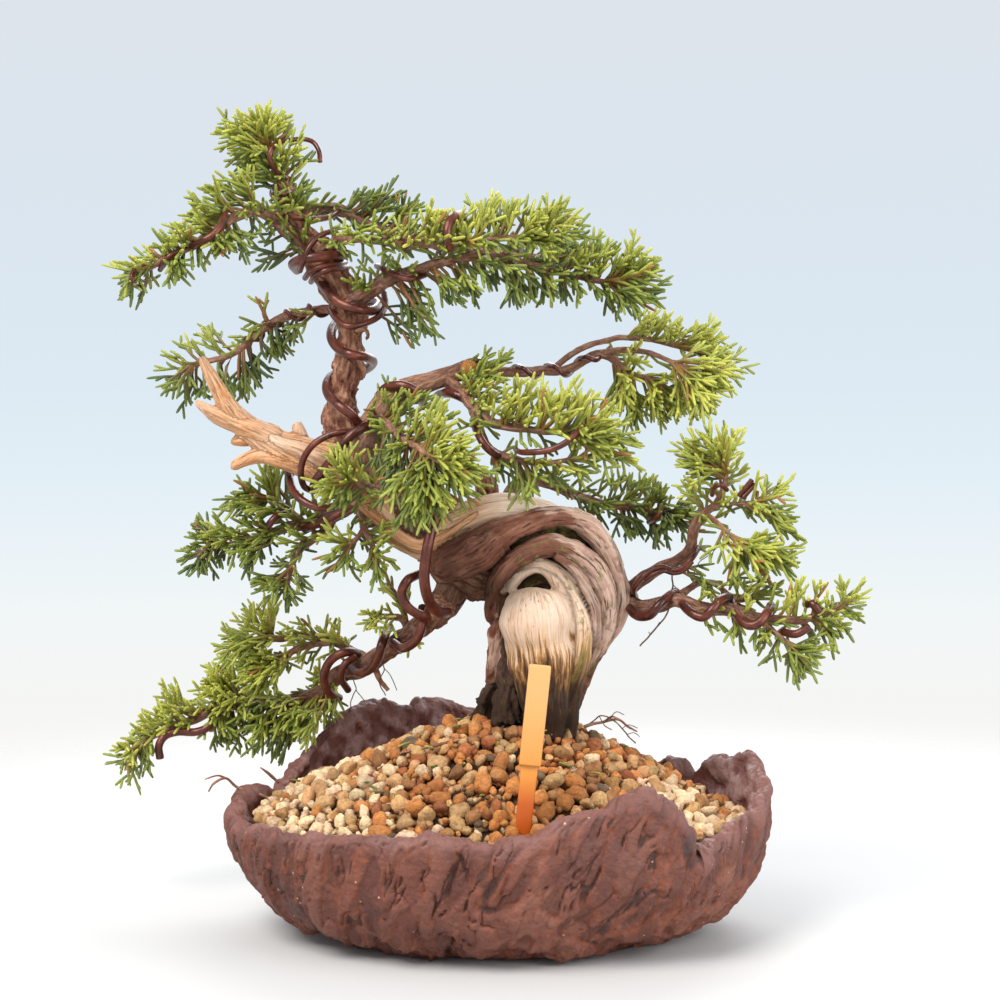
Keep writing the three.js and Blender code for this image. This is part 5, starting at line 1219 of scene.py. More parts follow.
               (-21.8, -18, 109.1), (-21.9, -16, 103.2), (-20.5, -12, 97.8), (-17.5, -6, 94.5),
               (-13.8, 2, 95.5), (-11.6, 9, 98.4)]),
    ],
}
TIPS: dict[str, list[tuple]] = {
    "foliage_apex": [
        (-86, -4, 239), (-83, 0, 238), (-81, -10, 239), (-80, 1, 242), (-77, -5, 241), (-74, -7, 244),
        (-73, 2, 246), (-68, -9, 242), (-66, -2, 244), (-64, -2, 242), (-81, -9, 234), (-81, 3, 232),
        (-78, -6, 232), (-76, -2, 228), (-63, 2, 238), (-57, -9, 236), (-62, 4, 231), (-63, 0, 228),
        (-64, -5, 230), (-72, 5, 231), (-74, -8, 232), (-68, -3, 238), (-64, -1, 244)],
    "foliage_top_left": [
        (-90, -20, 215), (-88, -16, 213), (-84, -26, 219), (-84, -10, 223), (-80, -16, 225),
        (-76, -18, 223), (-78, 6, 230), (-73, -5, 226), (-71, 2, 225), (-87, -18, 212), (-88, -28, 209),
        (-91, -17, 209), (-70, -8, 209), (-64, -2, 206), (-74, 4, 200), (-72, -26, 198), (-76, -16, 201),
        (-78, -20, 200), (-78, -27, 198), (-68, 7, 218), (-60, -4, 220), (-56, 2, 221), (-55, 4, 219),
        (-60, -5, 216), (-66, 0, 214), (-93, -26, 208), (-95, -26, 206), (-92, -18, 206), (-96, -31, 201),
        (-102, -23, 200), (-101, -24, 201), (-105, -31, 197), (-110, -20, 195), (-107, -30, 196),
        (-109, -26, 187), (-108, -22, 186), (-92, -31, 188), (-92, -21, 192), (-86, -25, 195),
        (-85, -28, 196), (-83, -17, 198), (-78, -28, 200), (-100, -24, 190), (-96, -22, 196),
        (-93, -31, 192), (-106, -20, 190)],
    "foliage_top_right": [
        (-34, 26, 214), (-26, 28, 212), (-20, 27, 213), (-14, 28, 209), (-8, 27, 210), (-2, 26, 206),
        (4, 25, 208), (10, 24, 205), (16, 22, 204), (22, 19, 202), (25, 14, 199), (-30, 23, 204),
        (-18, 24, 201), (-6, 23, 199), (6, 22, 197), (14, 20, 196), (22, 11, 205), (-12, 18, 214),
        (0, 17, 212), (12, 15, 209), (20, 18, 196), (-42, 16, 222), (-40, 20, 224), (-37, 11, 223),
        (-35, 22, 223), (-32, 16, 225), (-28, 15, 220), (-27, 24, 216), (-24, 13, 221), (-20, -17, 214),
        (-18, -17, 212), (-16, -24, 212), (-15, -13, 212), (-10, -22, 214), (-7, -20, 212), (-3, -14, 213),
        (-1, -23, 217), (2, -13, 215), (5, -17, 216), (4, -21, 212), (8, -11, 214), (11, -20, 212),
        (14, -14, 214), (16, -12, 214), (18, -21, 214), (21, -10, 213), (22, -17, 208), (26, -18, 206),
        (31, -4, 208), (27, 7, 206), (31, -6, 205), (34, -8, 203), (36, -13, 200), (40, -2, 204),
        (41, -12, 202), (43, -8, 200), (46, -4, 200), (47, -14, 196), (49, -4, 195), (50, -9, 190),
        (47, -12, 187), (45, -2, 188), (42, -13, 185), (42, -6, 184), (38, -5, 186), (36, -14, 183),
        (34, -2, 183), (32, -12, 185), (29, -11, 186), (27, -4, 190), (23, -15, 186), (22, -8, 188),
        (18, -10, 187), (16, -16, 185), (12, -5, 185), (10, -15, 186), (7, -13, 185), (5, -9, 188),
        (3, -19, 191), (0, -8, 192), (-3, -16, 189), (-6, -18, 188), (-9, -9, 187), (-12, -20, 186),
        (-13, -13, 184), (-15, -11, 190), (-18, -16, 175), (-23, -2, 175), (-20, -14, 179), (-24, -12, 191),
        (-32, 0, 193), (-40, -8, 190), (-38, 2, 194), (-42, -2, 195), (-45, -3, 195), (-45, -4, 199),
        (-48, -10, 203), (-51, 16, 214), (-48, 19, 216), (-45, 10, 212), (-44, 21, 218),
        (-43.2, -22, 205.2), (-39.6, -24, 202.6), (-35.1, -22, 205.2), (-31, -24, 202.6),
        (-28.2, -22, 205.8), (-24.4, -25, 202.5), (-21.3, -22, 205.2), (-17.8, -24, 200.9),
        (-13.8, -23, 203.9), (-9.8, -24, 200.6), (-6.3, -22, 203.5), (-2.9, -24, 199.8), (0.9, -22, 202.9),
        (5.2, -22, 200), (9.3, -20, 203.2), (13, -20, 199.7), (17.4, -18, 202.3), (20.9, -18, 198.8),
        (24.8, -16, 200.8), (28.6, -16, 197.3), (32.7, -15, 197.5), (-8.6, -24, 206.9), (0, -22, 208.1),
        (8.7, -20, 207.8), (16, -18, 207), (-28.9, -20, 199.7), (-33.5, -16, 197.3), (17.4, -18, 194.8),
        (5.8, -20, 195.1), (-5.8, -20, 196.2)],
    "foliage_upper_left": [
        (-105, 15, 162), (-104, 19, 171), (-99, 9, 158), (-99, 20, 177), (-95, 14, 156), (-95, 12, 178),
        (-92, 21, 181), (-90, 10, 158), (-89, 17, 176), (-87, 17, 164), (-83, 10, 160), (-81, 21, 158),
        (-78, 12, 159), (-79, 14, 163), (-74, 20, 164), (-71, 9, 170), (-76, 19, 166), (-66, 14, 173),
        (-63, 9, 174), (-63, 18, 179), (-65, 8, 177), (-83, 16, 177), (-81, 18, 179), (-77, 9, 179),
        (-76, 20, 168), (-68, 13, 170)],
    "foliage_centre": [
        (48, 19, 187), (50, 23, 186), (52, 13, 184), (54, 24, 184), (44, 18, 182), (56, 16, 182),
        (61, 24, 183), (63, 13, 180), (69, 20, 182), (68, 20, 178), (61, 13, 176), (72, 24, 175),
        (72, 15, 172), (76, 17, 171), (77, 5, 166), (70, -6, 165), (69, 4, 163), (66, 0, 162),
        (67, -4, 156), (67, 6, 155), (63, -5, 153), (65, 1, 153), (60, 3, 152), (58, 0, 151), (57, 11, 156),
        (55, 4, 152), (51, 4, 150), (51, 12, 152), (47, 0, 152), (44, 10, 151), (41, 8, 149), (39, 3, 152),
        (38, 14, 154), (34, 4, 157), (34, 8, 160), (35, 13, 162), (36, 3, 163), (40, 12, 160), (46, 6, 157),
        (48, 2, 158), (41, 15, 170), (42, 3, 167), (57, 2, 160), (62, 3, 158), (61, -6, 167),
        (59, 24, 175)],
    "foliage_front": [
        (-37, -3, 150), (-34, -8, 147), (-36, -18, 147), (-35, 2, 159), (-32, -4, 161), (-30, -6, 162),
        (-28, 3, 164), (-25, -17, 158), (-21, -10, 160), (-18, -22, 157), (-14, -39, 155), (-12, -28, 154),
        (-14, -37, 152), (-6, -41, 140), (-3, -35, 141), (-4, -46, 136), (-3, -36, 131), (-6, -40, 128),
        (-8, -44, 131), (-11, -34, 127), (-14, -45, 120), (-17, -39, 120), (-20, -37, 122), (-21, -46, 118),
        (-27, -35, 119), (-23, -42, 120), (-28, -42, 121), (-31, -28, 124), (-32, -40, 128),
        (-35, -21, 132), (-34, -22, 138), (-34, -29, 141), (-36, -6, 144), (-25, -38, 136), (-30, -24, 137),
        (-17, -30, 145), (-12, -46, 144), (-8, -36, 148), (-23, -25, 151), (-29, -16, 154), (-21, -28, 142),
        (-15, -45, 136), (-25, -38, 128), (-20, -37, 131), (-11, -46, 136), (-30, -18, 144),
        (-17, -37, 150)],
    "foliage_twig": [
        (-48, -19, 144), (-45, -15, 144), (-41, -25, 142), (-51, -14, 137), (-49, -20, 140),
        (-52, -22, 134), (-51, -13, 132), (-53, -24, 130), (-52, -17, 128), (-50, -17, 125),
        (-45, -21, 128), (-38, -10, 141), (-41, -19, 137), (-44, -17, 134), (-37, -6, 135), (-37, -17, 130),
        (-47, -15, 131)],
    "foliage_centre_low": [
        (-5, -11, 161), (-3, -7, 165), (0, -11, 170), (5, -6, 172), (2, -12, 166), (10, -28, 163),
        (14, -21, 163), (21, -32, 163), (20, -25, 161), (24, -25, 161), (26, -32, 158), (29, -21, 157),
        (32, -30, 155), (34, -28, 155), (32, -22, 150), (35, -33, 148), (40, -23, 145), (40, -27, 143),
        (41, -31, 139), (38, -21, 141), (34, -32, 138), (29, -24, 137), (26, -22, 134), (21, -31, 136),
        (17, -20, 135), (15, -24, 131), (12, -24, 134), (9, -16, 131), (7, -28, 127), (5, -15, 131),
        (4, -16, 137), (9, -27, 139), (-3, -8, 149), (-9, -18, 151), (-6, -18, 154), (-2, -13, 157),
        (3, -28, 154), (9, -21, 155), (13, -26, 157), (17, -31, 158), (22, -21, 154), (25, -32, 148),
        (17, -23, 140), (29, -24, 144), (23, -31, 142), (13, -21, 150), (7, -28, 151), (17, -29, 148),
        (2, -12, 160), (6, -28, 162), (-1, -14, 157)],
    "foliage_behind": [
        (38, 23, 136), (44, 27, 134), (47, 18, 136), (47, 29, 131), (50, 23, 133), (52, 21, 126),
        (49, 30, 120), (43, 19, 116), (41, 25, 116), (39, 25, 119), (34, 16, 122), (28, 27, 122),
        (20, 13, 131), (31, 20, 128), (38, 28, 126), (43, 18, 125), (51, 28, 133), (60, 24, 126),
        (61, 20, 128), (56, 30, 123), (58, 19, 122), (60, 25, 116), (58, 27, 117), (54, 18, 119),
        (53, 29, 115), (50, 22, 115), (54, 22, 126), (31, 26, 119), (25, 13, 124)],
    "foliage_left": [
        (-96, 24, 121), (-95, 28, 123), (-88, 16, 125), (-86, 26, 126), (-82, 20, 128), (-79, 18, 132),
        (-80, 27, 134), (-73, 16, 139), (-72, 23, 140), (-67, 21, 139), (-72, 16, 135), (-93, 30, 118),
        (-93, 21, 116), (-97, 24, 114), (-100, 30, 109), (-96, 19, 105), (-93, 29, 106), (-90, 25, 105),
        (-89, 20, 109), (-85, 28, 109), (-78, 17, 105), (-77, 14, 103), (-75, 16, 100), (-72, 7, 101),
        (-71, 18, 100), (-66, 11, 97), (-65, 10, 95), (-64, 18, 97), (-61, 7, 102), (-68, 16, 105),
        (-74, 22, 109), (-79, 15, 114), (-64, 23, 131), (-60, 13, 128), (-68, 18, 128), (-74, 23, 126),
        (-80, 15, 123), (-67, 21, 119), (-71, 17, 114), (-64, 8, 111), (-88, 10, 122), (-84, 9, 119),
        (-80, 9, 125), (-76, 8, 121), (-72, 9, 125), (-80, 8, 113), (-74, 8, 115), (-68, 9, 117),
        (-86, 10, 113), (-92, 12, 117), (-66, 9, 124), (-77, 10, 130), (-63, 10, 119)],
    "foliage_under_arm": [
        (-54, -7, 110), (-51, -3, 106), (-45, -13, 108), (-45, -2, 110), (-52, -8, 119), (-49, -10, 121),
        (-54, -1, 117), (-50, -12, 113), (-40, -7, 109), (-38, -7, 107), (-36, -14, 103), (-36, -3, 106),
        (-33, -12, 108), (-30, -10, 110), (-31, -2, 116), (-34, -10, 121), (-37, 1, 123), (-32, -9, 113),
        (-38, -11, 116), (-42, 3, 119), (-43, -5, 122), (-46, -4, 119)],
    "foliage_low_left": [
        (-84, 41, 92), (-76, 45, 96), (-73, 35, 96), (-73, 46, 92), (-79, 40, 88), (-83, 38, 82),
        (-90, 47, 81), (-93, 40, 80), (-93, 47, 76), (-90, 47, 78), (-95, 40, 72), (-94, 51, 68),
        (-91, 42, 62), (-89, 44, 63), (-88, 51, 66), (-85, 40, 60), (-83, 50, 59), (-78, 46, 61),
        (-81, 42, 67), (-85, 52, 69), (-75, 36, 75), (-75, 47, 66), (-55, 39, 90), (-53, 30, 88),
        (-52, 39, 83), (-84, 39, 75), (-80, 38, 74), (-77, 46, 79), (-64, 32, 76), (-60, 41, 74),
        (-99, 46, 64), (-101, 38, 62), (-107, 49, 64), (-106, 38, 66), (-110, 42, 64), (-113, 44, 61),
        (-113, 34, 57), (-120, 43, 52), (-119, 38, 51), (-122, 34, 47), (-124, 44, 42), (-119, 33, 49),
        (-119, 40, 35), (-115, 41, 43), (-112, 33, 45), (-113, 45, 49), (-108, 39, 59), (-103, 41, 57),
        (-111, 47, 58), (-93, 38, 53), (-90, 48, 48), (-84, 45, 44), (-80, 41, 44), (-74, 51, 42),
        (-72, 41, 42), (-70, 45, 47), (-65, 47, 50), (-87, 38, 53), (-84, 51, 51), (-78, 45, 50),
        (-74, 43, 52), (-69, 51, 53), (-62, 38, 56), (-58, 45, 57), (-52, 42, 56), (-64, 38, 59),
        (-82, 52, 56), (-87, 42, 56), (-39, 11, 94), (-41, 17, 91), (-35, 6, 89), (-91.1, 30, 79),
        (-88.4, 33, 80.6), (-84.7, 36, 81), (-93.6, 30, 74.9), (-94.7, 33, 70.8), (-91.7, 36, 67.3),
        (-86.6, 30, 64.8), (-82.6, 33, 62.5), (-79.2, 36, 60), (-74.9, 30, 67.9), (-73.1, 33, 74.6),
        (-77.3, 36, 78.5), (-80.3, 30, 78), (-83.3, 33, 72.7), (-87.9, 36, 73.7), (-84.7, 30, 68.6),
        (-79.5, 33, 66), (-81.5, 36, 70.8), (-75.9, 30, 72.3), (-90.6, 33, 75.9), (-93.6, 36, 66),
        (-88.5, 30, 62.9), (-83.3, 33, 58.1), (-78.3, 36, 57.1), (-73.4, 30, 63.5), (-69.9, 33, 57.4),
        (-66.4, 36, 54.5), (-63.2, 30, 51.5), (-72.5, 33, 53.3), (-78.3, 36, 52)],
    "foliage_right": [
        (52, -7, 146), (51, -3, 142), (52, -13, 139), (54, -2, 147), (57, -8, 150), (59, -10, 148),
        (59, -1, 144), (62, -12, 146), (65, -5, 146), (65, -5, 149), (67, -12, 148), (71, -1, 145),
        (70, -10, 141), (66, -8, 140), (61, -2, 141), (53, -13, 136), (55, -1, 134), (58, -7, 135),
        (63, -11, 137), (69, -1, 138), (73, -12, 137), (76, -11, 131), (72, -4, 134), (77, -18, 132),
        (84, -7, 133), (84, -14, 130), (80, -14, 128), (80, -6, 124), (76, -18, 126), (84, -9, 121),
        (78, -10, 121), (78, -19, 119), (86, -8, 116), (90, -16, 116), (86, -14, 112), (88, -10, 110),
        (88, -20, 108), (87, -10, 107), (83, -15, 110), (78, -18, 109), (80, -8, 105), (74, -19, 108),
        (70, -12, 106), (70, -11, 101), (68, -20, 105), (71, -8, 110), (73, -17, 113), (76, -16, 115),
        (68, -8, 118), (64, -19, 115), (63, 4, 114), (58, 2, 112), (62, -4, 105), (64, 0, 125),
        (66, -13, 128), (71, -11, 125), (74, -7, 122), (69, -13, 131)],
    "foliage_low_right": [
        (72, -10, 102), (72, -2, 98), (77, -16, 105), (83, -5, 104), (82, -11, 103), (86, -20, 106),
        (87, -11, 102), (92, -22, 105), (99, -14, 106), (102, -14, 100), (104, -21, 104), (108, -10, 101),
        (103, -19, 98), (102, -17, 95), (105, -11, 93), (99, -23, 91), (103, -13, 89), (99, -17, 87),
        (98, -21, 85), (96, -11, 87), (95, -24, 85), (91, -18, 86), (92, -16, 77), (92, -25, 79),
        (90, -14, 80), (86, -21, 75), (85, -22, 78), (85, -14, 86), (79, -25, 84), (82, -16, 82),
        (77, -18, 80), (76, -23, 88), (72, -9, 85), (68, -18, 87), (64, -14, 89), (69, -10, 91),
        (73, -16, 99), (81, -12, 99), (84, -18, 98), (88, -21, 99), (94, -11, 97), (96, -22, 99),
        (90, -15, 93), (95, -14, 92), (98, -23, 94)],
}
ROOTS: dict[str, list[list[tuple]]] = {
    "surface_root_left": [
        [(-2, -8, 59, 0.5), (-14, -12, 57, 0.4), (-24, -10, 54.6, 0.35), (-33, -6, 51.8, 0.35),
         (-44, 0, 47.6, 0.3), (-52, 2, 43.6, 0.3)],
        [(-70, 12, 36, 0.6), (-74.4, 10, 38.6, 0.5), (-79.6, 8, 40.4, 0.45), (-83, 6, 43.6, 0.4),
         (-86.4, 4, 42.4, 0.35), (-88, 3, 40, 0.25)],
        [(-83, 6, 43.6, 0.35), (-85.4, 5, 44.6, 0.3), (-89, 3, 43.8, 0.2)],
        [(-68, 14, 41, 0.5), (-71, 13, 44, 0.45), (-73.4, 12, 46, 0.2)]],
    "surface_root_right": [
        [(25, -4, 60.5, 0.5), (30, -4, 61.8, 0.45), (35, -3, 62.4, 0.4), (38, -2, 60.4, 0.35),
         (41, -1, 58.6, 0.25)],
        [(31, -4, 61.8, 0.4), (33, -6, 63.6, 0.3), (35.6, -7, 63, 0.2)]],
}


# ---- wood and bark -------------------------------------------------------------------------------
class Tissue(Enum):
    """What a strand of the tree is made of; the numbers are kept on the mesh."""

    BARK = 0
    VEIN = 1
    WOOD = 2


@dataclass(frozen=True)
class Strand:
    """One strand of the trunk: rows of x, y, z and radius, and its look."""

    tissue: Tissue
    stations: tuple
    tone: float = 0.0
    moss: float = 0.0
    flute: float = 1.0


STRANDS: dict[str, Strand] = {
    "core": Strand(Tissue.BARK, (
        (9.5, 7, 50, 11.5), (9.2, 7, 58, 12.2), (9.8, 7, 66, 12), (11.5, 7, 74, 11.6), (14, 7.5, 82, 12),
        (16.5, 8, 90, 12.8), (17.5, 8, 98, 13), (15.5, 7, 106, 12.2), (10, 6, 111, 10.5),
        (2.4, 4.5, 112.5, 9.5), (-4.5, 3, 113, 9), (-11.4, 2, 113.5, 8.8), (-18, 1.5, 116, 8.4),
        (-24.7, 2, 119.6, 7.8), (-32, 4, 124.1, 7.4), (-42.1, 5, 132.8, 7.4), (-48.1, 5, 138.9, 6.4)), 0.7),
    "dome": Strand(Tissue.WOOD, (
        (14, -4, 58, 6), (14, -5, 62, 6.5), (13.6, -7, 67, 7.4), (13, -8.6, 71.8, 8.3),
        (12.7, -10, 77.2, 9.1), (12.1, -11.6, 83.8, 10.3), (11.2, -13, 89.8, 11), (10.7, -13.6, 94.5, 10.9),
        (10.3, -13.8, 98, 9.7), (9.8, -13.8, 100.4, 7.6), (9.7, -13.8, 101.9, 4.7),
        (9.7, -13.8, 102.4, 1.5)), 0.0, 0.0, 0.2),
    "lip": Strand(Tissue.WOOD, (
        (18.5, -2, 57.8, 4.2), (19.1, -4, 63.1, 4.2), (19.6, -6, 68.6, 4.6), (20.4, -8, 74.8, 5),
        (21.5, -9.5, 81.4, 5.5), (22.4, -10, 87.9, 5.5), (22.1, -10, 94.4, 5), (20.3, -10, 100, 4.1),
        (17.7, -10, 104.7, 3.4), (14.4, -10, 107.7, 2.7), (10.9, -9.6, 108.8, 2.6), (7, -9.4, 107.2, 2.5),
        (3.8, -9, 104.4, 2.3), (2, -8, 101, 2)), 0.05, 0.34, 0.2),
    "inner_vein": Strand(Tissue.VEIN, (
        (19.5, 2, 57.2, 2.3), (21.2, 1, 64.3, 2.2), (23.4, -1, 70.5, 2.1), (26, -2, 77.2, 1.9),
        (28.9, -3, 83.2, 2.2), (30.7, -4, 89.3, 3), (31.5, -5, 95.3, 3.7), (30.5, -6.5, 101.3, 4.2),
        (28.1, -8, 106.4, 4.1), (24.2, -10, 110.9, 3.8), (19.4, -11.5, 113.9, 3.4), (14.1, -12, 114.8, 3.2),
        (9.4, -12, 113.6, 3.1), (5.6, -11, 111.2, 3.2), (2.4, -9, 107.9, 3.7), (0, -6, 103.1, 3.6),
        (-1.2, -3, 97.6, 3), (-1.2, 0, 92, 2.4)), 0.22, 0.3, 0.5),
    "outer_vein": Strand(Tissue.VEIN, (
        (26.4, 2, 75.4, 1.2), (28.8, 2.6, 80.6, 1.5), (31.8, 2, 85.6, 2), (34.9, 1.5, 90.7, 2.4),
        (36.4, 1, 96.1, 2.6), (36.3, 0, 101.6, 2.5), (34.7, -1, 107, 2.7), (32.3, -2, 112.5, 3),
        (29.5, -4, 116.7, 3.3), (25.8, -6, 120.3, 3.3), (21.6, -8.5, 122.7, 3.1), (16.8, -10.5, 123.3, 2.9),
        (11.2, -12, 122.4, 3.1), (5.3, -12.5, 120.4, 3.7), (0, -12, 117.7, 4.7), (-5.3, -10, 113.9, 5.9),
        (-11.2, -8, 110.9, 6.2), (-16.4, -5, 108.4, 5.4)), 0.06, 0.16, 0.5),
    # the filler closes the gap behind the veins; its full tone paints it darkest, as shade deep in that gap
    "filler": Strand(Tissue.BARK, (
        (32.3, 8, 85.4, 2.4), (33.4, 7, 94.6, 3), (32.8, 6, 102.2, 3.9), (30.3, 5, 108.9, 4.2),
        (26.5, 3, 114.1, 4.2), (21.3, 0, 117.2, 3.6), (15.5, -2, 118.1, 3.3), (9, -3, 117, 3.3),
        (3, -3, 114.3, 3.9)), 1.0, 0.7, 0.6),
    "twist": Strand(Tissue.VEIN, (
        (24.9, -6, 75.8, 1.2), (26.6, -9, 82.3, 1.3), (27.9, -11, 88.6, 1.5), (27.9, -12.5, 95.2, 1.6),
        (25.7, -14, 101.1, 1.6), (22.5, -15, 106.4, 1.5), (19, -15.5, 109.9, 1.2),
        (16.1, -15, 111.7, 0.9)), 0.55, 0, 0.3),
    "belly": Strand(Tissue.BARK, (
        (0, 3, 102, 5), (-6, 1, 104.4, 6.6), (-11.4, 1, 107.4, 7.4), (-16, 1, 109.8, 7.4),
        (-19, 2, 111.4, 5.6)), 0.5),
    "branch_root": Strand(Tissue.BARK, (
        (-11, 1, 109, 5.6), (-14.5, 1.5, 101.5, 5), (-18, 3, 95.5, 4.2), (-21.5, 5, 91.2, 3.6)), 0.6),
    "base_left": Strand(Tissue.BARK, (
        (-4.9, 6, 56.7, 4.5), (-4.5, 5, 63.2, 3.6), (-3.3, 3, 67.7, 2.7),
        (-1.5, 0, 71.6, 1.8)), 0.9, 0.3, 1.8),
    "hollow_back": Strand(Tissue.WOOD, (
        (7.7, -2.4, 101.8, 2.4), (9.8, -2.6, 104.2, 2.7), (12.5, -2.6, 105.1, 2.8),
        (15.1, -2.6, 103.9, 2.7), (16.9, -2.4, 101.5, 2.4)), 0.6, 1.0, 0.4),
    "left_vein": Strand(Tissue.VEIN, (
        (-3, 7, 56.6, 4.3), (-3.3, 6, 62.8, 3.9), (-3, 5, 68.1, 3.3), (-1.8, 4, 73.6, 2.7),
        (-1.2, 1, 79.2, 2.6), (-1.2, 0, 85, 2.4), (-0.6, -1, 91.4, 2.2),
        (0, -1, 98, 1.9)), -0.1, 0.15, 0.6),
    "left_shadow": Strand(Tissue.BARK, (
        (2.4, -3, 61.8, 5.1), (2.3, -3, 68.3, 3.9), (2.5, -3, 74.3, 2.7), (2.5, -3, 80.3, 2.1),
        (2.3, -3, 86.2, 1.6)), 0.9, 0.18, 1.7),
    "back_vein": Strand(Tissue.VEIN, (
        (14, 17, 56, 4.2), (20, 18, 70, 4.2), (26, 18, 84, 4.4), (27, 18, 97, 4.6), (20, 17, 109, 4.6),
        (8, 14, 116, 4.4), (-6, 10, 119, 4.2), (-20, 7, 120, 4)), 0.3),
    "back_wood": Strand(Tissue.WOOD, (
        (4, 14, 56, 4.6), (7, 15, 70, 5), (12, 16.4, 84, 5), (12, 16, 97, 4.6), (6, 13.4, 106, 4),
        (-5, 9.4, 112, 3.4), (-18, 6.4, 117, 2.6)), 0.3, 0, 0.6),
    "top_shari": Strand(Tissue.WOOD, (
        (29.6, 10, 105.1, 2.4), (28, 9, 110.9, 3.4), (24.3, 8, 116.4, 4), (19.7, 5, 120.1, 4.2),
        (14.4, 1, 123.2, 4.5), (9, -2, 124.1, 5.1), (3.6, -3, 124.4, 5.5), (-1.5, -3.5, 124.1, 6),
        (-6.6, -4, 122.6, 6), (-12.2, -4, 120.3, 6), (-17.6, -2, 116.6, 5.7), (-22.5, 0, 116, 6),
        (-30.1, 2, 120.5, 6.3), (-39.2, 3.5, 129.8, 6.6)), -0.1, 0.0, 0.6),
    "shari_ridge": Strand(Tissue.WOOD, (
        (4, -6, 127.6, 1.4), (-3, -7, 125.6, 2), (-10, -8, 121.6, 2.3), (-17, -7, 117, 2.2),
        (-24, -4.5, 114.6, 2.4), (-33, -2, 119.6, 2.6), (-41, -1, 127, 2.2)), 0.3),
    "stub": Strand(Tissue.BARK, ((-4, 5, 128, 3), (-4.2, 3, 133.6, 3.4), (-4.2, 2.4, 135.8, 2.2)), 0.5),
    "jin": Strand(Tissue.WOOD, (
        (-45.5, 4.5, 136, 7), (-51, 3.5, 138.4, 6.9), (-57, 3, 140.4, 6.4), (-64, 2.4, 143, 5.6),
        (-71, 1.6, 146.4, 4.6), (-76.4, 0, 150.2, 3.7), (-80.4, -2, 155, 3), (-83.6, -4, 160.4, 2.4),
        (-86.4, -6, 166, 1.8), (-88.4, -7.4, 170.4, 0.7)), 0.36, 0.0, 1.5),
    "jin_middle": Strand(Tissue.WOOD, (
        (-68, 1, 146, 4), (-75, -1, 149.4, 3.2), (-81, -2.4, 151.6, 2.7), (-86, -3.6, 154, 2.2),
        (-89.6, -4.4, 156.6, 1.3), (-90.6, -4.6, 157.4, 0.4)), 0.36, 0.0, 1.5),
    "jin_lower": Strand(Tissue.WOOD, (
        (-54, 2, 137.6, 5), (-60, 1, 138.6, 3.8), (-66, 0.4, 140.2, 2.9), (-72, 0, 141.2, 2.4),
        (-76.4, -0.6, 139.9, 2.1), (-79.6, -1, 138, 1.5), (-80.6, -1, 137.4, 0.5)), 0.4, 0.0, 1.5),
    "jin_nub": Strand(Tissue.WOOD, (
        (-73, 0.6, 147, 2.2), (-78.6, 0.2, 145.8, 1.7), (-80.6, 0.2, 145, 0.7)), 0.5),
    "jin_stub": Strand(Tissue.WOOD, (
        (-59.6, 3.4, 145, 2.4), (-60.8, 3, 149, 2.1), (-61.4, 3, 151.4, 1.5)), 0.2),
    "jin_ridge": Strand(Tissue.WOOD, (
        (-40, -2, 129, 2.8), (-48, -2.6, 136.6, 3), (-57, -2.6, 141.6, 2.6), (-66, -1.6, 145.4, 2),
        (-72, -1.6, 148.6, 1.4)), 0.2, 0.0, 1.5),
    "jin_root": Strand(Tissue.WOOD, (
        (-38, 0, 127, 3.8), (-47, -0.6, 133.4, 4.2), (-55, -0.6, 136.6, 3.4),
        (-61, 0, 138.8, 2.2)), 0.42, 0, 1.5),
    "flap": Strand(Tissue.BARK, (
        (-44.6, 3.4, 179, 1.5), (-41.4, 2.6, 179.6, 1), (-39.6, 2.4, 178.6, 0.8),
        (-40, 2.6, 176.4, 0.7)), 0.1),
    "flap_low": Strand(Tissue.BARK, (
        (-45, 3.6, 171, 1.5), (-42.4, 3, 169.6, 1.3), (-41.4, 3, 166.4, 1), (-41.8, 3.2, 164.6, 0.5)), 0.1),
    "leader": Strand(Tissue.BARK, (
        (-44, 6, 134, 6.8), (-46, 7, 143, 7), (-48.4, 8, 152, 5.4), (-48, 8, 160, 4.5),
        (-46.4, 7, 168, 3.9), (-45.4, 6, 176, 3.9), (-45.4, 5, 184, 4.2), (-47.6, 4, 190, 4.6),
        (-51, 4, 196.4, 4.4), (-54.8, 4, 202.4, 4.5), (-59, 3, 207.4, 3.5), (-61.6, 2, 213.2, 2.6),
        (-63.6, 1, 219.4, 2.1), (-66.6, 0, 226.2, 1.6), (-68.6, -2, 232.4, 1.3),
        (-71, -4, 238.6, 0.9)), 0.1, 0.0, 1.9),
}


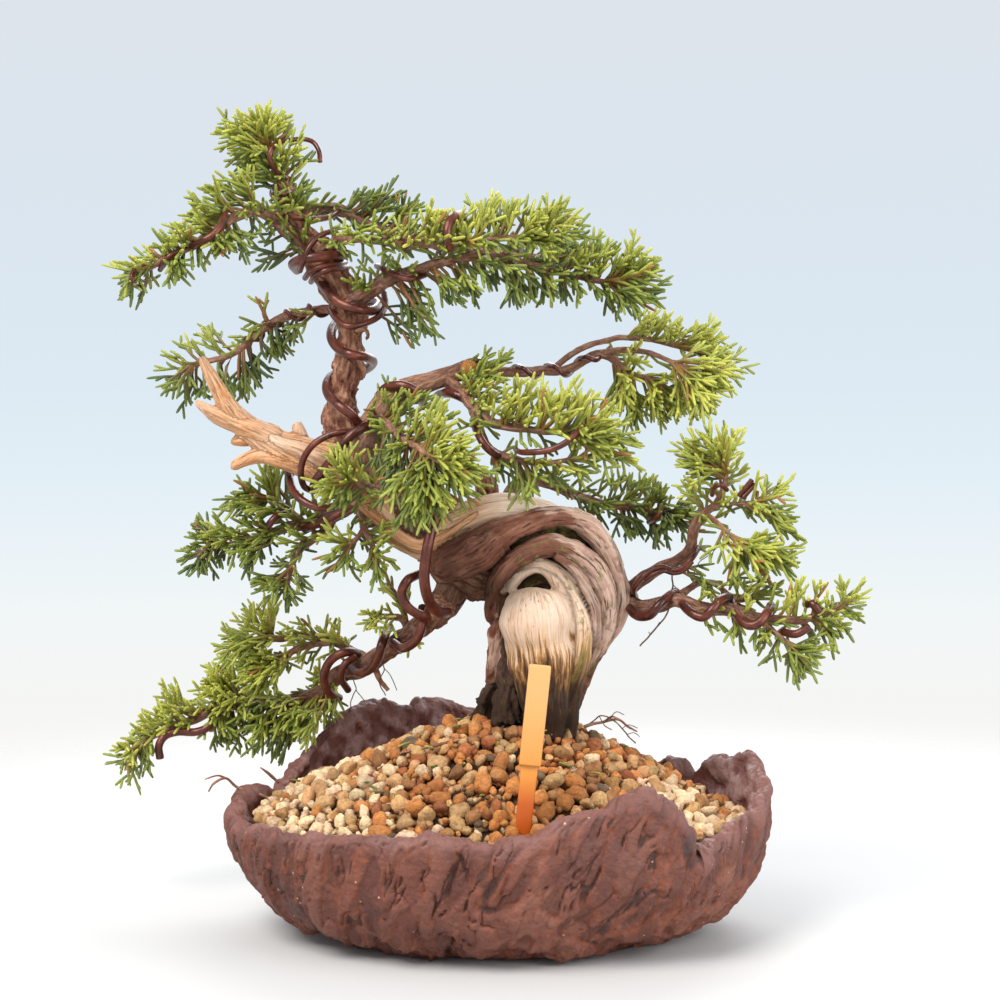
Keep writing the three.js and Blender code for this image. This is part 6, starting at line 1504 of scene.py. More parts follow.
@dataclass(frozen=True)
class TrunkFinish:
    """Bleached wood, live veins and flaking bark, told apart by numbers on the mesh; darker near the grit,
    with painted shade in creases, under the arm and in the hollow.
    """

    bleached: tuple = srgb(248, 224, 204)
    weathered: tuple = srgb(128, 86, 48)
    split: tuple = srgb(84, 54, 32)
    vein_shade: tuple = srgb(72, 42, 30)
    vein_crack: tuple = srgb(46, 28, 21)
    scab: tuple = srgb(74, 52, 42)
    bark_shade: tuple = srgb(36, 23, 17)
    lichen: tuple = srgb(206, 186, 122)
    # darker near the grit, with painted shade under the arm and a painted shadow in the hollow
    damp: tuple = srgb(52, 35, 21)
    # painted shade for creases and the seams between strands
    crease: tuple = srgb(34, 22, 14)

    def make(self) -> bpy.types.Material:
        """Builds the material."""
        g = Graph("trunk_wood")
        tone, moss = g.value("tone"), g.value("moss")
        wood = g.value("wood").stretched(0.35, 0.65)
        vein = g.value("vein").stretched(0.35, 0.65)
        live = 1 - (wood + vein).clamped()
        fibre = g.fibres(5, 0.62, 1.6, 0.07)
        streak = g.fibres(4, 0.6, 0.9, 0.035)
        crack = g.fibres(3, 0.55, 1.5, 0.1).stretched(0.33, 0.4, 1, 0)
        flake = g.fibres(5, 0.65, 0.7, 0.2)
        patch = g.spots(75, 4)

        colour = self.wood(g, fibre, streak, crack, patch)
        colour = g.mix(colour, self.vein(g, fibre, streak, crack, patch), vein)
        bark = g.ramp(flake, (0.3, srgb(60, 34, 24)), (0.46, srgb(130, 82, 62)), (0.64, srgb(194, 146, 116)))
        bark = g.mix(bark, self.bark_shade, tone.stretched(0.2, 1.0, 0, 0.85))
        colour = g.mix(colour, bark, live)

        green = g.ramp(g.spots(420, 4), (0.35, srgb(58, 56, 22)), (0.65, srgb(128, 124, 58)))
        blot = g.fibres(5, 0.7, 0.5, 0.14) * 0.6 + g.spots(420, 4, 0.7) * 0.4
        mossy = (blot + moss * 0.2).stretched(0.59, 0.67) * moss.stretched(0, 0.4)
        colour = g.mix(colour, self.lichen, moss.stretched(0.2, 1.0, 0, 0.4) * wood)
        colour = g.mix(colour, green, mossy * 0.86)
        # darker near the grit, with painted shade under the arm and a painted shadow in the hollow
        colour = g.mix(colour, self.damp, g.value("damp") * 0.84)
        # painted shade in the creases and along the seams between strands
        colour = g.mix(colour, self.crease, g.value("crease").stretched(0.0, 1.0, 0, 0.88))
        relief = (fibre * 0.6 + crack * -0.5 + streak * 0.4) * (vein * 0.6 + wood * (tone + 0.25))
        rough = (wood.stretched(0, 1, 0.74, 0.64) + g.value("damp") * 0.2).clamped()
        return g.finish(Base_Color=colour, Roughness=rough, Specular_IOR_Level=0.35,
                        Normal=g.bump(relief + flake * live, 0.0011))

    def wood(self, g: Graph, fibre: Socket, streak: Socket, crack: Socket, patch: Socket) -> Socket:
        """The bare wood: pale where it is bleached, tan in the shade, and stained low on the trunk.

        Args:
            g: the material's graph.
            fibre: fine lines along the grain.
            streak: long streaks along it.
            crack: the dark cracks.
            patch: broad patches over the whole tree.

        Returns:
            The colour.
        """
        tone, low = g.value("tone"), g.value("low")
        pale = g.ramp(fibre, (0.3, srgb(176, 136, 106)), (0.42, srgb(214, 182, 155)),
                      (0.66, srgb(228, 203, 181)))
        tan = g.ramp(fibre, (0.3, srgb(152, 88, 46)), (0.46, srgb(202, 142, 94)), (0.68, srgb(226, 182, 140)))
        colour = g.mix(pale, tan, (tone * 2.2 + patch.stretched(0.4, 0.7, -0.15, 0.25)).clamped())
        colour = g.mix(colour, self.bleached, (tone * -8 * fibre.stretched(0.34, 0.6)).clamped())
        worn = (0.18 + tone + low * 0.6).clamped()
        colour = g.mix(colour, self.weathered, streak.stretched(0.34, 0.44, 0.8, 0) * worn)
        nick = g.fibres(2, 0.5, 1.1, 0.34).stretched(0.68, 0.72) * patch.stretched(0.46, 0.56)
        crack = crack * (0.1 + low * 0.5 + patch.stretched(0.5, 0.6, 0, 0.3))
        colour = g.mix(colour, self.split, (crack + nick * 0.6).clamped())
        low = (low + (streak - 0.5) * low.stretched(0.0, 0.25) * 2.2).clamped()
        stain = (1 - fibre) * 0.5 + (1 - streak) * 0.3 + low * 0.62 - 0.14
        stained = g.ramp(stain, (0.36, srgb(214, 174, 124)), (0.5, srgb(168, 120, 66)),
                         (0.64, srgb(104, 68, 36)), (0.8, srgb(50, 32, 20)))
        return g.mix(colour, stained, low.stretched(0.04, 0.42))

    def vein(self, g: Graph, fibre: Socket, streak: Socket, crack: Socket, patch: Socket) -> Socket:
        """The live veins: a brown skin that peels from a bare one.

        Args:
            g: the material's graph.
            fibre: fine lines along the grain.
            streak: long streaks along it.
            crack: the dark cracks.
            patch: broad patches over the whole tree.

        Returns:
            The colour.
        """
        plate = g.fibres(3, 0.55, 0.3, 0.09)
        skin = g.ramp(patch * 0.4 + plate * 0.35 + fibre * 0.25, (0.34, srgb(70, 37, 24)),
                      (0.48, srgb(124, 74, 54)), (0.62, srgb(178, 128, 104)))
        bare = g.ramp(fibre * 0.35 + plate * 0.35 + patch * 0.3, (0.34, srgb(138, 94, 74)),
                      (0.46, srgb(202, 162, 140)), (0.62, srgb(236, 206, 186)))
        peel = (g.fibres(4, 0.6, 0.22, 0.07) + g.value("peel") * 0.3 - 0.15).stretched(0.47, 0.58)
        shade = (g.value("tone") * 0.75 + streak.stretched(0.33, 0.43, 0.3, 0)).clamped()
        colour = g.mix(g.mix(skin, bare, peel), self.vein_shade, shade)
        colour = g.mix(colour, self.vein_crack, crack * 0.8)
        scab = g.fibres(3, 0.6, 0.34, 0.2).stretched(0.55, 0.6) * patch.stretched(0.4, 0.6)
        return g.mix(colour, self.scab, scab * 0.5)


@dataclass
class Trunk:
    """The grown whole: stock, twisting strands, arm, dead branch and leader."""

    strands: dict[str, Strand] = field(default_factory=lambda: STRANDS)
    voxel: float = 0.5
    spacing: float = 1.0
    sides: int = 26
    soil: float = 62.0
    strand_gap: float = 40.0
    chunk: int = 20000
    folded: tuple = ("dome", "lip", "inner_vein", "outer_vein", "twist", "left_vein", "top_shari", "filler")
    finish: TrunkFinish = TrunkFinish()

    def tubes(self) -> bpy.types.Object:
        """Makes the strands as overlapping tubes."""
        surface = Surface()
        for number, strand in enumerate(self.strands.values()):
            path = resampled(strand.stations, self.spacing)
            ring = spokes(*carried_frames(path)[1:], self.sides)
            centre = path[:, None, :3]
            near = (centre + ring * 4).reshape(-1, 3)
            uneven = 1 + 0.13 * Noise(50 + number).layers(near, 9, 2).reshape(len(path), -1)
            places = centre + ring * (path[:, 3:] * uneven)[..., None]
            surface.add(places.reshape(-1, 3), ring_faces(len(path), self.sides))
        return surface.build("strands")

    def grown(self) -> tuple[Array, list[Array]]:
        """Grows the tubes together.

        Returns:
            Points in millimetres, and their faces.
        """
        tubes = self.tubes()
        whole = tubes.modifiers.new("grow", "REMESH")
        whole.mode = "VOXEL"
        whole.voxel_size = self.voxel * MM
        soft = tubes.modifiers.new("soften", "SMOOTH")
        soft.factor = 0.5
        soft.iterations = 3
        settle(tubes)
        mesh = tubes.data
        places = np.empty(len(mesh.vertices) * 3)
        mesh.vertices.foreach_get("co", places)
        corners = np.empty(len(mesh.loops), np.int32)
        mesh.loops.foreach_get("vertex_index", corners)
        sizes = np.empty(len(mesh.polygons), np.int32)
        mesh.polygons.foreach_get("loop_total", sizes)
        starts = np.cumsum(sizes) - sizes
        faces = [corners[starts[sizes == n][:, None] + np.arange(n)] for n in (3, 4) if (sizes == n).any()]
        bpy.data.objects.remove(tubes)
        return places.reshape(-1, 3) / MM, faces

    def nearest(self, places: Array) -> dict[str, Array]:
        """Finds each point's strand, and where it is along and around it.

        Args:
            places: points of the grown surface.

        Returns:
            The strand's number, the grain's coordinates, and how near the point is to the next fold.
        """
        best = np.full(len(places), np.inf)
        next_best, parted = best.copy(), np.zeros(len(places), bool)
        number = np.zeros(len(places), int)
        grain = np.zeros((len(places), 3))
        for i, (name, strand) in enumerate(self.strands.items()):
            path = resampled(strand.stations, self.spacing)
            tangent, normal, cross = carried_frames(path)
            run = np.arange(len(path)) * self.spacing
            low = path[:, :3].min(0) - path[:, 3].max() - 6
            high = path[:, :3].max(0) + path[:, 3].max() + 6
            here = np.flatnonzero(((places > low) & (places < high)).all(1))
            for chunk in np.array_split(here, max(1, len(here) // self.chunk)):
                gap = np.linalg.norm(places[chunk, None] - path[None, :, :3], axis=2) - path[:, 3]
                at = gap.argmin(1)
                value = gap[np.arange(len(chunk)), at]
                off = places[chunk] - path[at, :3]
                u, v = (off * normal[at]).sum(1), (off * cross[at]).sum(1)
                along = run[at] + (off * tangent[at]).sum(1)
                angle, reach = np.arctan2(v, u), np.maximum(path[at, 3], 1.5)
                closer = value < best[chunk]
                if name in self.folded:
                    passed = np.where(parted[chunk], best[chunk], np.inf)
                    next_best[chunk] = np.minimum(next_best[chunk], np.where(closer, passed, value))
                won = chunk[closer]
                best[won] = value[closer]
                parted[won] = name in self.folded
                number[won] = i
                grain[won] = (ringed(angle, reach, along) + (self.strand_gap * i, 0, 0))[closer]
        seam = parted * (1 - smoothstep(0.1, 0.95, next_best - best))
        return {"number": number, "grain": grain, "seam": seam}

    def build(self) -> bpy.types.Object:
        """Makes the trunk."""
        places, faces = self.grown()
        log.info("trunk: %d points grown", len(places))
        found = self.nearest(places)
        grain, kinds = found["grain"], list(self.strands.values())
        tissue = np.array([kind.tissue.value for kind in kinds])[found["number"]]
        looks = np.array([(kind.tone, kind.moss, kind.flute) for kind in kinds])
        tone, moss, flute = looks[found["number"]].T
        wooden, living = tissue == Tissue.WOOD.value, tissue == Tissue.VEIN.value

        wide = Noise(61).layers(grain, (3.2, 3.2, 30), 3)
        fine = Noise(62).layers(grain, (1.3, 1.3, 14), 2)
        cracks = 1 - smoothstep(0.0, 0.12, np.abs(Noise(63).layers(grain, (2.6, 2.6, 20), 2)))
        flakes = Noise(64).layers(grain, (2.4, 2.4, 7), 3)
        plates = Noise(66).layers(grain, (2.8, 2.8, 5.5), 2)
        lumps = Noise(65).layers(places, 7, 2)
        rind = 0.5 + 0.6 * smoothstep(6, -6, places[:, 0])
        move = np.select(
            [wooden, living],
            [(0.34 * wide + 0.12 * fine - 0.4 * cracks * smoothstep(0.0, 0.5, wide)) * flute + 0.15 * lumps,
             (0.42 * wide + 0.2 * fine) * flute - 0.35 * cracks * smoothstep(0.1, 0.5, flakes) + 0.35 * lumps
             + 0.45 * rind * smoothstep(-0.04, 0.04, plates) + 0.25 * rind * flakes],
            (0.6 * flakes + 0.45 * lumps + 0.5 * smoothstep(-0.05, 0.05, plates)) * flute - 0.3)
        normal = normals_of(places, faces)
        # seam and crease: painted shade in the hollows of the surface and along the seams between strands;
        # both also press the surface in
        seam = found["seam"] * (0.6 + 0.4 * smoothstep(-0.4, 0.3, wide))
        crease = smoothstep(0.08, 0.54, hollows(places, normal, faces))
        crease *= np.where(wooden & (places[:, 0] < -20), 0.35, 1.0)
        crease = softened(np.clip(crease + 0.75 * seam, 0, 1)[:, None], faces, 3)[:, 0]
        move -= 0.7 * crease + 0.5 * softened(seam[:, None], faces, 3)[:, 0]
        places = places + normal * move[:, None]

        x, y, height = places.T
        # darker near the grit; under is painted shade below the arm, and hollow adds a painted shadow inside
        # the hollow
        damp = 1 - smoothstep(self.soil + 2, self.soil + 16, height + 3 * lumps + 2 * wide)
        hollow = np.exp(-((x - 11) / 5) ** 2 - ((height - 104.8) / 2.0) ** 2) * smoothstep(-12, -9, y)
        under = np.exp(-((x + 7) / 13) ** 2 - ((height - 102) / 6) ** 2)
        damp = damp * np.where(wooden, 0.5, 1.0) + 0.8 * under
        damp = np.clip(damp + 0.8 * hollow * smoothstep(2, -6, y) * smoothstep(-16, -9, y), 0, 1)
        moss = moss * smoothstep(70, 80, height) + 0.2 * (1 - smoothstep(70, 92, height)) + 0.9 * hollow
        arm = smoothstep(4, -9, x) * (1 - smoothstep(118, 123, height)) * smoothstep(96, 102, height)
        tan = smoothstep(3, -9, x) * smoothstep(106, 112, height) * (x > -44)
        tone = tone + 0.4 * arm * living + 0.42 * tan * wooden
        peel = 1.2 * smoothstep(6, 32, x) * smoothstep(72, 90, height) - 0.35 * arm
        peel += 0.6 * smoothstep(3, -1, x) * (1 - smoothstep(92, 97, height))
        low = (1 - smoothstep(66, 93, height + 4 * wide + 5 * fine)) * (height < 100)
        surface = Surface()
        surface.add(places, faces, grain=grain, tone=np.clip(tone, -1, 1), moss=np.clip(moss, 0, 1), low=low,
                    damp=damp, peel=peel, crease=crease, wood=wooden.astype(float), vein=living.astype(float))
        return install(surface.build("trunk_grown", self.finish.make()), "trunk", "trunk")


def hollows(places: Array, normal: Array, faces: list[Array], rounds: int = 10) -> Array:
    """How far each point of a mesh lies below its smoothed surroundings.

    Args:
        places: its points.
        normal: their outward directions.
        faces: its faces, by number of corners.
        rounds: how many times the surroundings are smoothed.

    Returns:
        A depth for each point, negative on ridges.
    """
    return ((softened(places, faces, rounds) - places) * normal).sum(1)


def softened(values: Array, faces: list[Array], rounds: int) -> Array:
    """Evens out values given at a mesh's points.

    Args:
        values: a row of numbers for each point.
        faces: the mesh's faces, by number of corners.
        rounds: how many times each point takes the mean of its neighbours.

    Returns:
        The softened rows.
    """
    pairs = np.vstack([np.stack([group[:, i], group[:, i - 1]], 1) for group in faces
                       for i in range(group.shape[1])])
    near, far = np.vstack([pairs, pairs[:, ::-1]]).T
    share = np.bincount(near, minlength=len(values))[:, None]
    for _ in range(rounds):
        values = np.stack([np.bincount(near, column[far], len(values)) for column in values.T], 1) / share
    return values


def normals_of(places: Array, faces: list[Array]) -> Array:
    """Outward directions at a mesh's points.

    Args:
        places: its points.
        faces: its faces, by number of corners.

    Returns:
        One unit direction for each point.
    """
    total = np.zeros_like(places)
    for group in faces:
        first, second, last = (places[group[:, i]] for i in (0, 1, -1))
        across = np.cross(second - first, last - first)
        for corner in range(group.shape[1]):
            for axis in range(3):
                total[:, axis] += np.bincount(group[:, corner], across[:, axis], len(places))
    return total / (np.linalg.norm(total, axis=1)[:, None] + 1e-12)


@dataclass(frozen=True)
class BarkFinish:
    """Flaking red-brown bark on the branches."""

    lichen: tuple = srgb(150, 134, 122)
    cut: tuple = srgb(206, 138, 70)

    def make(self) -> bpy.types.Material:
        """Builds the material."""
        g = Graph("branch_bark")
        flake = g.fibres(5, 0.65, 0.9, 0.3)
        thick = g.ramp(flake, (0.3, srgb(58, 34, 26)), (0.5, srgb(122, 78, 60)), (0.68, srgb(180, 134, 106)))
        thin = g.ramp(flake, (0.3, srgb(96, 58, 42)), (0.5, srgb(142, 96, 74)), (0.7, srgb(186, 146, 116)))
        colour = g.mix(thick, thin, g.value("slim"))
        colour = g.mix(colour, self.lichen, g.spots(260, 4).stretched(0.5, 0.72, 0, 0.4))
        colour = g.mix(colour, self.cut, g.value("cut"))
        return g.finish(Base_Color=colour, Roughness=0.78, Normal=g.bump(flake, 0.0012))


@dataclass
class Branches:
    """The branches with their bark, one piece for each branch of the frame."""

    spacing: float = 0.8
    finish: BarkFinish = BarkFinish()

    def limb(self, surface: Surface, stations: list, number: int, even: bool) -> None:
        """Adds one limb to a surface.

        Args:
            surface: where it goes.
            stations: rows of x, y, z and radius.
            number: tells limbs apart in the noise.
            even: whether its bark is young and smooth.
        """
        path = resampled(stations, self.spacing)
        path[:, :3] += 0.22 * np.stack([Noise(70 + i).at(path[:, :3] + 9 * number, 6) for i in range(3)], 1)
        radius = path[:, 3]
        sides = int(10 + 4 * radius.max())
        turn = even_angles(sides)
        ring = spokes(*carried_frames(path)[1:], sides)
        along = np.arange(len(path)) * self.spacing
        grain = np.stack([radius[:, None] * np.cos(turn) + 31 * number, radius[:, None] * np.sin(turn),
                          np.repeat(along[:, None], sides, 1)], 2).reshape(-1, 3)
        size = np.clip(radius.max(), 1.2, 4)
        flakes = Noise(75).layers(grain, (size * 0.75, size * 0.75, size * 2.2), 3).reshape(len(path), -1)
        knots = Noise(76).at(path[:, :3] + 5 * number, 4.5)[:, None]
        uneven = 1 + (0.04 if even else 0.17) * flakes + 0.14 * np.maximum(knots, -0.2)
        places = path[:, None, :3] + ring * (radius[:, None] * uneven)[..., None]
        slim = np.repeat(np.maximum(1 - smoothstep(0.9, 2.4, radius), float(even)), sides)
        cut = np.repeat(smoothstep(-0.9, -0.7, along - along[-1]) * (radius[-1] > 2), sides)
        surface.add(places.reshape(-1, 3), ring_faces(len(path), sides), grain=grain, slim=slim, cut=cut)

    def build(self) -> None:
        """Makes every branch and the two roots on the grit."""
        material = self.finish.make()
        for number, (name, limbs) in enumerate({**BRANCHES, **ROOTS}.items()):
            surface = Surface()
            for part, stations in enumerate(limbs):
                self.limb(surface, stations, 7 * number + part, name == "branch_centre" and part == 0)
            # the frame keeps the upper limb of one branch as a node of its own
            nodes = [node for node in (name, name + "_upper") if node in bpy.data.objects]
            install(surface.build(name + "_bark", material), "bark", *nodes)


# ---- wire ----------------------------------------------------------------------------------------
@dataclass(frozen=True)
class WireFinish:
    """Brown-coated aluminium training wire, with a soft shine."""

    dust: tuple = srgb(150, 118, 98)

    def make(self) -> bpy.types.Material:
        """Builds the material."""
        g = Graph("coated_wire")
        patch = g.spots(190, 4)
        colour = g.ramp(patch, (0.32, srgb(62, 26, 17)), (0.55, srgb(94, 42, 28)), (0.75, srgb(124, 65, 46)))
        colour = g.mix(colour, self.dust, g.spots(520, 4, 0.6).stretched(0.6, 0.76, 0, 0.35))
        return g.finish(Base_Color=colour, Metallic=0.25, Roughness=patch.stretched(0.3, 0.75, 0.27, 0.42),
                        Normal=g.bump(g.spots(700, 3), 0.00012), Specular_IOR_Level=0.5)


def bend_wire(surface: Surface, radius: float, stations: list | Array, sides: int = 14) -> None:
    """Adds one wire with rounded ends.

    Args:
        surface: where it goes.
        radius: the wire's radius.
        stations: its centre line.
        sides: points round it.
    """
    path = resampled(stations, 0.6)
    tangent, normal, cross = carried_frames(path)
    ring = spokes(normal, cross, sides) * radius
    rounding = ((0.3, 0.55), (0.22, 0.82), (0.1, 0.95))
    lead = [path[0] - tangent[0] * radius * out + ring[0] * share for out, share in rounding]
    tail = [path[-1] + tangent[-1] * radius * out + ring[-1] * share for out, share in reversed(rounding)]
    rows = [*lead, *(path[:, None] + ring), *tail]
    surface.add(np.vstack(rows), ring_faces(len(rows), sides))


@dataclass
class Wires:
    """The training wires, each traced round its branch."""

    finish: WireFinish = WireFinish()

    def build(self) -> None:
        """Makes every wire."""
        material = self.finish.make()
        for name, runs in WIRES.items():
            surface = Surface()
            for radius, stations in runs:
                bend_wire(surface, radius, stations)
            install(surface.build(name + "_bent", material), "wire", name)


# ---- foliage -------------------------------------------------------------------------------------
@dataclass(frozen=True)
class LeafFinish:
    """Scale leaves: yellow-green at the tips, brown on old stems, with painted light and shade: dark inside
    and below, brighter above.
    """

    dry: tuple = srgb(150, 96, 52)

    def make(self) -> bpy.types.Material:
        """Builds the material."""
        g = Graph("scale_leaves")
        age, light = g.value("age"), g.value("light")
        # light is painted light and shade: the ramps run from shaded cords to lit ones
        dark = g.ramp(light, (0.0, srgb(42, 54, 24)), (0.5, srgb(82, 94, 30)), (1.0, srgb(132, 136, 42)))
        tip = g.ramp(light, (0.0, srgb(80, 96, 42)), (0.5, srgb(132, 142, 52)), (1.0, srgb(186, 186, 82)))
        colour = g.mix(dark, tip, age.stretched(0.2, 0.95))
        colour = g.shaded(colour, g.spots(420, 3, 0.6), (0.3, (0.84, 0.86, 0.82, 1)),
                          (0.7, (1.12, 1.1, 1.04, 1)))
        colour = g.mix(colour, self.dry, g.value("dry"))
        scale = g.node("ShaderNodeMath", {"operation": "SINE"}, {0: g.value("along") * 6.2})
        return g.finish(Base_Color=colour, Roughness=0.55, Normal=g.bump(scale, 0.00002),
                        Subsurface_Weight=0.12, Subsurface_Scale=0.001)


@dataclass
class Foliage:
    """Sprays of cord-like shoots, fanned from the branches out to their tips."""

    spacing: float = 1.2
    depth: float = 10.0
    extra: int = 2
    cover_share: float = 0.6
    cover_reach: float = 11.0
    sweep: float = 0.45
    shortest: float = 2.5
    nub_lengths: tuple[float, float] = (4.6, 8.6)
    seed: int = 300
    step: float = 4.4
    cord: float = 0.52
    shrink: float = 0.93
    brown_share: float = 0.012
    fullness: dict[str, float] = field(default_factory=lambda: {
        "foliage_top_right": 0.85, "foliage_front": 0.9, "foliage_centre_low": 0.85, "foliage_behind": 1.0,
        "foliage_top_left": 1.0, "foliage_centre": 0.7, "foliage_apex": 0.9, "foliage_low_left": 0.95,
        "foliage_left": 0.95, "foliage_right": 0.6, "foliage_low_right": 0.65, "foliage_twig": 0.8})
    # how much lighter or darker each pad is painted, as painted light and shade
    painted_light: dict[str, float] = field(default_factory=lambda: {
        "foliage_centre": 0.44, "foliage_front": -0.08, "foliage_centre_low": 0.08, "foliage_right": 0.13,
        "foliage_low_right": 0.05, "foliage_behind": -0.15, "foliage_left": -0.16, "foliage_apex": 0.05,
        "foliage_top_right": -0.15, "foliage_top_left": -0.12, "foliage_low_left": 0.3})
    sides: int = 6
    finish: LeafFinish = LeafFinish()

    def cords(self, base: Array, tip: Array, along: Array, light: float, draw: np.random.Generator) -> list:
        """The cords of one spray.

        Args:
            base: where it leaves the branch.
            tip: its end.
            along: the branch's direction.
            light: how bright it is painted, as painted light and shade.
            draw: the seeded draw.

        Returns:
            Rows of start, two middle points, end, radius, starting age, ending age, light and dryness.
        """
        reach = tip - base
        length = np.linalg.norm(reach)
        if length < self.shortest:
            return []
        ahead = reach / length
        bend = draw.normal(0, 0.08, 3) * length
        first = base + ahead * length * 0.35 + along * length * 0.10 + bend
        second = base + ahead * length * 0.72 + bend * 0.6
        old = 0.15 if length > 9 else 0.3
        dry = 0.85 if length > 10 else 0.2
        rows = [(base, first, second, tip, self.cord, old, 1.0, light, dry)]
        normal = draw.normal(0, 0.7, 3) + (0, -0.8, 0.2)
        side = np.cross(ahead, normal)
        side /= np.linalg.norm(side) + 1e-9
        count = max(1, int(length / self.step))
        for i in range(count):
            t = 0.22 + 0.58 * (i + draw.uniform(0.2, 0.8)) / count
            start = sum(share * point for share, point in zip(bezier_shares(t), (base, first, second, tip)))
            way = 1 if i % 2 else -1
            angle = draw.uniform(0.45, 0.85)
            aim = ahead * math.cos(angle) + side * way * math.sin(angle) + draw.normal(0, 0.13, 3)
            aim /= np.linalg.norm(aim)
            long = min((1 - t) * length * 0.7 + 3.0, 9) * draw.uniform(0.75, 1.1)
            end = start + aim * long + ahead * long * 0.12
            near, far = start + aim * long * 0.35, start + aim * long * 0.7 + ahead * long * 0.04
            girth = self.cord * draw.uniform(0.84, 1.0)
            rows.append((start, near, far, end, girth, old + 0.5 * t, 0.95, light, 0.0))
            for nub in range(sum(long > least for least in self.nub_lengths)):
                u = 0.34 + 0.26 * nub + draw.uniform(-0.06, 0.1)
                root = start + (end - start) * u
                turn = (1 if nub % 2 else -1) * way
                lean = aim * 0.8 + side * 0.62 * turn + draw.normal(0, 0.15, 3)
                lean /= np.linalg.norm(lean)
                short = draw.uniform(2.8, 5.0)
                rows.append((root, root + lean * short * 0.4, root + lean * short * 0.75, root + lean * short,
                             self.cord * 0.85, old + 0.5 * t + 0.1, 0.95, light, 0.0))
        return rows

    def tubes(self, rows: list, draw: np.random.Generator) -> Surface:
        """Turns cords into tubes.

        Args:
            rows: cords, from the method above.
            draw: the seeded draw.

        Returns:
            The surface.
        """
        points = np.array([row[:4] for row in rows])
        radius, old, new, light, dry = np.array([row[4:] for row in rows]).T
        marks = np.array([0, 0.3, 0.6, 0.84, 0.96, 1.0])
        girth = np.array([0.82, 0.94, 1.0, 0.92, 0.68, 0.3])
        line = np.einsum("mk,nkc->nmc", bezier_shares(marks), points)
        ahead = np.gradient(line, axis=1)
        ahead /= np.linalg.norm(ahead, axis=2, keepdims=True) + 1e-9
        up = np.where(np.abs(ahead[..., 2:]) < 0.9, [0.0, 0.0, 1.0], [1.0, 0.0, 0.0])
        one = np.cross(ahead, up)
        one /= np.linalg.norm(one, axis=2, keepdims=True)
        size = radius[:, None] * girth * draw.uniform(0.95, 1.06, (len(rows), len(marks)))
        places = line[:, :, None] + spokes(one, np.cross(ahead, one), self.sides) * size[:, :, None, None]
        faces = ring_faces(len(marks), self.sides, capped=False)[0]
        block = len(marks) * self.sides
        start = (np.arange(len(rows)) * block)[:, None, None]
        quads = (faces[None] + start).reshape(-1, 4)
        caps = (np.arange(self.sides)[None, None] + block - self.sides + start).reshape(-1, self.sides)
        age = old[:, None] + (new - old)[:, None] * marks
        length = np.linalg.norm(points[:, 3] - points[:, 0], axis=1)
        # each cord's painted light and shade, a little varied
        painted_light = np.clip(light + draw.normal(0, 0.09, len(rows)), 0, 1)
        brown = np.clip(dry[:, None] * (1 - marks / 0.75), 0, 1)
        brown = np.maximum(brown, (draw.random(len(rows)) < self.brown_share)[:, None] * 0.9)
        along = length[:, None] * marks
        values = {"age": age, "along": along, "light": np.repeat(painted_light, len(marks)), "dry": brown}
        surface = Surface()
        surface.add(places.reshape(-1, 3), [quads, caps],
                    **{key: np.repeat(numbers.ravel(), self.sides) for key, numbers in values.items()})
        return surface

    def pad(self, name: str, lines: list, material: bpy.types.Material, draw: np.random.Generator
            ) -> bpy.types.Object:
        """Makes one pad.

        Args:
            name: the frame's node.
            lines: the branch lines that carry it.
            material: its finish.
            draw: the seeded draw.

        Returns:
            The pad.
        """
        paths = [resampled(line, self.spacing) for line in lines]
        every = np.vstack([path[:, :3] for path in paths])
        ways = np.vstack([carried_frames(path)[0] for path in paths])
        ends = np.cumsum([len(path) for path in paths])
        painted_light, full = self.painted_light.get(name, 0.0), self.fullness.get(name, 0.5)
        tips, rows = np.array(TIPS[name], float), []
        for tip in tips:
            for layer in range(1 + self.extra):
                there = tip.copy()
                if layer and draw.random() > full:
                    continue
                if layer:
                    there[1] += draw.uniform(0.35, 1.0) * self.depth * (-1) ** layer
                    there[[0, 2]] += draw.normal(0, 1.6, 2)
                gap = np.linalg.norm(every - there, axis=1)
                near = int(gap.argmin())
                first = ends[np.searchsorted(ends, near, side="right") - 1] if near >= ends[0] else 0
                back = max(first, near - int(self.sweep * gap[near] / self.spacing))
                base = every[back]
                there = base + (there - base) * (draw.uniform(0.6, 0.88) if layer else self.shrink)
                # painted light and shade: rising sprays lighter, those further back and the back layer darker
                above = (there[2] - base[2]) / (np.linalg.norm(there - base) + 1e-6)
                light = 0.47 + 0.28 * above - 0.014 * (there[1] - every[:, 1].mean())
                light += draw.normal(0, 0.09) + painted_light - 0.12 * (layer == 2)
                rows += self.cords(base, there, ways[back], float(np.clip(light, 0.05, 1)), draw)
        for path in paths:
            ahead = carried_frames(path)[0]
            gap = np.linalg.norm(path[:, None, :3] - tips, axis=2).min(1)
            for at in np.flatnonzero(gap < self.cover_reach):
                if draw.random() > self.cover_share * full * full:
                    continue
                reach = draw.uniform(5, 10)
                aim = ahead[at] * draw.uniform(0.2, 1.0) + draw.normal(0, 0.55, 3)
                aim += (0, draw.choice([-1.1, -0.8, 0.9]), 0.25)
                there = path[at, :3] + aim / np.linalg.norm(aim) * reach
                # painted light and shade: upward sprays lighter, backward ones darker
                light = 0.42 + 0.2 * aim[2] - 0.12 * aim[1] + painted_light
                rows += self.cords(path[at, :3], there, ahead[at], float(np.clip(light, 0.1, 0.9)), draw)
        surface = self.tubes(rows, draw)
        log.info("%s: %d cords", name, len(rows))
        return install(surface.build(name + "_sprays", material), "foliage", name)

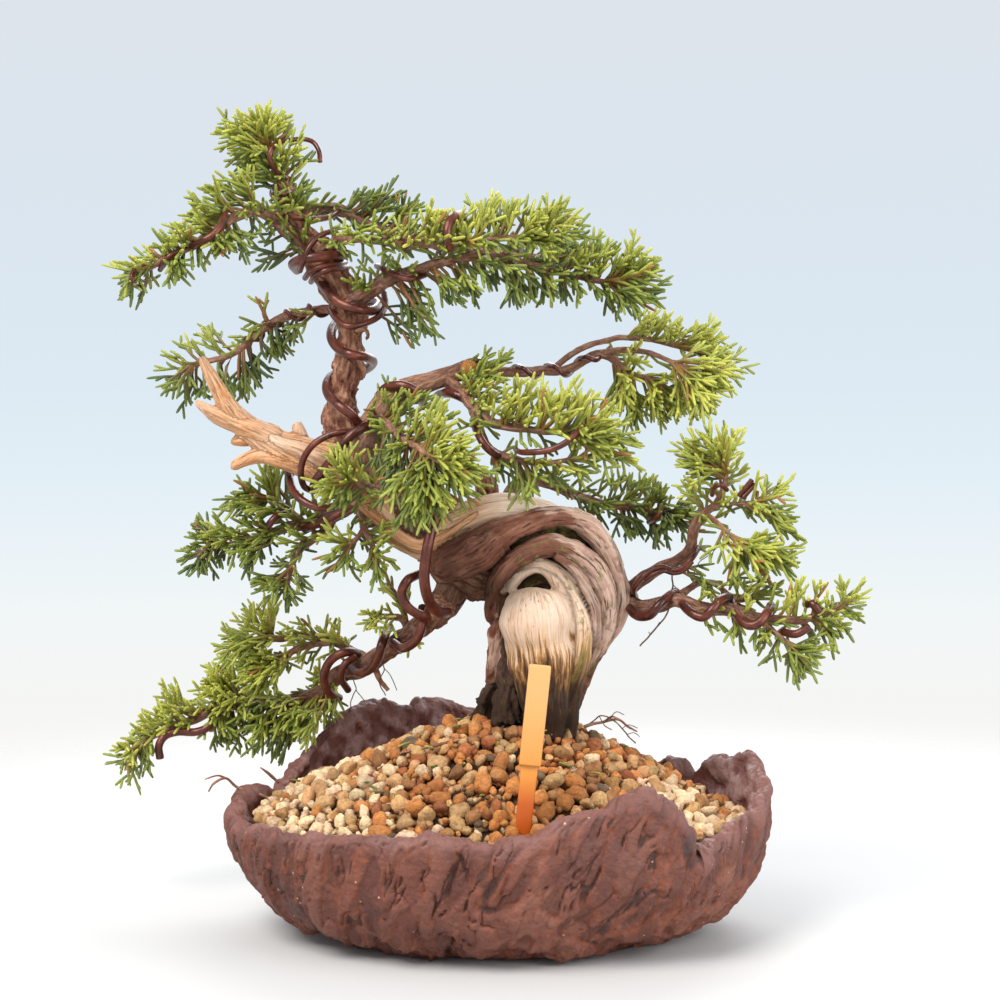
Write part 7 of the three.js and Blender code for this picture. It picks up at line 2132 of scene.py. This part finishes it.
    def build(self) -> None:
        """Makes every pad."""
        material = self.finish.make()
        carriers = {"foliage_apex": [STRANDS["leader"].stations[-5:]],
                    "foliage_top_left": [*BRANCHES["branch_top_left"], STRANDS["leader"].stations[-6:-2]],
                    "foliage_top_right": [*BRANCHES["branch_top_right"], *BRANCHES["branch_top_back"]],
                    "foliage_low_left": [*BRANCHES["branch_low_left"], *BRANCHES["branch_low_left_spur"]],
                    "foliage_twig": BRANCHES["twig_front"],
                    "foliage_under_arm": BRANCHES["twig_under_arm"]}
        for number, name in enumerate(TIPS):
            lines = carriers.get(name) or BRANCHES[name.replace("foliage", "branch")]
            lines = [[row[:4] for row in line] for line in lines]
            self.pad(name, lines, material, np.random.default_rng(self.seed + number))


# ---- drainage and litter -------------------------------------------------------------------------
TWIGS = (
    (0.3, ((25.4, -2, 60.4), (27.4, -4, 61.9), (29.7, -5, 63.8), (32.6, -6, 63.3), (36.2, -6, 60.3),
            (40.1, -6, 55.9))),
    (0.2, ((32.6, -6, 63.3), (34.6, -8, 65.3), (36.6, -9, 64.5))),
    (0.18, ((36.2, -6, 60.3), (38.1, -8, 61.5), (40.4, -9, 60.7))),
    (0.18, ((37.7, -6, 58.6), (39.6, -8, 59.1), (41.1, -8, 57.9))),
    (0.22, ((29.7, -5, 63.8), (30.8, -8, 61.8), (32.7, -10, 60.2))),
    (0.34, ((51.3, 0, 107.6), (51.7, -2, 102.6), (50.4, -3, 98.2), (49.7, -4, 94.3), (46.1, -5, 89.6),
            (41.5, -6, 84.7))),
    (0.2, ((50.1, -3, 96.4), (47.6, -5, 94.7), (45.1, -6, 94.5))),
    (0.18, ((47.6, -5, 91.7), (44.9, -8, 88.4), (43.7, -9, 89))),
    (0.2, ((51.7, -2, 102.6), (53.6, -4, 100.6), (54.7, -5, 97.7))),
    (0.26, ((-37.4, 22, 79.7), (-36.2, 22, 75.6), (-37.4, 22, 71.2), (-35.6, 22, 66.9))),
    (0.2, ((-36.2, 22, 75.6), (-33.6, 20, 72.7), (-32.3, 20, 68.9))),
    (0.24, ((-47.1, 34, 72), (-45.8, 33, 67.6), (-47.7, 33, 63.2), (-46.4, 33, 59.3))),
    (0.2, ((-45.8, 33, 67.6), (-43.2, 32, 64.5))),
    (0.22, ((-54.1, 34, 83.4), (-56.6, 33, 85.4), (-60.4, 33, 83.5), (-63.6, 33, 84.5))),
    (0.2, ((60, 0, 102.2), (58.1, -1, 105.5), (59.5, -2, 109.5), (62.1, -3, 111.3))),
    (0.22, ((-46.8, 4, 186.6), (-48.2, 2, 189.4), (-46.8, 0, 191.6))),
    (0.2, ((-6.2, -30, 46.3), (-4, -31, 48.1), (-0.6, -31, 47))),
    (0.2, ((13.8, -22, 50.2), (17.3, -22, 51.9), (20.7, -22, 50.8))),
)


@dataclass(frozen=True)
class NettingFinish:
    """Dark plastic netting with a little clay dust."""

    dust: tuple = srgb(122, 92, 72)

    def make(self) -> bpy.types.Material:
        """Builds the material."""
        g = Graph("netting")
        dust = g.spots(340, 4, 0.65).stretched(0.45, 0.7, 0, 0.5)
        plastic = g.ramp(g.spots(120, 3), (0.3, srgb(34, 37, 34)), (0.7, srgb(52, 56, 50)))
        colour = g.mix(plastic, self.dust, dust)
        return g.finish(Base_Color=colour, Roughness=dust.stretched(0, 0.5, 0.48, 0.8),
                        Normal=g.bump(g.spots(900, 3), 0.0002))


@dataclass
class Drainage:
    """Netting over the two drainage holes, the clips that pin it, and the wire that ties the roots down."""

    pot: Pot
    side: float = 24.0
    pitch: float = 5.0
    bar: float = 0.38
    clip_wire: float = 0.75
    bars: int = 9

    def netting(self, name: str, x: float) -> None:
        """Makes one square of woven netting.

        Args:
            name: the frame's node.
            x: the middle of its hole.
        """
        surface = Surface()
        half = self.side / 2 - self.bar
        line = np.linspace(-half, half, 61)
        for number, across in enumerate(np.linspace(-half, half, self.bars)):
            weave = 0.16 * np.cos(line * math.pi / (2 * half) * (self.bars - 1) + number * math.pi)
            for turned in (False, True):
                along = [line, np.full_like(line, across)]
                u, v = reversed(along) if turned else along
                z = self.pot.floor + 0.72 + (-weave if turned else weave)
                bend_wire(surface, self.bar, np.stack([x + u, self.pot.drain_y + v, z], 1), sides=8)
        install(surface.build(name + "_woven", NettingFinish().make()), "netting", name)

    def wire(self, name: str, stations: list, finish: bpy.types.Material) -> None:
        """Makes one bent wire.

        Args:
            name: the frame's node.
            stations: its centre line.
            finish: its material.
        """
        surface = Surface()
        bend_wire(surface, self.clip_wire, stations)
        install(surface.build(name + "_bent", finish), "wire", name)

    def build(self) -> None:
        """Makes the netting, the clips and the anchor wire."""
        finish = WireFinish().make()
        top = self.pot.floor + 2.15
        y = self.pot.drain_y
        half = [(-8.4, 1.3), (-5.6, 1.3), (-self.pitch, 2.7), (-self.pitch, top - 1.6), (-2.6, top)]
        loop = half + [(-a, z) for a, z in reversed(half)]
        for side, x in (("left", -self.pot.drain_x), ("right", self.pot.drain_x)):
            self.netting("drain_mesh_" + side, x)
            self.wire("mesh_clip_" + side, [(x, y + a, z) for a, z in loop], finish)
        near = self.pot.drain_x - self.pitch
        foot = [(4, 1.2), (1.4, 1.2), (0, 2.8), (0, 5), (0, 12)]
        rise = [(inward - near, y, z) for inward, z in foot]
        over = [(-17, 0, 24), (-5, -12, 32), (12, -16, 35), (26, -10, 31), (near + 4, 0, 22)]
        fall = [(near - inward, y, z) for inward, z in reversed(foot)]
        self.wire("anchor_wire", rise + over + fall, finish)


@dataclass(frozen=True)
class TwigFinish:
    """Dry grey-brown twigs."""

    def make(self) -> bpy.types.Material:
        """Builds the material."""
        g = Graph("dry_twig")
        grain = g.spots(500, 4, 0.6)
        colour = g.ramp(grain, (0.3, srgb(52, 33, 24)), (0.5, srgb(98, 68, 52)), (0.7, srgb(150, 118, 96)))
        return g.finish(Base_Color=colour, Roughness=0.85, Normal=g.bump(grain, 0.0003))


@dataclass
class Litter:
    """Dry twigs on the branches and the grit, and bits of shed leaf on the grit."""

    grit: Grit
    bits: int = 46
    slimness: float = 0.72
    seed: int = 77
    twigs: tuple = TWIGS

    def build(self) -> None:
        """Makes the twigs and the shed bits."""
        surface = Surface()
        for radius, stations in self.twigs:
            path = resampled(stations, 0.5)
            path[:, :3] += 0.35 * np.stack([Noise(90 + i).at(path[:, :3], 2.6) for i in range(3)], 1)
            bend_wire(surface, radius * self.slimness, path, sides=7)
        install(surface.build("dry_twigs", TwigFinish().make()), "bark")
        draw = np.random.default_rng(self.seed)
        rows = []
        for _ in range(self.bits):
            x, y = draw.normal(8, 24), draw.uniform(-44, 26)
            if not self.grit.inside(np.array([x]), np.array([y]), 5)[0]:
                continue
            start = np.array([x, y, float(self.grit.height(np.array(x), np.array(y))) + 2.4])
            way = draw.normal(0, 1, 3) * (1, 1, 0.25)
            reach = way / np.linalg.norm(way) * draw.uniform(1.6, 4.2)
            rows.append((start, start + reach * 0.35, start + reach * 0.7 + (0, 0, 0.3), start + reach, 0.36,
                         draw.uniform(0.1, 0.7), 0.7, draw.uniform(0.2, 0.8), draw.choice([0.0, 0.0, 0.9])))
        install(Foliage().tubes(rows, draw).build("shed_bits", LeafFinish().make()), "foliage")


# ---- the stake -----------------------------------------------------------------------------------
@dataclass(frozen=True)
class StakeFinish:
    """Thin orange plastic that lets some light through, deeper towards the grit."""

    dust: tuple = srgb(216, 166, 112)

    def make(self) -> bpy.types.Material:
        """Builds the material."""
        g = Graph("orange_plastic")
        height = g.node("ShaderNodeSeparateXYZ", {}, {"Vector": g.place}, "Z")
        colour = g.ramp(height.stretched(0.014, 0.084), (0.0, srgb(160, 66, 0)), (0.42, srgb(184, 82, 0)),
                        (0.6, srgb(212, 136, 52)), (1.0, srgb(216, 160, 100)))
        dust = g.spots(160, 4, 0.6, (1, 1, 0.35)).stretched(0.5, 0.75, 0, 0.22)
        colour = g.mix(colour, self.dust, dust * height.stretched(0.04, 0.06, 0.4, 1))
        scuffs = g.spots(900, 2, 0.5, (1, 1, 0.05))
        return g.finish(Base_Color=colour, Roughness=scuffs.stretched(0.3, 0.7, 0.3, 0.46),
                        Normal=g.bump(scuffs * 0.4 + g.spots(120, 2) * 0.6, 0.00012),
                        Subsurface_Weight=0.1, Subsurface_Scale=0.001)


@dataclass
class Stake:
    """The bare label stake: a thick head on a thinner stem, a little rounded and bent by hand."""

    foot: Triple = (3.7, -50.5, 14.0)
    lean: float = 6.0
    stem: Triple = (4.7, 42.0, 1.4)
    head: Triple = (6.0, 27.5, 2.6)
    corner: float = 0.45
    finish: StakeFinish = StakeFinish()

    def slab(self, wide: float, low: float, tall: float, thick: float, taper: float = 0.0
             ) -> bpy.types.Object:
        """A strip with rounded edges.

        Args:
            wide: its width.
            low: the height of its lower end above the foot.
            tall: its length.
            thick: its depth, forward from the foot's back face.
            taper: how much each side of its lower end narrows.

        Returns:
            The strip.
        """
        rows = np.linspace(0, 1, 24)
        surface = Surface()
        rings = []
        for row in rows:
            half = wide / 2 - taper * (1 - row)
            ring = [(-half, -thick), (half, -thick), (half, 0), (-half, 0)]
            bow = 0.25 * math.sin(row * math.pi)
            rings += [(x, y - bow, low + tall * row) for x, y in ring]
        surface.add(np.array(rings, float), ring_faces(len(rows), 4))
        strip = surface.build("strip")
        bevel = strip.modifiers.new("edges", "BEVEL")
        bevel.width = self.corner * MM
        bevel.segments = 4
        bevel.limit_method = "ANGLE"
        settle(strip)
        return strip

    def build(self) -> bpy.types.Object:
        """Makes the stake."""
        wide, tall, thick = self.stem
        stem = self.slab(wide, 0, tall + 4, thick, 0.3)
        wide, long, thick = self.head
        head = self.slab(wide, tall, long, thick)
        piece = joined("label_stake_strip", stem, head)
        lean = math.radians(self.lean)
        for vertex in piece.data.vertices:
            x, y, z = vertex.co / MM
            vertex.co = (
                (self.foot[0] + x * math.cos(lean) + z * math.sin(lean)) * MM,
                (self.foot[1] + y) * MM,
                (self.foot[2] + z * math.cos(lean) - x * math.sin(lean)) * MM)
        piece.data.materials.append(self.finish.make())
        return install(piece, "stake", "label_stake")


def joined(name: str, *parts: bpy.types.Object) -> bpy.types.Object:
    """Puts parts into one mesh.

    Args:
        name: the name of the whole.
        parts: the parts, which are used up.

    Returns:
        The whole.
    """
    surface = Surface()
    for part in parts:
        mesh = part.data
        places = np.empty(len(mesh.vertices) * 3)
        mesh.vertices.foreach_get("co", places)
        shapes: dict[int, list] = {}
        for face in mesh.polygons:
            shapes.setdefault(len(face.vertices), []).append(list(face.vertices))
        surface.add(places.reshape(-1, 3) / MM, [np.array(rows) for rows in shapes.values()])
        bpy.data.objects.remove(part)
    return surface.build(name)


# ---- the studio ----------------------------------------------------------------------------------
@dataclass
class Lamp:
    """A soft rectangular lamp."""

    name: str
    place: Triple
    wide: float
    tall: float
    power: float
    colour: Triple
    aim: Triple = (0, 0, 110)

    def build(self) -> None:
        """Hangs the lamp."""
        light = bpy.data.lights.new(self.name, "AREA")
        light.shape = "RECTANGLE"
        light.size, light.size_y = self.wide * MM, self.tall * MM
        light.energy = self.power
        light.color = self.colour
        lamp = bpy.data.objects.new(self.name, light)
        lamp.location = np.array(self.place) * MM
        lamp.rotation_euler = facing(self.place, self.aim)
        bpy.context.scene.collection.objects.link(lamp)


def facing(place: tuple, aim: tuple) -> Euler:
    """The turn that points an object's -Z axis from a place at an aim."""
    return (Vector(aim) - Vector(place)).to_track_quat("-Z", "Y").to_euler()


@dataclass
class Studio:
    """A pale floor that fades into the light background, soft lamps and the camera."""

    camera: Triple = (0, -555, 128)
    lens: float = 66.6
    sensor: float = 36.0
    floor_reach: float = 900.0
    fade: tuple[float, float] = (230.0, 620.0)
    floor_colour: tuple = srgb(204, 202, 199)
    # the first two take the ramp's own ends
    sky_stops: tuple = ((0.25, srgb(247, 246, 243)), (1.0, srgb(221, 228, 236)), (0.39, srgb(241, 246, 247)),
                        (0.5, srgb(229, 240, 247)), (0.62, srgb(221, 234, 243)), (0.76, srgb(219, 230, 240)))
    lamps: tuple[Lamp, ...] = (
        Lamp("key", (-420, -520, 760), 520, 520, 10.0, (1, 0.985, 0.96)),
        Lamp("fill", (620, -420, 330), 600, 500, 4.0, (0.96, 0.98, 1)),
        Lamp("back", (120, 620, 560), 700, 400, 4.4, (0.97, 0.985, 1)),
    )

    def floor(self) -> bpy.types.Object:
        """Makes the floor."""
        turn = even_angles(64)
        rings = [ringed(turn, reach, -0.05) for reach in np.linspace(5, self.floor_reach, 12)]
        surface = Surface()
        surface.add(np.vstack(rings), ring_faces(len(rings), len(turn), capped=False))
        surface.add(rings[0], [np.arange(len(turn))[None]])
        g = Graph("floor")
        reach = g.node("ShaderNodeVectorMath", {"operation": "LENGTH"}, {0: g.place}, "Value")
        solid = reach.stretched(self.fade[0] * MM, self.fade[1] * MM, 1, 0)
        material = g.finish(Base_Color=self.floor_colour, Roughness=0.7, Alpha=solid)
        return surface.build("floor", material)

    def sky(self) -> None:
        """Sets the background: near white below, pale blue above."""
        world = bpy.data.worlds.new("sky")
        bpy.context.scene.world = world
        world.use_nodes = True
        nodes, links = world.node_tree.nodes, world.node_tree.links
        place = nodes.new("ShaderNodeTexCoord")
        split = nodes.new("ShaderNodeSeparateXYZ")
        ramp = nodes.new("ShaderNodeValToRGB")
        for number, (at, colour) in enumerate(self.sky_stops):
            stops = ramp.color_ramp.elements
            stop = stops[number] if number < len(stops) else stops.new(at)
            stop.position, stop.color = at, colour
        spread = nodes.new("ShaderNodeMath")
        spread.operation = "MULTIPLY_ADD"
        # the band in view, a quarter to each side of the horizon, fills the ramp
        spread.inputs[1].default_value, spread.inputs[2].default_value = 2.0, 0.5
        links.new(place.outputs["Generated"], split.inputs[0])
        links.new(split.outputs["Z"], spread.inputs[0])
        links.new(spread.outputs[0], ramp.inputs[0])
        links.new(ramp.outputs[0], nodes["Background"].inputs[0])
        nodes["Background"].inputs["Strength"].default_value = 1.0

    def build(self) -> None:
        """Sets up floor, background, lamps and camera."""
        self.floor()
        self.sky()
        for lamp in self.lamps:
            lamp.build()
        view = bpy.data.cameras.new("camera")
        view.lens, view.sensor_width = self.lens, self.sensor
        view.clip_start, view.clip_end = 0.01, 10
        eye = bpy.data.objects.new("camera", view)
        eye.location = np.array(self.camera) * MM
        eye.rotation_euler = (math.pi / 2, 0, 0)
        scene = bpy.context.scene
        scene.collection.objects.link(eye)
        scene.camera = eye
        scene.view_settings.view_transform = "Standard"


# ---- the whole -----------------------------------------------------------------------------------
def main() -> None:
    """Builds every piece in order."""
    logging.basicConfig(level=logging.INFO, format="%(message)s")
    Studio().build()
    pot = Pot()
    pot.build()
    grit = Grit(pot)
    grit.build()
    Stake().build()
    Trunk().build()
    Branches().build()
    Wires().build()
    Foliage().build()
    Drainage(pot).build()
    Litter(grit).build()


if __name__ == "__main__":
    main()
